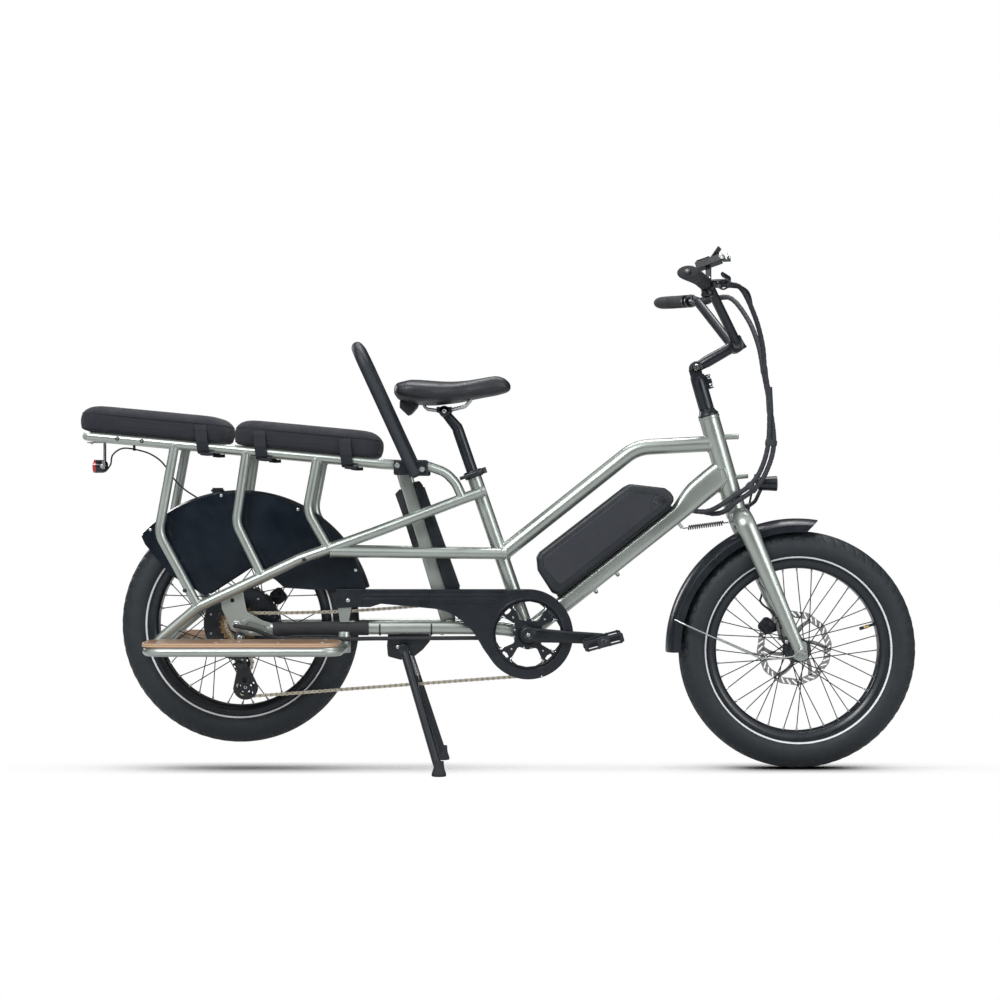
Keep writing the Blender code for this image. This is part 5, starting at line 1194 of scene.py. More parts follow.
def rounded_plan(x0, x1, y0, y1, radius, steps=8):
    """(x, y) points round a rectangle with round corners."""
    rows = []
    for cx, cy, first in [(x1, y1, 0), (x0, y1, 90), (x0, y0, 180), (x1, y0, 270)]:
        centre_x = cx - radius if cx == x1 else cx + radius
        centre_y = cy - radius if cy == y1 else cy + radius
        angle = np.radians(np.linspace(first, first + 90, steps + 1))
        rows.append(np.stack([centre_x + radius * np.cos(angle), centre_y + radius * np.sin(angle)], axis=1))
    return np.vstack(rows)


board = rounded_plan(-809, -364, 100, 240, 42, 14)
board = slab(np.column_stack([board, np.full(len(board), 300.0)]), Z * 10)
piece("footboard_left", [board], PLYWOOD, "frame", ["running_board_left"], "wood", bevel=1.6)
piece("footboard_right", [mirrored(board)], PLYWOOD, "frame", ["running_board_right"], "wood", bevel=1.6)
board_screws = [bolt(point(x, y, 309.6), Z, 4.5, 1.6) for x in (-770, -640, -500, -400) for y in (124, 216)]
piece("board_screws", both(*board_screws), ALLOY, "frame")
LIGHT = point(-960, 0, 710.5)
piece("light_body", [
    turned(LIGHT, X, [(8, 15.5), (24, 15.2), (31, 12.5), (34, 9), (34, 0.01)], 40),
    rod(LIGHT + point(24, -14, 2), LIGHT + point(24, 14, 2), 7, 28),
], BLACK, "frame", bevel=0.5)
DOME = [(0, 0.01), (0.2, 10), (1, 14), (2.2, 15.4), (8.5, 15.8), (8.5, 0.01)]
piece("light_lens", [turned(LIGHT, X, DOME, 40)], RED, "frame", ["rear_light"], "lens")
piece("light_bracket", [
    box(-934, -931, -11, 11, 712, 768.5),
    box(-972, -932, -12, 12, 765.5, 768.6),
    box(-936, -929, -17, -14.4, 704, 722),
    rod(point(-936, -19, 711), point(-936, -14, 711), 4.6, 20),
    bolt(point(-962, -6, 765.5), -Z, 3.4, 3.0),
], STEEL, "frame", bevel=0.6)
light_wire = spline([
    (-926, 0, 704), (-917, -8, 716), (-911, -12, 738), (-885, -16, 753), (-840, -20, 746),
    (-812, -20, 734), (-791, -18, 716), (-768, -12, 682), (-744, -8, 657), (-715, -2, 637),
])
wire_tie = box(-862, -857, -23, -16, 747, 766)
piece("light_wire", [tube(light_wire, 1.9, 10), wire_tie], RUBBER, "frame")

# %% [markdown]
# Tyres. The tread is a repeating pattern cut into the crown: the radius is lowered wherever a
# wave along the tread, slanted by the distance from the middle, passes a threshold. The side
# wall stays smooth and carries a white reflective band.

# %% Tyres
TREAD_REPEATS, TREAD_DEPTH, TREAD_STEPS = 64, 2.0, 896
OUTER_WALL = spline([
    (22.6, 204.3), (24.0, 212.6), (30.0, 219.5), (35.6, 229.0), (37.4, 239.5), (36.0, 251.0),
    (31.0, 262.0), (23.0, 271.0), (12.0, 277.4), (0.0, 279.0),
], 5)
INNER_WALL = spline([
    (18.5, 204.3), (26.0, 214.0), (31.0, 232.0), (29.0, 250.0), (18.0, 266.0), (0.0, 271.0),
], 3)


def tyre(axle):
    """A section turned about the axle, its crown cut by slanted grooves."""
    outer = np.vstack([OUTER_WALL * [-1, 1], OUTER_WALL[::-1][1:]])
    inner = np.vstack([INNER_WALL, INNER_WALL[::-1][1:] * [-1, 1]])
    section = np.vstack([outer, inner])
    angle = np.linspace(0, 2 * math.pi, TREAD_STEPS, endpoint=False)[:, None]
    y, radius = section[None, :, 0], section[None, :, 1]
    tread = np.clip((radius - 255) / 8, 0, 1) * (np.arange(len(section)) < len(outer))[None]
    wave = np.sin(angle * TREAD_REPEATS + np.abs(y) * 0.16)
    second = np.sin(angle * TREAD_REPEATS * 0.5 - np.abs(y) * 0.35)
    groove = np.clip((wave - 0.55) * 5, 0, 1) + np.clip((second - 0.86) * 9, 0, 1)
    channel = np.exp(-((np.abs(y) - 11) / 1.8) ** 2)
    radius = radius - TREAD_DEPTH * tread * np.clip(groove * (np.abs(y) > 4) + channel, 0, 1)
    out = np.stack([np.cos(angle[:, 0]), np.zeros(len(angle)), np.sin(angle[:, 0])], axis=1)
    side = Y * np.broadcast_to(y, radius.shape)[..., None]
    return grid(axle + out[:, None] * radius[..., None] + side, looped=True)


def side_band(axle):
    """A thin ring laid on the side wall."""
    reach = np.linspace(216.4, 220.0, 4)
    side = np.interp(reach, OUTER_WALL[:, 1], OUTER_WALL[:, 0])
    section = np.vstack([np.stack([side - 0.4, reach], axis=1), np.stack([side + 0.35, reach], axis=1)[::-1]])
    return both(turned(axle, Y, section, 200, True))


piece("tread_front", [tyre(FRONT_AXLE)], TYRE, "front_wheel", ["front_tyre"], "tyre", sharp=50)
piece("tread_rear", [tyre(REAR_AXLE)], TYRE, "rear_wheel", ["rear_tyre"], "tyre", sharp=50)
piece("band_front", side_band(FRONT_AXLE), REFLECTIVE, "front_wheel")
piece("band_rear", side_band(REAR_AXLE), REFLECTIVE, "rear_wheel")

# %% [markdown]
# Wheels are laced: each spoke leaves a flange of the hub and leans to one side, so that half
# of them pull against the other half. A spoke is straight, thin and threaded into a nipple.

# %% Wheels
SPOKES, NIPPLE_R = 36, 197.0
RIM = symmetric([(-28, 212), (-28.3, 208), (-26.5, 203), (-23.5, 197), (-19, 192.6), (-14, 191.6)])
RIM += symmetric([(24.8, 212), (23.2, 203)])


def lacing(axle, flange_r, flange_y, cross_angle):
    """All spokes and nipples of a wheel, as bars from flange to rim."""
    bars, nipples = [], []
    for k in range(SPOKES):
        angle = 2 * math.pi * k / SPOKES
        near = flange_y[k % 2]
        lean = 1 if (k // 2) % 2 else -1
        start = polar(axle, angle + lean * cross_angle, flange_r, near + lean * 1.8)
        end = polar(axle, angle, NIPPLE_R, (6 if near > 0 else -6) + lean * 1.2)
        bars.append(tube([start, end], 1.25, 8))
        along = unit(end - start)
        nipples.append(turned(end - along * 13, along, [(0, 1.6), (1, 2.3), (9, 2.3), (13, 2.6)], 8))
        bars.append(rod(start - Y * 3, start + Y * 3, 2.3, 10))
    return bars, nipples


# %% [markdown]
# A brake rotor is a flat ring whose edges wave, cut by slanted slots, on arms that sweep in to
# the hub. The slots' ends are half circles.

# %% Brake rotors
def capsule(start, end, radius, steps=6):
    """(x, z) outline round two points: two half circles joined by straight sides."""
    heading = math.degrees(math.atan2(end[2] - start[2], end[0] - start[0]))
    far = arc(end, radius, heading - 90, heading + 90, steps)
    return np.vstack([far, arc(start, radius, heading + 90, heading + 270, steps)])


ROTOR_R, ROTOR_IN, ROTOR_ARMS, ROTOR_SLOTS = 89.5, 72.5, 6, 36


def rotor(axle, y):
    """A brake disc: a waved ring with slanted slots, on swept arms."""
    angle = np.linspace(0, 2 * math.pi, 240, endpoint=False)
    depth = 1.3
    wave = depth * np.sin(angle * 12)
    slots = []
    for k in range(ROTOR_SLOTS):
        at = 2 * math.pi * k / ROTOR_SLOTS
        slots.append(capsule(polar(axle, at - 0.05, 76.6), polar(axle, at + 0.06, 85.2), 1.7))
    loops = [circled(axle, ROTOR_IN + wave, angle), *slots]
    shapes = [plate(circled(axle, ROTOR_R + wave - depth, angle), loops, y - 1, y + 1)]
    for k in range(ROTOR_ARMS):
        at = 2 * math.pi * k / ROTOR_ARMS
        path = [polar(axle, at + 0.55 * (1 - t), 22 + 52 * t, y) for t in np.linspace(0, 1, 8)]
        shapes.append(flat_bar(path, 4.6, 1.0))
    shapes.append(washer(axle + Y * (y - 1), Y, 14, 26, 2))
    return shapes


def flat_bar(path, half, thick):
    """A strip that lies in the plane of the wheel, from its centre line."""
    path = np.asarray(path)
    side = np.cross(unit_rows(np.gradient(path, axis=0)), Y)
    left, right = path - side * half, path + side * half
    low, high = -Y * thick, Y * thick
    return grid(np.stack([left + low, right + low, right + high, left + high], axis=1))


# %% Hubs, rims and spokes in place
front_hub = turned(FRONT_AXLE, Y, symmetric([
    (-49.3, 8), (-49.3, 10.5), (-45, 13), (-38, 14.5), (-35, 20), (-34.6, 28.4), (-33.8, 29),
    (-28.2, 29), (-27.4, 28.4), (-26.6, 21), (-24, 16.4), (-12, 14.6),
]), 64)
rear_hub = turned(REAR_AXLE, Y, [
    (-60, 14), (-60, 15.8), (-19, 15.8), (-18.4, 30), (-17.6, 70), (-17, 76), (-16.4, 85.4),
    (-15.6, 86), (-10, 86), (-9.2, 85.4), (-8, 79.6), (-6, 79), (28, 79), (30, 79.6), (31.2, 85.4),
    (32, 86), (37.6, 86), (38.4, 85.4), (39, 77), (39.6, 68), (41, 60), (42, 40), (46, 24),
    (54, 16), (66.5, 12),
], 96)
front_bars, front_nipples = lacing(FRONT_AXLE, 25, (-31, 31), math.radians(60))
rear_bars, rear_nipples = lacing(REAR_AXLE, 83, (-12.8, 34.8), math.radians(30))
for label, axle, hub in (("front", FRONT_AXLE, front_hub), ("rear", REAR_AXLE, rear_hub)):
    body = f"{label}_wheel"
    piece(f"rim_{label}", [turned(axle, Y, RIM, 180, True), hub], BLACK, body, [body], "wheel_metal")
piece("spokes_front", front_bars, DARK_STEEL, "front_wheel")
piece("spokes_rear", rear_bars, DARK_STEEL, "rear_wheel")
piece("nipples_front", front_nipples, STEEL, "front_wheel")
piece("nipples_rear", rear_nipples, STEEL, "rear_wheel")
piece("rotor_front", rotor(FRONT_AXLE, 39.0), ROTOR, "front_wheel")
piece("rotor_rear", rotor(REAR_AXLE, 51.0), ROTOR, "rear_wheel")


def bolt_circle(axle, count, radius, y, way, size, height):
    """Bolts at even angles round an axle."""
    turns = 2 * math.pi * (np.arange(count) + 0.5) / count
    return [bolt(polar(axle, turn, radius, y), way, size, height) for turn in turns]


piece("rotor_bolts_front", bolt_circle(FRONT_AXLE, 6, 20, 40.0, Y, 3, 2), DARK_STEEL, "front_wheel")
piece("rotor_bolts_rear", bolt_circle(REAR_AXLE, 6, 20, 52.0, Y, 3, 2), DARK_STEEL, "rear_wheel")
piece("motor_screws", [
    *bolt_circle(REAR_AXLE, 10, 72, 40.0, Y, 2.8, 2.2), *bolt_circle(REAR_AXLE, 10, 72, -17.6, -Y, 2.8, 2.2),
], STEEL, "rear_wheel")

# %% Valves and rear axle
def valve(axle, angle):
    """A valve stem with its cap, standing in from the rim."""
    rim_at, inward = polar(axle, angle, 193, 0), -polar(np.zeros(3), angle, 1.0)
    stem = turned(rim_at, inward, [(0, 4.4), (3, 4.4), (4, 3.3), (20, 3.1), (21, 2.6), (24, 2.4)], 20)
    nut = turned(rim_at + inward * 16, inward, [(0, 4.0), (0.6, 4.2), (10.6, 4.2), (11, 4.0)], 12)
    cap = turned(rim_at + inward * 27, inward, [(0, 3.6), (1, 4.0), (9, 3.9), (10, 3.0), (10, 0.01)], 20)
    return [stem, cap], [nut]


for label, axle, angle in (("front", FRONT_AXLE, math.radians(18)), ("rear", REAR_AXLE, math.radians(200))):
    rubbers, nuts = valve(axle, angle)
    piece(f"valve_{label}", rubbers, RUBBER, f"{label}_wheel")
    piece(f"valve_nut_{label}", nuts, BRASS, f"{label}_wheel")
AXLE_NUT = [(0, 13.6), (1.6, 13.6), (2.0, 11.4), (7.2, 11.2), (7.8, 10.2)]
piece("rear_axle_nuts", [
    rod(REAR_AXLE - Y * 87, REAR_AXLE + Y * 87, 6, 28),
    *both(turned(REAR_AXLE + Y * 75.4, Y, AXLE_NUT, 6)),
], STEEL, "frame", ["rear_axle"], "steel", sharp=25)

# %% [markdown]
# The chain passes over four toothed wheels. Each straight run is the tangent line between two
# of them, so its direction follows from their centres and pitch radii. Pins are set a link
# apart along arcs and runs, and the upper run sags a little. Inner and outer links alternate.

# %% Chain line
PITCH, CHAIN_Y, SAG, PULLEY_TEETH = 12.7, -52.0, 15.0, 11
COG_TEETH = (14, 16, 18, 20, 22, 24, 28)
ROUTE = [(BB, 48, 1), (REAR_AXLE, COG_TEETH[0], 1), (GUIDE, PULLEY_TEETH, -1), (TENSION, PULLEY_TEETH, 1)]


def pitch_radius(teeth):
    """From a wheel's centre to the pins: half the pitch over the sine of half a tooth's angle."""
    return PITCH / (2 * math.sin(math.pi / teeth))


def headings():
    """The direction of each straight run, leaving each wheel of the route in turn."""
    found = []
    for (centre, teeth, turn), (after, after_teeth, after_turn) in zip(ROUTE, ROUTE[1:] + ROUTE[:1]):
        gap = after - centre
        change = after_turn * pitch_radius(after_teeth) - turn * pitch_radius(teeth)
        found.append(math.atan2(gap[2], gap[0]) - math.asin(change / math.hypot(gap[0], gap[2])))
    return found


def touch(centre, teeth, turn, heading):
    """Where a run with this heading touches the wheel's pitch circle."""
    return centre + point(math.sin(heading), 0, -math.cos(heading)) * turn * pitch_radius(teeth)


def chain_pins():
    """Every pin in order, and the angle of the first pin on each wheel."""
    leaving, spans = headings(), []
    for i, (centre, teeth, turn) in enumerate(ROUTE):
        arriving = leaving[i - 1]
        swing = ((leaving[i] - arriving) * turn) % (2 * math.pi)
        spans.append((True, swing * teeth / (2 * math.pi), (i, arriving - turn * math.pi / 2)))
        ends = touch(centre, teeth, turn, leaving[i]), touch(*ROUTE[(i + 1) % 4], leaving[i])
        spans.append((False, np.linalg.norm(ends[1] - ends[0]) / PITCH, (i, *ends)))
    arcs = sum(links for bent, links, _ in spans if bent)
    runs = sum(links for bent, links, _ in spans if not bent)
    total = 2 * round((arcs + runs) / 2)
    stretch = (total - arcs) / runs
    pins, phases, begun, at = [], {}, 0.0, 0
    for bent, links, data in spans:
        links = links if bent else links * stretch
        while at < begun + links - 1e-9 and at < total:
            if bent:
                centre, teeth, turn = ROUTE[data[0]]
                angle = data[1] + turn * (at - begun) * 2 * math.pi / teeth
                phases.setdefault(data[0], angle)
                pins.append(polar(centre, angle, pitch_radius(teeth)))
            else:
                share = (at - begun) / links
                drop = SAG if data[0] == 0 else 0.0
                pins.append(data[1] + (data[2] - data[1]) * share - Z * drop * 4 * share * (1 - share))
            at += 1
        begun += links
    return np.array(pins), phases


pins, phases = chain_pins()
print("chain links:", len(pins))

# %% Chain links
def placed(shape, origins, along, up):
    """Copies of a shape given in link axes: along the link, across it and up from it."""
    verts, faces = shape
    verts = np.asarray(verts)[None]
    moved = origins[:, None] + verts[..., :1] * along[:, None] + Y * verts[..., 1:2]
    moved = moved + verts[..., 2:] * up[:, None]
    count = verts.shape[1]
    polygons = [[i + count * k for i in face] for k in range(len(origins)) for face in faces]
    return moved.reshape(-1, 3), polygons


def link_plate(y0, y1):
    """A side plate: two round ends joined by a waist."""
    ends = PITCH / 2
    right = [(ends + 4.0 * math.cos(a), 4.0 * math.sin(a)) for a in np.radians([-90, -54, -18, 18, 54, 90])]
    outline = [*right, (0, 2.9), *[(-x, z) for x, z in right[::-1]], (0, -2.9)]
    return prism(outline, y0, y1)


after = np.roll(pins, -1, axis=0)
ahead = unit_rows(after - pins)
middle = (pins + after) / 2 + Y * CHAIN_Y
rise = np.stack([-ahead[:, 2], np.zeros(len(pins)), ahead[:, 0]], axis=1)
outer_links = joined(both(link_plate(2.6, 3.5)))
inner_links = joined(both(link_plate(1.5, 2.4)))


def link_pin(half, radius, sides):
    """A round bar across the link's rear end."""
    return rod(point(-PITCH / 2, -half, 0), point(-PITCH / 2, half, 0), radius, sides)


roller = joined([link_pin(2.4, 3.85, 10), link_pin(3.9, 1.8, 8)])
piece("chain_links", [
    placed(outer_links, middle[::2], ahead[::2], rise[::2]),
    placed(inner_links, middle[1::2], ahead[1::2], rise[1::2]),
], CHAIN, "frame", ["chain"], "steel", sharp=30)
piece("chain_rollers", [placed(roller, middle, ahead, rise)], DARK_STEEL, "frame", slot="steel", sharp=30)

# %% [markdown]
# Sprockets. A tooth is a short ramp up, a tip and a ramp down to a round root where the roller
# sits. One outline serves the chainring, the seven cogs and both pulleys.

# %% Sprockets
def tooth_ring(centre, teeth, first, tip=3.0, root=3.9):
    """(x, z) outline of a sprocket: roots start at the given angle, tips lie half a tooth on."""
    steps = np.array([-0.16, -0.08, 0.0, 0.08, 0.16, 0.34, 0.44, 0.5, 0.56, 0.66])
    valley = [-root + 1.1, -root + 0.3, -root, -root + 0.3, -root + 1.1]
    reach = np.array([*valley, 0.6, tip - 0.8, tip, tip - 0.8, 0.6])
    angle = (first + (np.arange(teeth)[:, None] + steps) * 2 * math.pi / teeth).ravel()
    return circled(centre, np.tile(pitch_radius(teeth) + reach, teeth), angle)


COG_STEP = 4.8
small_cogs, large_cogs = [], []
for step, teeth in enumerate(COG_TEETH):
    y = CHAIN_Y + COG_STEP * step
    holes = [arc(REAR_AXLE, 20.0, 360, 7.5, 47)]
    if teeth > 20:
        far = pitch_radius(teeth) * 0.62 * 1.12
        centres = [polar(REAR_AXLE, k * math.pi / 4 + step * 0.3, far) for k in range(8)]
        holes += [arc(centre, 4.2, 360, 24, 14) for centre in centres]
    cog = plate(tooth_ring(REAR_AXLE, teeth, phases[1] + step * 0.2), holes, y - 0.9, y + 0.9)
    (small_cogs if teeth < 24 else large_cogs).append(cog)
piece("small_cogs", small_cogs, COGS, "freewheel", ["freewheel"], "cog_brass", bevel=0.2)
piece("large_cogs", large_cogs, DARK_STEEL, "freewheel", slot="cog_brass", bevel=0.2)
COG_BODY = [(0, 16.4), (0, 21), (1, 22), (36, 22), (36.5, 21), (36.5, 16.4)]
spacers = [washer(REAR_AXLE + Y * (CHAIN_Y + COG_STEP * k + 1), Y, 20, 24.5, 2.8, 40) for k in range(6)]
piece("cog_body", [
    turned(REAR_AXLE - Y * 56, Y, COG_BODY, 48, True), *spacers,
], DARK_STEEL, "freewheel", sharp=30)

# %% [markdown]
# The crank set: a forged arm that narrows towards the pedal, a spider with four wide and four
# narrow windows that carries the ring, and the spindle through the frame. The arm's section is
# a rounded box whose half width follows its length.

# %% Cranks
CRANK_LENGTH, ARM_IN, ARM_OUT = 170.0, 75.0, 88.0
CRANK_ANGLE = math.radians(-3.1)
CRANK_ALONG, CRANK_UP = tilted(-3.1)
PEDAL_RIGHT, PEDAL_LEFT = BB + CRANK_ALONG * CRANK_LENGTH, BB - CRANK_ALONG * CRANK_LENGTH


def crank_arm(along, side):
    """A bar with round ends; its thickness stays, and its height swells at both ends."""
    quarter = np.linspace(0, math.pi / 2, 8)
    middle, outer = np.linspace(6, 164, 24), CRANK_LENGTH + 13 * np.sin(quarter)
    reach = np.concatenate([-17 * np.cos(quarter), middle, outer])
    straight = np.interp(reach, [0, 30, 90, 150, CRANK_LENGTH], [17, 16.2, 14.0, 13.4, 13])
    inner_end = np.sqrt(np.maximum(17.05**2 - reach**2, 0.3))
    outer_end = np.sqrt(np.maximum(13.05**2 - (reach - CRANK_LENGTH) ** 2, 0.3))
    height = np.where(reach < 0, inner_end, np.where(reach > CRANK_LENGTH, outer_end, straight))
    u, v = ellipse(32, 0.5)
    centre = BB + along * reach[:, None] + Y * side * (ARM_IN + ARM_OUT) / 2
    half = (ARM_OUT - ARM_IN) / 2
    rings = centre[:, None] + CRANK_UP * (height[:, None] * v)[..., None] + Y * (half * u)[None, :, None]
    return grid(rings)


# %% Spider and chainring
def window(middle_angle, corners, radius):
    """An opening of the spider with round corners, from (angle, radius) corners."""
    ring = [(far * math.cos(middle_angle + a), far * math.sin(middle_angle + a)) for a, far in corners]
    return rounded(ring, radius, 6) + BB[[0, 2]]


QUARTERS = [CRANK_ANGLE + math.pi / 2 * k for k in range(4)]
WIDE = [(-0.62, 37), (-0.545, 72), (-0.28, 75.8), (0, 76.4), (0.28, 75.8), (0.545, 72), (0.62, 37), (0, 36)]
NARROW = [(-0.13, 69.5), (-0.10, 74.5), (0.10, 74.5), (0.13, 69.5), (0, 66.5)]
windows = [window(a, WIDE, 8) for a in QUARTERS] + [window(a + math.pi / 4, NARROW, 1.8) for a in QUARTERS]
glints = []
for angle in QUARTERS:
    for side in (-1, 1):
        ends = [(0.50, 62), (0.535, 67), (0.545, 71), (0.52, 74), (0.46, 75.6)]
        path = [polar(BB, angle + side * (a + 0.02), far, -60.8) for a, far in ends]
        glints.append(tube(spline(path, 4), [*np.linspace(0.5, 1.9, 8), *np.linspace(1.9, 0.5, 9)], 12))
piece("spider_glints", glints, PLATED, "crank")
piece("chainring", [
    plate(tooth_ring(BB, 48, phases[0]), [arc(BB, 78, 360, 3, 119)], CHAIN_Y - 0.9, CHAIN_Y + 0.9),
], DARK_STEEL, "crank", bevel=0.2)
SPIDER_HUB = [(0, 12), (0, 19), (14, 19), (20, 24), (22.5, 25), (24, 24), (30, 20), (38, 19)]
arm_bolts = [bolt(polar(BB, a + turn, 33, -60), -Y, 2.5, 1.6) for a in QUARTERS for turn in (-0.25, 0.25)]
ring_bolts = [bolt(polar(BB, a + math.pi / 4, 52, -60), -Y, 2.5, 1.4) for a in QUARTERS]
piece("crank_spider", [
    plate(arc(BB, 88, 0, 357, 119), windows, -60, -54),
    turned(BB - Y * 38, -Y, SPIDER_HUB, 64),
    turned(BB - Y * 60, -Y, [(-0.5, 76.0), (-0.5, 79.5), (0.9, 79.0), (1.1, 76.6)], 96, True),
], BLACK, "crank", ["crank_right"], "black_metal", bevel=1.0)
piece("crank_arm_right", [
    crank_arm(CRANK_ALONG, -1),
    turned(BB - Y * 88, -Y, [(-6, 17.6), (0.4, 17.6), (1.5, 16.4), (1.7, 10.0), (0.9, 8.8), (0.9, 0.01)], 48),
], FORGED, "crank", slot="black_metal", sharp=50)
piece("crank_arm_left", [
    crank_arm(-CRANK_ALONG, 1),
    turned(BB + Y * 38, Y, [(0, 8), (0, 15), (30, 15), (38, 17)], 48),
    turned(BB + Y * 88, Y, [(-3, 13), (0, 13), (0.8, 12.2), (0.8, 9.2), (-0.4, 8.6), (-0.4, 0.01)], 40),
    rod(BB - Y * 83, BB + Y * 80, 8.5, 28),
], FORGED, "crank", ["crank_left"], "black_metal", sharp=50)
piece("crank_hardware", arm_bolts + ring_bolts + [
    bolt(BB - Y * 88.9, -Y, 4.2, 1.2), bolt(BB + Y * 87.4, Y, 6.0, 1.2),
    rod(PEDAL_RIGHT - Y * 77, PEDAL_RIGHT - Y * 189, 5, 20),
    rod(PEDAL_LEFT + Y * 77, PEDAL_LEFT + Y * 189, 5, 20),
], STEEL, "crank")

# %% [markdown]
# The pedals are open cages: two side plates with pins, joined round a bearing tube, with an
# amber reflector at each end.

# %% Pedals
PEDAL_TILT, PEDAL_OUT = 15, 146
pedal_along, pedal_up = tilted(PEDAL_TILT)


def pedal_frame(middle):
    """Two side plates with gaps, bars across both ends, the bearing tube and two ribs."""
    outline = rounded(symmetric([(-46, -9), (-40, -12)]) + symmetric([(46, 9), (40, 12)]), 3, 3)
    gaps = [rounded([(a, -7), (b, -7), (b, 7), (a, 7)], 3, 3) for a, b in ((-39, -14), (14, 39))]
    origin = middle[[0, 2]]
    shapes = []
    for y in (middle[1] - 42.5, middle[1] + 42.5):
        flat = plate(outline + origin, [gap + origin for gap in gaps], y - 2.5, y + 2.5)
        shapes.append(spun(flat, middle, math.radians(PEDAL_TILT)))
    for u in (-42, 42):
        for v in (-7.5, 0, 7.5):
            start = middle + pedal_along * u + pedal_up * v
            shapes.append(rod(start - Y * 42, start + Y * 42, 2.4, 14))
    shapes.append(rod(middle - Y * 41, middle + Y * 41, 9, 28))
    for y in (-20, 20):
        shapes.append(block(middle + Y * y, pedal_along * 41, Y * 2.2, pedal_up * 5))
    return shapes


def pedal_trim(middle, side):
    """Grip pins on both faces, and an end cap over the bearing."""
    shapes = []
    for u in (-38, -13, 13, 38):
        for y in (-42.5, 42.5):
            at = middle + pedal_along * u + Y * y
            shapes.append(rod(at - pedal_up * 13, at + pedal_up * 13, 1.8, 10))
    shapes.append(turned(middle + Y * side * 43, Y * side, [(0, 8), (2.5, 7.6), (3.4, 6), (3.4, 0.01)], 24))
    return shapes


for label, centre, side in (("right", PEDAL_RIGHT, -1), ("left", PEDAL_LEFT, 1)):
    body, middle = f"pedal_{label}", centre + Y * side * PEDAL_OUT
    piece(f"pedal_cage_{label}", pedal_frame(middle), PLASTIC, body, [body], "black_plastic", bevel=1.0)
    piece(f"pedal_pins_{label}", pedal_trim(middle, side), DARK_STEEL, body)
    ends = (middle - pedal_along * 43.4, middle + pedal_along * 43.4)
    lenses = [block(end, pedal_along * 1.6, Y * 20, pedal_up * 4.6) for end in ends]
    piece(f"pedal_reflectors_{label}", lenses, AMBER, body, bevel=0.4)

# %% [markdown]
# The derailleur hangs from the dropout: a knuckle, two links and a lower knuckle that the cage
# turns on. The cage holds two toothed pulleys, and a round guard covers the lower one.

# %% Derailleur
drop = TENSION - GUIDE
cage_heading = math.atan2(drop[2], drop[0])


def stadium(wide_low, wide_high, steps=12):
    """Two round ends joined by straight sides, round the pulleys' pins."""
    low = arc(TENSION, wide_low, math.degrees(cage_heading) - 90, math.degrees(cage_heading) + 90, steps)
    high = arc(GUIDE, wide_high, math.degrees(cage_heading) + 90, math.degrees(cage_heading) + 270, steps)
    return np.vstack([low, high])


guard_turns = [cage_heading + math.radians(36 + 72 * k) for k in range(5)]
guard_holes = [arc(polar(TENSION, turn, 17), 5.6, 360, 24, 14) for turn in guard_turns]
piece("cage_plates", [
    plate(stadium(29.5, 11), guard_holes, CHAIN_Y - 6.6, CHAIN_Y - 5.0),
    plate(stadium(10, 10), [], CHAIN_Y + 5.0, CHAIN_Y + 6.6),
    rod(GUIDE + Y * (CHAIN_Y - 7), GUIDE + Y * (CHAIN_Y + 8), 2.6, 20),
    rod(TENSION + Y * (CHAIN_Y - 8), TENSION + Y * (CHAIN_Y + 8), 2.6, 20),
], BLACK, "pulley_cage", ["pulley_cage"], "black_metal", bevel=0.4)
cage_bolts = [bolt(at + Y * (CHAIN_Y - 6.8), -Y, 4.4, 2.2) for at in (TENSION, GUIDE)]
piece("cage_bolts", cage_bolts, STEEL, "pulley_cage")
for label, centre, phase in (("guide", GUIDE, phases[2]), ("tension", TENSION, phases[3])):
    outline = tooth_ring(centre, PULLEY_TEETH, phase, 1.6, 4.2)
    holes = [arc(centre, 3.1, 360, 20, 17)]
    holes += [arc(polar(centre, phase + math.radians(72 * k), 11), 3.2, 360, 30, 11) for k in range(5)]
    wheel_face = plate(outline, holes, CHAIN_Y - 1.0, CHAIN_Y + 1.0)
    hub = washer(centre + Y * (CHAIN_Y - 3.6), Y, 3.2, 6.6, 7.2, 32)
    body = f"{label}_pulley"
    piece(f"{label}_wheel", [wheel_face, hub], PLASTIC, body, [body], "black_plastic", bevel=0.3)
OUTER_LINK = [(-612, -88, 316), (-594, -88, 316), (-588, -82, 252), (-597, -80, 244), (-611, -81, 252)]
INNER_LINK = [(-609, -81.5, 310), (-598, -81.5, 310), (-593, -76, 258), (-606, -76, 256)]
piece("changer_body", [
    rod(point(-603, -75.3, 312), point(-603, -88, 312), 13, 36),
    slab(OUTER_LINK, Y * 4.2),
    slab(INNER_LINK, Y * 4),
    rod(GUIDE - Y * 61, GUIDE - Y * 82, 12, 36),
], BLACK, "frame", ["derailleur_body"], "black_metal", bevel=1.2)
piece("changer_bolts", [
    bolt(point(-603, -88, 312), -Y, 6, 2),
    bolt(point(-603, -88.2, 290), -Y, 3, 1.6),
    bolt(point(-597, -84.5, 262), -Y, 3, 1.6),
], STEEL, "frame")
gear_wire = spline([
    (-585, -74, 308), (-572, -80, 296), (-548, -84, 288), (-520, -80, 300), (-490, -78, 314),
    (-440, -74, 316), (-380, -71, 315),
])
piece("gear_cable", [tube(gear_wire, 2.2, 12)], RUBBER, "frame")

# %% [markdown]
# Two calipers grip the rotors. Each is a forged block open over the disc, with a piston cap, an
# adapter arm to the frame or fork, and a short cable guide.

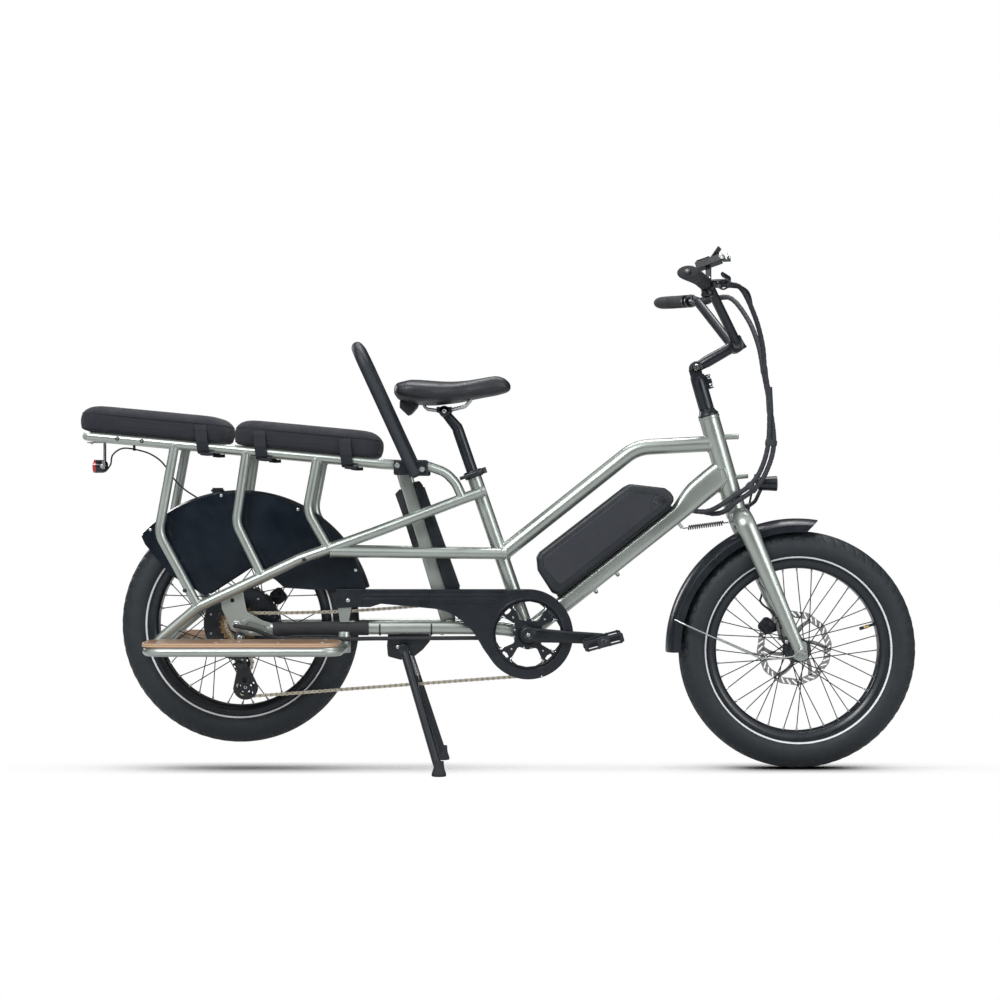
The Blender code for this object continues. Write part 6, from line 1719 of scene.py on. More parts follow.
# %% Calipers
def caliper(axle, angle, radius, y, arm):
    """The block's two halves, bridge, piston caps and arm, and apart from them its bolts."""
    out, round_ = polar(np.zeros(3), angle, 1.0), polar(np.zeros(3), angle + math.pi / 2, 1.0)
    centre = axle + out * radius + Y * y
    outline = rounded([
        (-16, -12), (-9, -18), (11, -18), (17, -11), (17, 11), (11, 18), (-9, 18), (-16, 12),
    ], 6, 4)

    def half(near, far):
        """One half of the block, between two distances from the disc."""
        ring = centre + outline[:, :1] * out + outline[:, 1:] * round_ + Y * near
        return slab(ring, Y * (far - near))

    shapes = [
        half(2.8, 10.0),
        half(-9.6, -3.0),
        block(centre + out * 14.0, out * 2.6, round_ * 11, Y * 9.0),
        turned(centre + Y * 9.5, Y, [(0, 11), (1.5, 11), (2.5, 9.5), (2.5, 0.01)], 32),
        turned(centre - Y * 9.4, -Y, [(0, 11), (1.0, 11), (1.6, 9.5), (1.6, 0.01)], 32),
        arm,
    ]
    spots = [centre + out * 9 * k + round_ * 13 * m + Y * 10 for k, m in ((1, 1), (1, -1), (-1, 1))]
    bolts = [bolt(spot, Y, 2.8, 2.0) for spot in spots]
    return shapes, bolts


rear_angle, front_angle = math.radians(37), math.radians(141)
rear_arm = block(polar(REAR_AXLE, rear_angle, 103) + point(-24, 62.1, -7), X * 16, Z * 8, Y * 5.1)
rear_shapes, rear_bolts = caliper(REAR_AXLE, rear_angle, 103, 51, rear_arm)
LEG_FORWARD, LEG_UP = unit(point(0.921, 0, 0.389)), unit(point(-0.389, 0, 0.921))
front_block = block(point(655, 47.7, 327), LEG_FORWARD * 14, LEG_UP * 9, Y * 2.6)
front_shapes, front_bolts = caliper(FRONT_AXLE, front_angle, 84, 39, front_block)
piece("caliper_rear", rear_shapes, FORGED, "frame", ["rear_caliper"], "black_metal", bevel=1.6)
piece("caliper_front", front_shapes, FORGED, "fork", ["front_caliper"], "black_metal", bevel=1.6)
piece("caliper_bolts_rear", rear_bolts, STEEL, "frame")
piece("caliper_bolts_front", front_bolts, STEEL, "fork")

# %% [markdown]
# The stand is a pair of splayed legs on one spindle, under a folded steel bracket that bolts to
# the chainstays. Rubber shoes flare out at the ground.

# %% Stand
STAND_PIVOT, STAND_FOOT = point(-224, 0, 284.5), point(-139.7, 147, 0)
BRACKET = rounded([
    (-262, 313), (-264, 292), (-262, 266), (-232, 258), (-205, 262), (-180, 282), (-163, 302), (-165, 313),
], 6, 4)
piece("stand_mount", [
    box(-262, -165, -49, 49, 309, 317.4),
    *both(prism(BRACKET, 44, 50)),
    rod(STAND_PIVOT - Y * 46, STAND_PIVOT + Y * 46, 11, 36),
], BLACK, "frame", ["stand_bracket"], "black_metal", bevel=1.2)
piece("stand_mount_bolts", both(bolt(point(-238, 50, 288), Y, 5, 3.2)), ALLOY, "frame")
SHOE = [(0, 14.5), (0, 16.2), (2, 17), (6, 16.6), (12, 14.6), (18, 12.6), (26, 11.6), (34, 11.4), (34, 9)]
legs, shoes = [rod(STAND_PIVOT - Y * 68, STAND_PIVOT + Y * 68, 6, 24)], []
for side in (-1, 1):
    foot = across(STAND_FOOT, side)
    legs.append(tube([STAND_PIVOT + Y * side * 67, foot + Z * 14], 10, 36))
    legs.append(rod(STAND_PIVOT + Y * side * 57, STAND_PIVOT + Y * side * 79, 12, 36))
    shoes.append(turned(foot, Z, SHOE, 40))
piece("stand_tubes", legs, BLACK, "stand", ["stand_legs"], "black_metal")
piece("stand_shoes", shoes, RUBBER, "stand", slot="rubber")


def coil(start, end, radius, wire, turns, sides=8, points=16):
    """A helix between two points, with straight leads at both ends."""
    along, first, second = axes(end - start)
    lead = 2 * (radius + wire)
    length = np.linalg.norm(end - start) - 2 * lead
    step = np.arange(turns * points + 1)
    angle, share = 2 * math.pi * step / points, step / (turns * points)
    out = np.cos(angle)[:, None] * first + np.sin(angle)[:, None] * second
    body = start + along * (lead + length * share)[:, None] + out * radius
    path = np.vstack([start, start + along * (lead - 3), body, end - along * (lead - 3), end])
    return tube(path, wire, sides)


stand_coil = coil(point(-212, -55, 279), point(-188, -62, 214), 4.2, 0.9, 14)
piece("stand_spring", [stand_coil], STEEL, "stand")

# %% [markdown]
# The fork: a round crown, two oval legs that curve out past the tyre and taper to the axle.
# The legs' two half widths both shrink with the distance travelled along the path.

# %% Fork
AXLE_SIDE = 61.5


def travelled(path):
    """How far along a path each of its points lies."""
    return np.concatenate([[0], np.cumsum(np.linalg.norm(np.diff(path, axis=0), axis=1))])


def fork_leg(side):
    """An oval bar from the crown to the axle, thinner from where it has left the crown."""
    corners = [
        point(560, 0, 599), point(564, 36 * side, 597), point(571, 60 * side, 580),
        point(634, 61 * side, 432), point(703, AXLE_SIDE * side, 270),
    ]
    path = fillet(corners, 30, 10)
    travel = travelled(path)
    share = np.clip((travel - 70) / (travel[-1] - 70), 0, 1)
    first, second = 23 - 9.5 * share, 15 - 4 * share
    return tube(path, first, 40, LEG_FORWARD, flat=second / first)


crown = [(-49, 18), (-48, 21.5), (-45, 24.4), (-41, 25), (-8, 25), (-5, 24.4), (-2, 21), (-1, 19)]
piece("fork_tubes", [
    turned(head(0), HEAD_UP, crown, 64),
    fork_leg(-1), fork_leg(1),
    block(head(-52, -17), HEAD_UP * 6, HEAD_FORWARD * 5.5, Y * 3),
], PAINT, "fork", ["fork"], "fork_paint")
tips = [prism(rounded([(683, 262), (690, 301), (712, 303), (717, 262), (700, 255)], 7, 5), 58, 67.5)]
piece("fork_tips", both(*tips), PAINT, "fork", slot="fork_paint", bevel=1.0)
piece("lower_cup", [washer(head(-1), HEAD_UP, 16, 24, 0.9, 56)], BLACK, "fork")
piece("front_axle", [
    rod(FRONT_AXLE - Y * 78, FRONT_AXLE + Y * 76, 5, 24),
    turned(FRONT_AXLE - Y * 67.5, -Y, [(0, 9.5), (8, 9.5), (10, 8.4), (11.5, 6)], 6),
    rod(FRONT_AXLE + Y * 71, FRONT_AXLE + Y * 77.5, 9, 32),
    bolt(point(668, 58, 301), Y, 4.5, 3), bolt(point(668, -58, 301), -Y, 4.5, 3),
], STEEL, "fork", slot="fork_paint", sharp=30)


def lever_point(up, y):
    """A point up the fork's leg from the axle, and out from the middle."""
    return FRONT_AXLE + LEG_UP * up + Y * y


quick_path = fillet([lever_point(0, 85), lever_point(24, 93), lever_point(62, 88)], 20, 8)
piece("axle_lever", [
    rod(lever_point(0, 85) - LEG_FORWARD * 8, lever_point(0, 85) + LEG_FORWARD * 8, 6.8, 32),
    tube(quick_path, 3.4, 24, Y, flat=np.linspace(1.9, 2.3, len(quick_path))),
], PLATED, "front_axle_lever", ["front_axle_lever"], "steel")

# %% [markdown]
# The headlight is a turned barrel with a clear front over a dished reflector, on a bent arm
# from the crown.

# %% Headlight
LAMP = point(604, 0, 670)
BARREL = [
    (0, 0.01), (0, 8.4), (1, 9.4), (6, 14.6), (9, 15.2), (42, 17.6), (46, 17.9), (49, 17.4), (49, 15.6),
    (46.5, 15.4), (30, 6), (30, 0.01),
]
DISH = [
    (0, 0.01), (0, 5.6), (3, 8.6), (8, 12), (14, 14.8), (15, 15.2), (14.4, 15.3), (7, 13.4), (-1, 8.0),
    (-1, 0.01),
]
FRONT_GLASS = [(0, 0.01), (0, 15.2), (1.4, 15.2), (2.4, 12), (3, 6), (3.1, 0.01)]
piece("lamp_body", [
    turned(LAMP, X, BARREL, 56),
    tube(fillet([point(616, 0, 658), point(602, 0, 628), head(-31, 30)], 20, 8), 4.5, 20),
    rod(head(-31, 25.5), head(-31, 33), 8, 28),
    *[washer(LAMP + X * (14 + 4 * k), X, 15.4, 16.6, 1.8) for k in range(4)],
], BLACK, "fork", ["headlight"], "black_plastic")
piece("lamp_reflector", [turned(LAMP + X * 31, X, DISH, 56)], PLATED, "fork")
piece("lamp_lens", [turned(LAMP + X * 46.6, X, FRONT_GLASS, 56)], LENS, "fork")

# %% [markdown]
# The stem: a clamp on the steerer, an arm that tilts about a pivot bolt between two ears, and
# the clamp that holds the bar.

# %% Stem
PIVOT = head(317.7, 2.2)
CLAMP = PIVOT + point(93, 0, 53)
ARM_ALONG = unit(CLAMP - PIVOT)
ARM_UP = point(-ARM_ALONG[2], 0, ARM_ALONG[0])
ARM_REACH = np.linalg.norm(CLAMP - PIVOT)
ears = []
for side in (-1, 1):
    ears.append(rod(PIVOT + Y * side * 9.1, PIVOT + Y * side * 16.9, 15, 40, 1.4))
    ears.append(block(head(303, -1) + Y * side * 13, HEAD_FORWARD * 13, HEAD_UP * 15, Y * 3.9))
POST = [(0, 14.6), (0, 17.2), (0.8, 17.8), (60, 17.8), (78, 17.4), (83, 16.2), (83, 0.01)]
piece("stem_clamp", [
    turned(head(217), HEAD_UP, POST, 56),
    washer(head(214), HEAD_UP, 14.6, 18.6, 2.8),
    *both(block(head(278, 20, 7), HEAD_FORWARD * 9, HEAD_UP * 17, Y * 5.6)),
    *ears,
], BLACK, "fork", ["stem_post"], "black_metal", bevel=1.4)
stem_bolts = []
for up in (268, 288):
    stem_bolts.append(rod(head(up, 25, -15), head(up, 25, 15), 2.6, 16))
    stem_bolts.append(rod(head(up, 25, -17), head(up, 25, -12.8), 5.0, 28))
PIVOT_CAP = [(-1, 7.4), (1.6, 7.4), (2.8, 6.4), (2.8, 3.4), (1.6, 3.1), (1.6, 0.01)]
piece("stem_hardware", [
    *stem_bolts,
    *[turned(PIVOT + Y * side * 17, Y * side, PIVOT_CAP, 36) for side in (-1, 1)],
    turned(PIVOT - Y * 16.6, -Y, [(0, 11.2), (0, 12.4), (0.7, 12.2), (0.7, 11.4)], 48, True),
], PLATED, "fork")
piece("stem_bar", [
    rod(PIVOT - Y * 8.6, PIVOT + Y * 8.6, 14.5, 48, 1.2),
    tube([PIVOT + ARM_ALONG * reach for reach in (4, 19, 30, ARM_REACH - 6)], [11.5, 12.6, 14, 13], 48),
    rod(CLAMP - Y * 23, CLAMP + Y * 23, 18.6, 56, 1.6),
    block(CLAMP + ARM_ALONG * 15, ARM_ALONG * 3.6, ARM_UP * 17, Y * 22.6),
], BLACK, "stem", ["stem_arm"], "black_metal", bevel=1.0)
spots = [CLAMP + ARM_ALONG * 18.6 + ARM_UP * 13 * k + Y * 15 * m for k in (-1, 1) for m in (-1, 1)]
piece("stem_face_bolts", [bolt(spot, ARM_ALONG, 3.4, 2.4) for spot in spots], STEEL, "stem")

# %% [markdown]
# The riser bar sweeps up and back to the grips. Everything on it is laid out along its outer
# straight part, with directions along, ahead of and above the bar.

# %% Handlebar and what it carries
BAR_R = 11.0
BAR_RISE = CLAMP + point(-76, 150, 121)
BAR_END = point(BAR_RISE[0] - 59, 340, BAR_RISE[2] + 13)
BAR_ALONG = unit(BAR_END - BAR_RISE)
BAR_FORWARD = unit(X - (X @ BAR_ALONG) * BAR_ALONG)
BAR_UP = np.cross(BAR_FORWARD, BAR_ALONG)
BAR_UP = BAR_UP if BAR_UP[2] > 0 else -BAR_UP
BAR_STRAIGHT = np.linalg.norm(BAR_END - BAR_RISE)


def on_bar(along, forward=0.0, up=0.0):
    """A point of the left side, from the bend outward along the bar."""
    return BAR_RISE + BAR_ALONG * along + BAR_FORWARD * forward + BAR_UP * up


left_half = [CLAMP + Y * 42, BAR_RISE, BAR_END]
bar_path = fillet([across(p) for p in reversed(left_half)] + left_half, 36, 14)
piece("riser_bar", [tube(bar_path, BAR_R, 40, X)], BLACK, "stem", ["handlebar"], "black_metal")

# %% Grips
def grip():
    """A round grip that widens into a palm rest; fine ribs run round its inner part."""
    at = np.array([64.0, 66, 110, 130, 150, 170, 185, 196, BAR_STRAIGHT + 2, BAR_STRAIGHT + 4])
    deep = np.array([13.5, 15.5, 15.5, 16.4, 18.4, 21.6, 23.8, 24.8, 24.2, 21.5])
    high = np.array([13.5, 15.5, 15.5, 15.5, 15.8, 15.8, 15.6, 15.4, 15.0, 12.5])
    back = np.array([0.0, 0, 0, 1, 3, 6, 8, 8.6, 8.4, 8.2])
    along = np.linspace(64, BAR_STRAIGHT + 4, 150)
    along[-6:] = BAR_STRAIGHT + np.array([1.0, 2.0, 2.8, 3.4, 3.8, 4.0])
    deep, high, back = (np.interp(along, at, row) for row in (deep, high, back))
    ribs = 0.35 * np.sin(along * 2.1) * (along < 150) * (along > 68)
    u, v = ellipse(40)
    forward = u * (deep + ribs)[:, None] - back[:, None]
    up = v * (high + ribs)[:, None]
    rings = BAR_RISE + along[:, None, None] * BAR_ALONG + forward[..., None] * BAR_FORWARD
    return grid(rings + up[..., None] * BAR_UP)


end_cap = turned(on_bar(BAR_STRAIGHT + 3, -8.4), BAR_ALONG, [(0, 9), (1.4, 9), (2.0, 8), (2.0, 0.01)], 32)
grip_collar = washer(on_bar(58.5), BAR_ALONG, 11.2, 15.6, 5.5)
for label, turn_side in (("left", list), ("right", opposite)):
    piece(f"palm_grip_{label}", turn_side([grip()]), RUBBER, "stem", [f"grip_{label}"], "rubber", sharp=60)
    piece(f"grip_collar_{label}", turn_side([grip_collar, end_cap]), BLACK, "stem")

# %% Brake levers and shifter
PERCH_RING = [(0, 11.2), (0, 15.4), (1, 16), (13, 16), (14, 15.4), (14, 11.2)]
perch = [
    turned(on_bar(33), BAR_ALONG, PERCH_RING, 48, True),
    *[block(on_bar(44, 23, up), BAR_ALONG * 9, BAR_FORWARD * 13, BAR_UP * 2.3) for up in (6.2, -6.2)],
    block(on_bar(41, 17, 0), BAR_ALONG * 6.5, BAR_FORWARD * 6, BAR_UP * 6.5),
    rod(on_bar(33, 24), on_bar(24, 26), 4.2, 24),
]
pod = [
    turned(on_bar(49, 4, -15), -BAR_UP, [(0, 11), (0, 13), (2, 14), (12, 14), (15, 12), (15, 0.01)], 48),
    block(on_bar(50, 2, -13.5), BAR_ALONG * 8.5, BAR_FORWARD * 7, BAR_UP * 3.6),
    turned(on_bar(49, 4, -15.2), BAR_UP, [(0, 14.4), (1.4, 14.4), (1.4, 10)], 48),
]
piece("lever_perch_left", perch, BLACK, "stem", ["perch_left"], "black_metal", bevel=0.9)
piece("lever_perch_right", opposite(perch + pod), BLACK, "stem", ["perch_right"], "black_metal", bevel=0.9)
perch_bolts = [bolt(on_bar(40, 8, 15.6), BAR_UP, 2.8, 2.2)]
perch_bolts.append(rod(on_bar(45, 29, -9.2), on_bar(45, 29, 9.2), 3.2, 20))
piece("perch_bolts", both(*perch_bolts), STEEL, "stem")


def lever_blade():
    """A flat bar that bends out ahead of the grip, on its pivot."""
    path = fillet([on_bar(45, 29), on_bar(58, 56), on_bar(92, 64), on_bar(152, 59), on_bar(158, 60)], 30, 10)
    share = np.linspace(0, 1, len(path))
    thick = np.interp(share, [0, 0.4, 0.9, 1], [2.6, 2.8, 3.0, 4.2])
    tall = np.interp(share, [0, 0.4, 0.9, 1], [5.6, 6.0, 6.2, 4.8])
    pivot = rod(on_bar(45, 29, -3.6), on_bar(45, 29, 3.6), 6.5, 28)
    return [tube(path, tall, 28, BAR_UP, flat=thick / tall), pivot]


for label, turn_side in (("left", list), ("right", opposite)):
    body = f"brake_lever_{label}"
    piece(f"brake_blade_{label}", turn_side(lever_blade()), BLACK, body, [body], "black_metal")
thumb = [
    turned(on_bar(49, 4, -30.6), -BAR_UP, [(0, 6.4), (0.6, 7), (3.4, 7), (4.4, 6), (4.4, 0.01)], 32),
    block(on_bar(49, -14, -32.8), BAR_ALONG * 4, BAR_FORWARD * 16, BAR_UP * 1.8),
    block(on_bar(49, -31, -31), BAR_ALONG * 7, BAR_FORWARD * 2, BAR_UP * 5),
]
piece("thumb_lever", opposite(thumb), PLASTIC, "shift_lever", ["shift_lever"], "black_plastic", bevel=1.0)

# %% [markdown]
# The display stands on a stalk inboard of the right grip, with the bell beside it. Its screen is
# a dark glossy pane, left blank.

# %% Display and bell
SCREEN_AHEAD, SCREEN_UP = unit(BAR_FORWARD + BAR_UP * 0.3), unit(BAR_UP - BAR_FORWARD * 0.3)
STALK_RING = [(0, 11.2), (0, 14.4), (0.8, 15), (12.2, 15), (13, 14.4), (13, 11.2)]
display = [
    turned(on_bar(17), BAR_ALONG, STALK_RING, 48, True),
    block(on_bar(23.5, 2, 30), BAR_ALONG * 5, BAR_FORWARD * 6, BAR_UP * 17),
    block(on_bar(23.5, 3, 52), BAR_ALONG * 20, SCREEN_AHEAD * 28, SCREEN_UP * 8),
    block(on_bar(23, 44, 55.8), BAR_ALONG * 4, BAR_FORWARD * 9, BAR_UP * 2.8),
]
visor_along = unit(SCREEN_AHEAD + SCREEN_UP * 0.75)
visor_through = np.cross(BAR_ALONG, visor_along)
visor_at = on_bar(23.5, 8, 58) + visor_along * 21
display.append(block(visor_at, BAR_ALONG * 16, visor_along * 14, visor_through * 1.6))
pane_at = on_bar(23.5, -6, 52) + SCREEN_UP * 8.1
pane = block(pane_at, BAR_ALONG * 17, SCREEN_AHEAD * 16, SCREEN_UP * 0.7)
piece("display_case", opposite(display), PLASTIC, "stem", ["display"], "black_plastic", bevel=1.6)
piece("display_pane", [mirrored(pane)], GLOSSY, "stem", bevel=0.5)
BELL_DOME = [(6, 0.01), (6, 13), (8, 14.2), (10, 14.2), (14, 13), (17.5, 10), (20, 5.5), (21, 0.01)]
piece("bell_dome", [mirrored(turned(on_bar(23, 27, 52), BAR_UP, BELL_DOME, 48))], PLATED, "stem")
striker = [
    rod(on_bar(23, 49, 59), on_bar(23, 49, 65), 4, 24),
    block(on_bar(23, 44.5, 69), BAR_ALONG * 2, BAR_FORWARD * 1.6, BAR_UP * 6),
    block(on_bar(32, 49, 62), BAR_ALONG * 10, BAR_FORWARD * 1.6, BAR_UP * 2),
]
piece("bell_striker", opposite(striker), STEEL, "bell_lever", ["bell_lever"], "steel", bevel=0.6)

# %% [markdown]
# Cables. Two looms in braided sleeve run from the bar, down ahead of the head tube and into the down tube.
# The braid is in the surface itself: two families of spirals wind opposite ways, and where either passes the
# radius rises. The loom crosses two joints and is made in two lengths; both are taken off their bodies and
# stay fixed where they lie.

# %% Braided looms
LOOM_R = 6.0
right_route = [
    across(on_bar(33.2, 24)), across(on_bar(18, 28)), across(on_bar(0, 40, 4)), (556, -112, 1118),
    (592, -78, 1056), (612, -57, 992), (619, -46, 935), (631, -42, 866), (628, -39, 765), (610, -38, 701),
    (584, -38, 665), (547, -38, 640), (515, -34, 618), (492, -19, 606), (470, -7, 604), (452, -6.7, 606.4),
]
left_route = [
    on_bar(33.2, 24), on_bar(18, 28), on_bar(0, 40, 4), (556, 104, 1118),
    (590, 50, 1064), (609, 2, 1000), (617, -32, 935), (631, -28.6, 866), (641.2, -37, 765),
    (622.8, -37, 696), (593.5, -38, 655.5), (554, -38.5, 627.5), (527, -27, 605), (505, -9, 599),
    (482, 5, 602.5), (452, 6.7, 606.4),
]
SPLIT = 7


def braid(route):
    """A tube whose radius rises along two families of crossing spirals."""
    rough_path = spline(route, 16)
    travel = travelled(rough_path)
    at = np.arange(0, travel[-1], 1.5)
    path = np.stack([np.interp(at, travel, rough_path[:, k]) for k in range(3)], axis=1)
    angle = (np.arange(20) * 2 * math.pi / 20)[None]
    turn = at[:, None] * 0.42
    relief = 0.6 * np.maximum(np.sin(4 * angle + turn), np.sin(4 * angle - turn))
    radius = LOOM_R - 0.6 + relief
    return grid(rings_on(path, *frames(path), radius * np.cos(angle), radius * np.sin(angle)))


def band(first, second, along, half=7.0):
    """A smooth sleeve round both looms where they run side by side."""
    middle = (np.asarray(first, float) + np.asarray(second, float)) / 2
    apart = unit(np.asarray(second, float) - np.asarray(first, float))
    along = unit(along)
    reach = np.linspace(-half, half, 9)
    path = middle + reach[:, None] * along
    swell = 14.5 - 1.2 * (np.abs(reach) / half) ** 4
    return tube(path, swell, 32, apart, flat=7.9 / swell)


upper_loom = piece("loom_upper", [
    braid(right_route[: SPLIT + 1]), braid(left_route[: SPLIT + 1]),
    band((619, -46, 935), (617, -32, 935), (14, 4, -126)),
], BRAID, "fork", ["cable_loom"], "braid")
lower_loom = piece("loom_lower", [
    braid(right_route[SPLIT:]), braid(left_route[SPLIT:]),
    band((631, -42, 866), (631, -28.6, 866), (5, 4, -85), 30),
    band((628, -39, 765), (641.2, -37, 765), (-11, 2, -82)),
    band((584, -38, 665), (593.5, -38, 655.5), (-32, 0, -31)),
], BRAID, "frame", slot="braid")

# %% Control wires
WIRES = [(-1, 66, [(26, -6, 3), (22, 9, -4), (30, 2, 8)]), (1, 52, [(24, -5, 2), (28, 7, -5)])]
wires = []
for side, low_y, starts in WIRES:
    for k, (forward, up, spread) in enumerate(starts):
        route = [on_bar(34 + 6 * k, forward, up), on_bar(14, 34 + 5 * k, up * 1.4)]
        route += [on_bar(-10, 44 + spread, up + 6), (566 + spread, 98, 1112), (590, low_y, 1062)]
        wires.append(tube(spline([across(p, side) for p in route], 8), 2.1, 12))
piece("control_wires", wires, RUBBER, "stem", slot="rubber")


def bend_between(obj, start, end):
    """The piece is taken off its body, and its place is baked into its mesh."""
    obj.parent = None
    start, end = (tuple(np.asarray(at, float) * MM) for at in (start, end))
    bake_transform(obj)


bend_between(upper_loom, (560, -80, 1110), (629, -36, 880))
bend_between(lower_loom, (590, -38, 668), (505, -20, 605))

# %% Hoses, harness and spring
caliper_round = polar(np.zeros(3), front_angle + math.pi / 2, 1.0)
caliper_top = polar(FRONT_AXLE, front_angle, 84, 45.4) - caliper_round * 19.6
hose = spline([
    (606, 27, 692), (600, 45, 650), (596, 70, 612), (594, 81, 560), (614, 81, 500), (630, 79, 440),
    (627, 72, 405), (622, 60, 390), (631, 48, 378), (648, 45.4, 366), caliper_top - caliper_round * 9,
    caliper_top,
])
piece("brake_hose", [tube(hose, 2.5, 16)], RUBBER, "fork", ["front_brake_cable"], "rubber")
harness = spline([
    (-611, -88.5, 340), (-611, -100, 340), (-596, -105, 338), (-566, -99, 331), (-535, -91, 318),
    (-500, -87, 309.4), (-400, -85, 309.2), (-345, -81, 309), (-300, -67, 309), (-224, -61.5, 309),
    (-150, -56, 309), (-80, -49, 309), (-46, -43.5, 308.5),
])
piece("motor_harness", [tube(harness, 4.8, 20)], RUBBER, "frame", ["motor_cable"], "rubber")
clips = []
for x in (-160, -280):
    y = np.interp(x, [-470, -332, -35], [66, 58, 36.5])
    clips.append(tube([point(x - 2, -y, 331), point(x + 2, -y, 331)], 10, 28, Y, flat=16 / 10))
piece("harness_clips", clips, RUBBER, "frame", bevel=0.6)
sleeve_x, falling = np.linspace(-306, -528, 16), chainstay[::-1]
sleeve_y, sleeve_z = (np.interp(sleeve_x, falling[:, 0], falling[:, k]) for k in (1, 2))
sleeve = np.stack([sleeve_x, -sleeve_y, sleeve_z], axis=1)
piece("stay_sleeve", [tube(sleeve, 10.6, 36, Y, flat=16.6 / 10.6)], RUBBER, "frame", slot="rubber")
spring_start, spring_end = down(439, -34.5), head(-54, -24.2)
spring = piece("centring_spring", [
    coil(spring_start, spring_end, 4.8, 1.4, 16),
], DARK_STEEL, "frame", ["steering_spring"], "steel")
bend_between(spring, spring_start + (spring_end - spring_start) * 0.1, spring_end)

# %% [markdown]
# Two padded seats lie on the rails. Each starts as a rounded box with drawn-in sides, a little
# smaller than it will be. Blender's cloth then blows it up under pressure, and how far a point
# may move is capped, which leaves the soft swells and slack corners of a stuffed cover.

# %% Padded seats
def pad_box(start, end, height, half_width, shrink):
    """A cushion standing on the rails: rings of a rounded plan, drawn in towards both faces."""
    above = RAIL_R * math.cos(math.pi / 8) + 0.7
    origin = point(start, 0, rail_height(start) + above)
    along = point(end, 0, rail_height(end) + above) - origin
    length = np.linalg.norm(along)
    along = along / length
    up = np.cross(along, Y)
    up = up if up[2] > 0 else -up
    levels = [
        (16, 0.8), (9, 2.0), (4.5, 5), (1.6, 11), (0.5, 20), (0.4, 30), (1.2, 38), (3.4, height - 15),
        (8, height - 8), (15, height - 3.5), (26, height - 1.4), (44, height - 0.8), (70, height - 0.6),
    ]
    plan = rounded_plan(0, length, -half_width, half_width, 30, 12)
    middle, middle_half = np.array([length / 2, 0.0]), np.array([length / 2, half_width])

    def ring_at(inset, level):
        """One ring: its ends draw in half as much again as its sides."""
        drawn = np.array([1.5 * inset + shrink, inset + shrink]) / middle_half
        ring = middle + (plan - middle) * (1 - drawn)
        return origin + along * ring[:, :1] + Y * ring[:, 1:] + up * level

    return grid(np.array([ring_at(inset, level) for inset, level in levels])), origin, up, ring_at


# %% [markdown]
# The cloth run is short: the cover is evened out to small squares, blown up for twenty frames,
# and its moves are cut at a few millimetres. Towards the cover's foot they fade to none.

# %% Blown-up covers
VOXEL, PRESSURE, CLOTH_FRAMES, MOST_MOVE, HELD_LOW = 0.006, 4.0, 20, 0.0035, 0.012


def inflate(obj, cap):
    """Voxel remesh, a short cloth run under pressure, then the moves capped and kept."""
    bpy.context.view_layer.objects.active = obj
    remesh = obj.modifiers.new("even", "REMESH")
    remesh.mode, remesh.voxel_size = "VOXEL", VOXEL
    bpy.ops.object.modifier_apply(modifier=remesh.name)
    rest = np.array([v.co for v in obj.data.vertices])
    cloth = obj.modifiers.new("cloth", "CLOTH")
    cloth.settings.use_pressure = True
    cloth.settings.uniform_pressure_force = PRESSURE
    cloth.settings.effector_weights.gravity = 0.0
    scene = bpy.context.scene
    for number in range(1, CLOTH_FRAMES + 1):
        scene.frame_set(number)
    posed = obj.evaluated_get(bpy.context.evaluated_depsgraph_get())
    blown = np.array([v.co for v in posed.data.vertices])
    obj.modifiers.remove(cloth)
    scene.frame_set(1)
    step = blown - rest
    far = np.linalg.norm(step, axis=1)[:, None]
    return rest, step * np.minimum(1.0, cap / np.maximum(far, 1e-9))


# %% Both pads
PAD_HEIGHT, PAD_HALF, PAD_SHRINK = 60.0, 105.0, 3.0
for label, start, end in (("rear", -983, -630), ("front", -626, -274)):
    shape, origin, up, ring_at = pad_box(start, end, PAD_HEIGHT, PAD_HALF, PAD_SHRINK)
    cushion = piece(f"seat_pad_{label}", [shape], CLOTH, "frame", [f"pad_{label}"], "pad_cloth", sharp=180)
    rest, step = inflate(cushion, MOST_MOVE)
    height = (rest - origin * MM) @ up
    settled = rest + step * np.clip(height / HELD_LOW, 0, 1)[:, None]
    cushion.data.vertices.foreach_set("co", settled.astype(np.float32).ravel())
    cushion.data.shade_smooth()
    bpy.context.view_layer.update()
    seams = []
    for inset, level in ((2.4, 43.0), (3.4, 7.0)):
        found = [cushion.closest_point_on_mesh(Vector(p * MM)) for p in ring_at(inset, level)]
        path = np.array([tuple(at) for _, at, _, _ in found]) / MM
        outward = unit_rows(np.array([tuple(normal) for _, _, normal, _ in found]))
        u, v = ellipse(8)
        thick = u[None, :, None] * outward[:, None] + v[None, :, None] * up
        seams.append(grid(path[:, None] + 0.9 * thick, looped=True))
    smooth = cushion.modifiers.new("smooth", "SUBSURF")
    smooth.levels = smooth.render_levels = 1
    piece(f"pad_piping_{label}", seams, WEBBING, "frame", slot="pad_cloth")

# %% [markdown]
# Webbing straps hold the pads down. Each comes off the pad's side, passes round the rail and
# ends in a buckle under it. A strap is a thin flat bar bent along a path.

# %% Straps
def strap(x, side):
    """A flat band from the pad's side, round under the rail to a folded end."""
    z = rail_height(x)
    rows = [(100, 50), (106.5, 38), (107, 14), (103, 0), (99, -12), (90, -15), (82, -15.5)]
    path = fillet([point(x - 0.09 * dz, side * y, z + dz) for y, dz in rows], 8, 5)
    strip = tube(path, 13.5, 20, X, power=0.35, flat=1.0 / 13.5)
    tail = [(x - 4, side * 96, z - 16), (x + 10, side * 97, z - 17.5), (x + 24, side * 97, z - 17)]
    return [strip, tube(tail, 9, 16, Y, power=0.3, flat=0.42)]


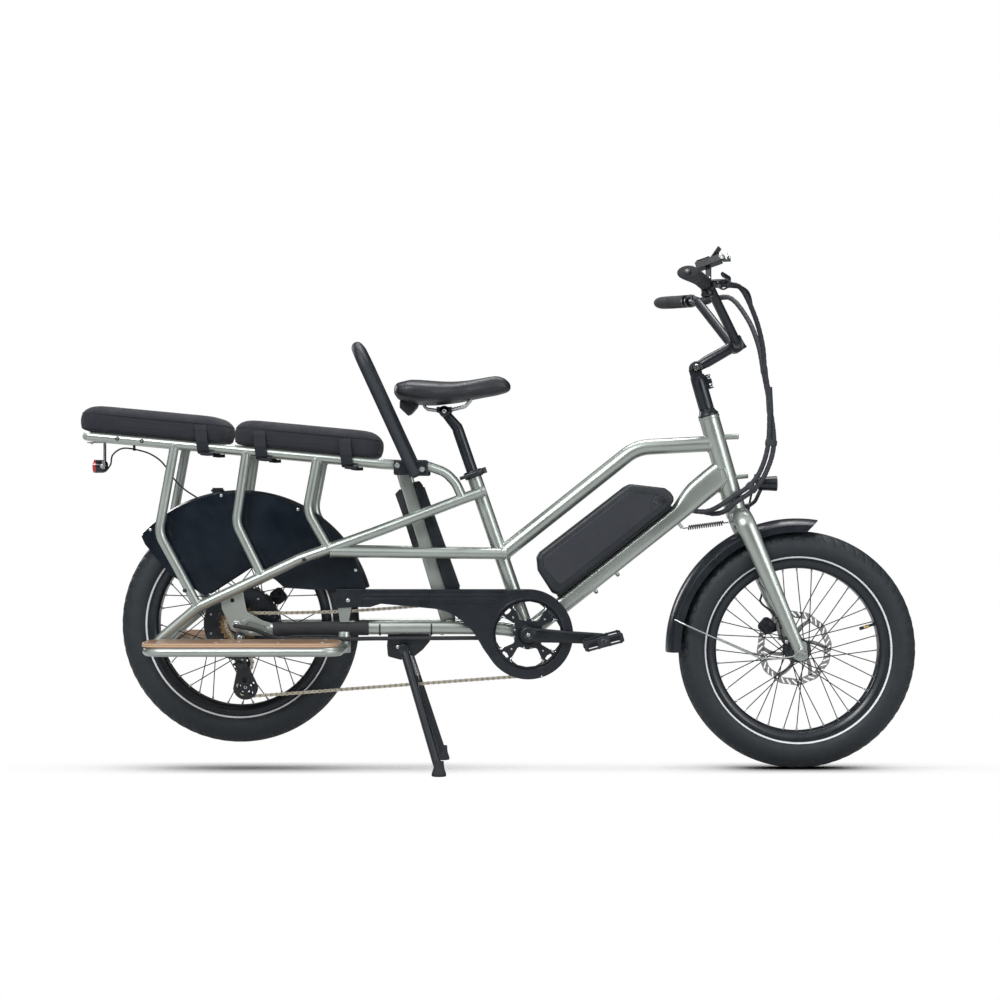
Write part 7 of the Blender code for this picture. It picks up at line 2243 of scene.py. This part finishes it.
STRAP_AT = (-687, -552, -354)
straps = [shape for x in STRAP_AT for side in (-1, 1) for shape in strap(x, side)]
piece("pad_straps", straps, WEBBING, "frame", bevel=0.5)

# %% [markdown]
# The saddle's cover is one surface: its half width, top and underside follow its length, and a
# shallow channel runs down the middle. The underside is cut off by a plastic base.

# %% Saddle
SADDLE = spline([
    (-249, 8, 896, 882), (-248, 40, 899, 880), (-244, 70, 903, 874), (-238, 88, 907, 868),
    (-222, 98, 911, 862), (-206, 101, 914, 858), (-178, 99, 913, 855), (-150, 93, 911, 855),
    (-130, 83, 910, 857), (-110, 72, 910, 859), (-90, 59, 911.5, 862), (-70, 48, 914, 866),
    (-40, 38, 919.5, 872), (-12, 32, 924, 877), (4, 28, 921, 881), (14, 23, 915.5, 884),
    (21, 15, 909, 888), (25, 5, 902, 893),
], 5)


def saddle_cover():
    """Rings across the saddle, a little squarer than ovals, with a channel along the middle."""
    x, half, top, low = (SADDLE[:, k, None] for k in range(4))
    u, v = ellipse(64, 0.78)
    y = u * np.maximum(half, 1.0)
    z = (top + low) / 2 + v * ((top - low) / 2)
    reach = np.clip((x + 225) / 60, 0, 1) * np.clip((10 - x) / 50, 0, 1)
    channel = 4.0 * np.exp(-((y / 9) ** 2)) * (v > 0) * reach
    return grid(np.stack([np.broadcast_to(x, y.shape), y, z - channel], axis=2))


cover = piece("saddle_top", [saddle_cover()], LEATHER, "seat", ["saddle"], "saddle_cover", sharp=180)
BASE = rounded([(-236, 866), (-190, 866), (-194, 850), (-208, 834), (-217, 830), (-236, 848)], 4, 4)
piece("saddle_base", [prism(BASE, -24, 24)], PLASTIC, "seat", slot="saddle_cover", bevel=4.0)
seam_z = SADDLE[:, 3] * 0.62 + SADDLE[:, 2] * 0.38
seam_low = np.stack([SADDLE[:, 0], SADDLE[:, 1] * 0.985, seam_z], axis=1)[8:-6]
piece("saddle_seams", both(tube(seam_low, 0.9, 8)), PLASTIC, "seat")

# %% Seatpost
rails = []
for side in (-1, 1):
    rail_corners = [(-183, 868), (-176, 846), (-146, 842), (-110, 845), (-82, 852), (-68, 868)]
    rails.append(tube(fillet([point(x, 22 * side, z) for x, z in rail_corners], 14, 8), 3.5, 20, Y))
piece("post_tube", [
    tube([seat(180), seat(505)], 13.6, 48),
    tube([seat(500), seat(512), point(-129, 0, 836)], [13.6, 13.2, 10.5], 40),
    rod(point(-131, -27, 840), point(-131, 27, 840), 13, 40, 1.5),
    *both(box(-149, -113, 17, 27, 838, 850)),
], BLACK, "seat", ["seatpost"], "black_metal", bevel=0.8)
piece("saddle_rails", rails, STEEL, "seat")
piece("post_bolts", [rod(point(-131, -30, 840), point(-131, 30, 840), 5, 24)], PLATED, "seat")
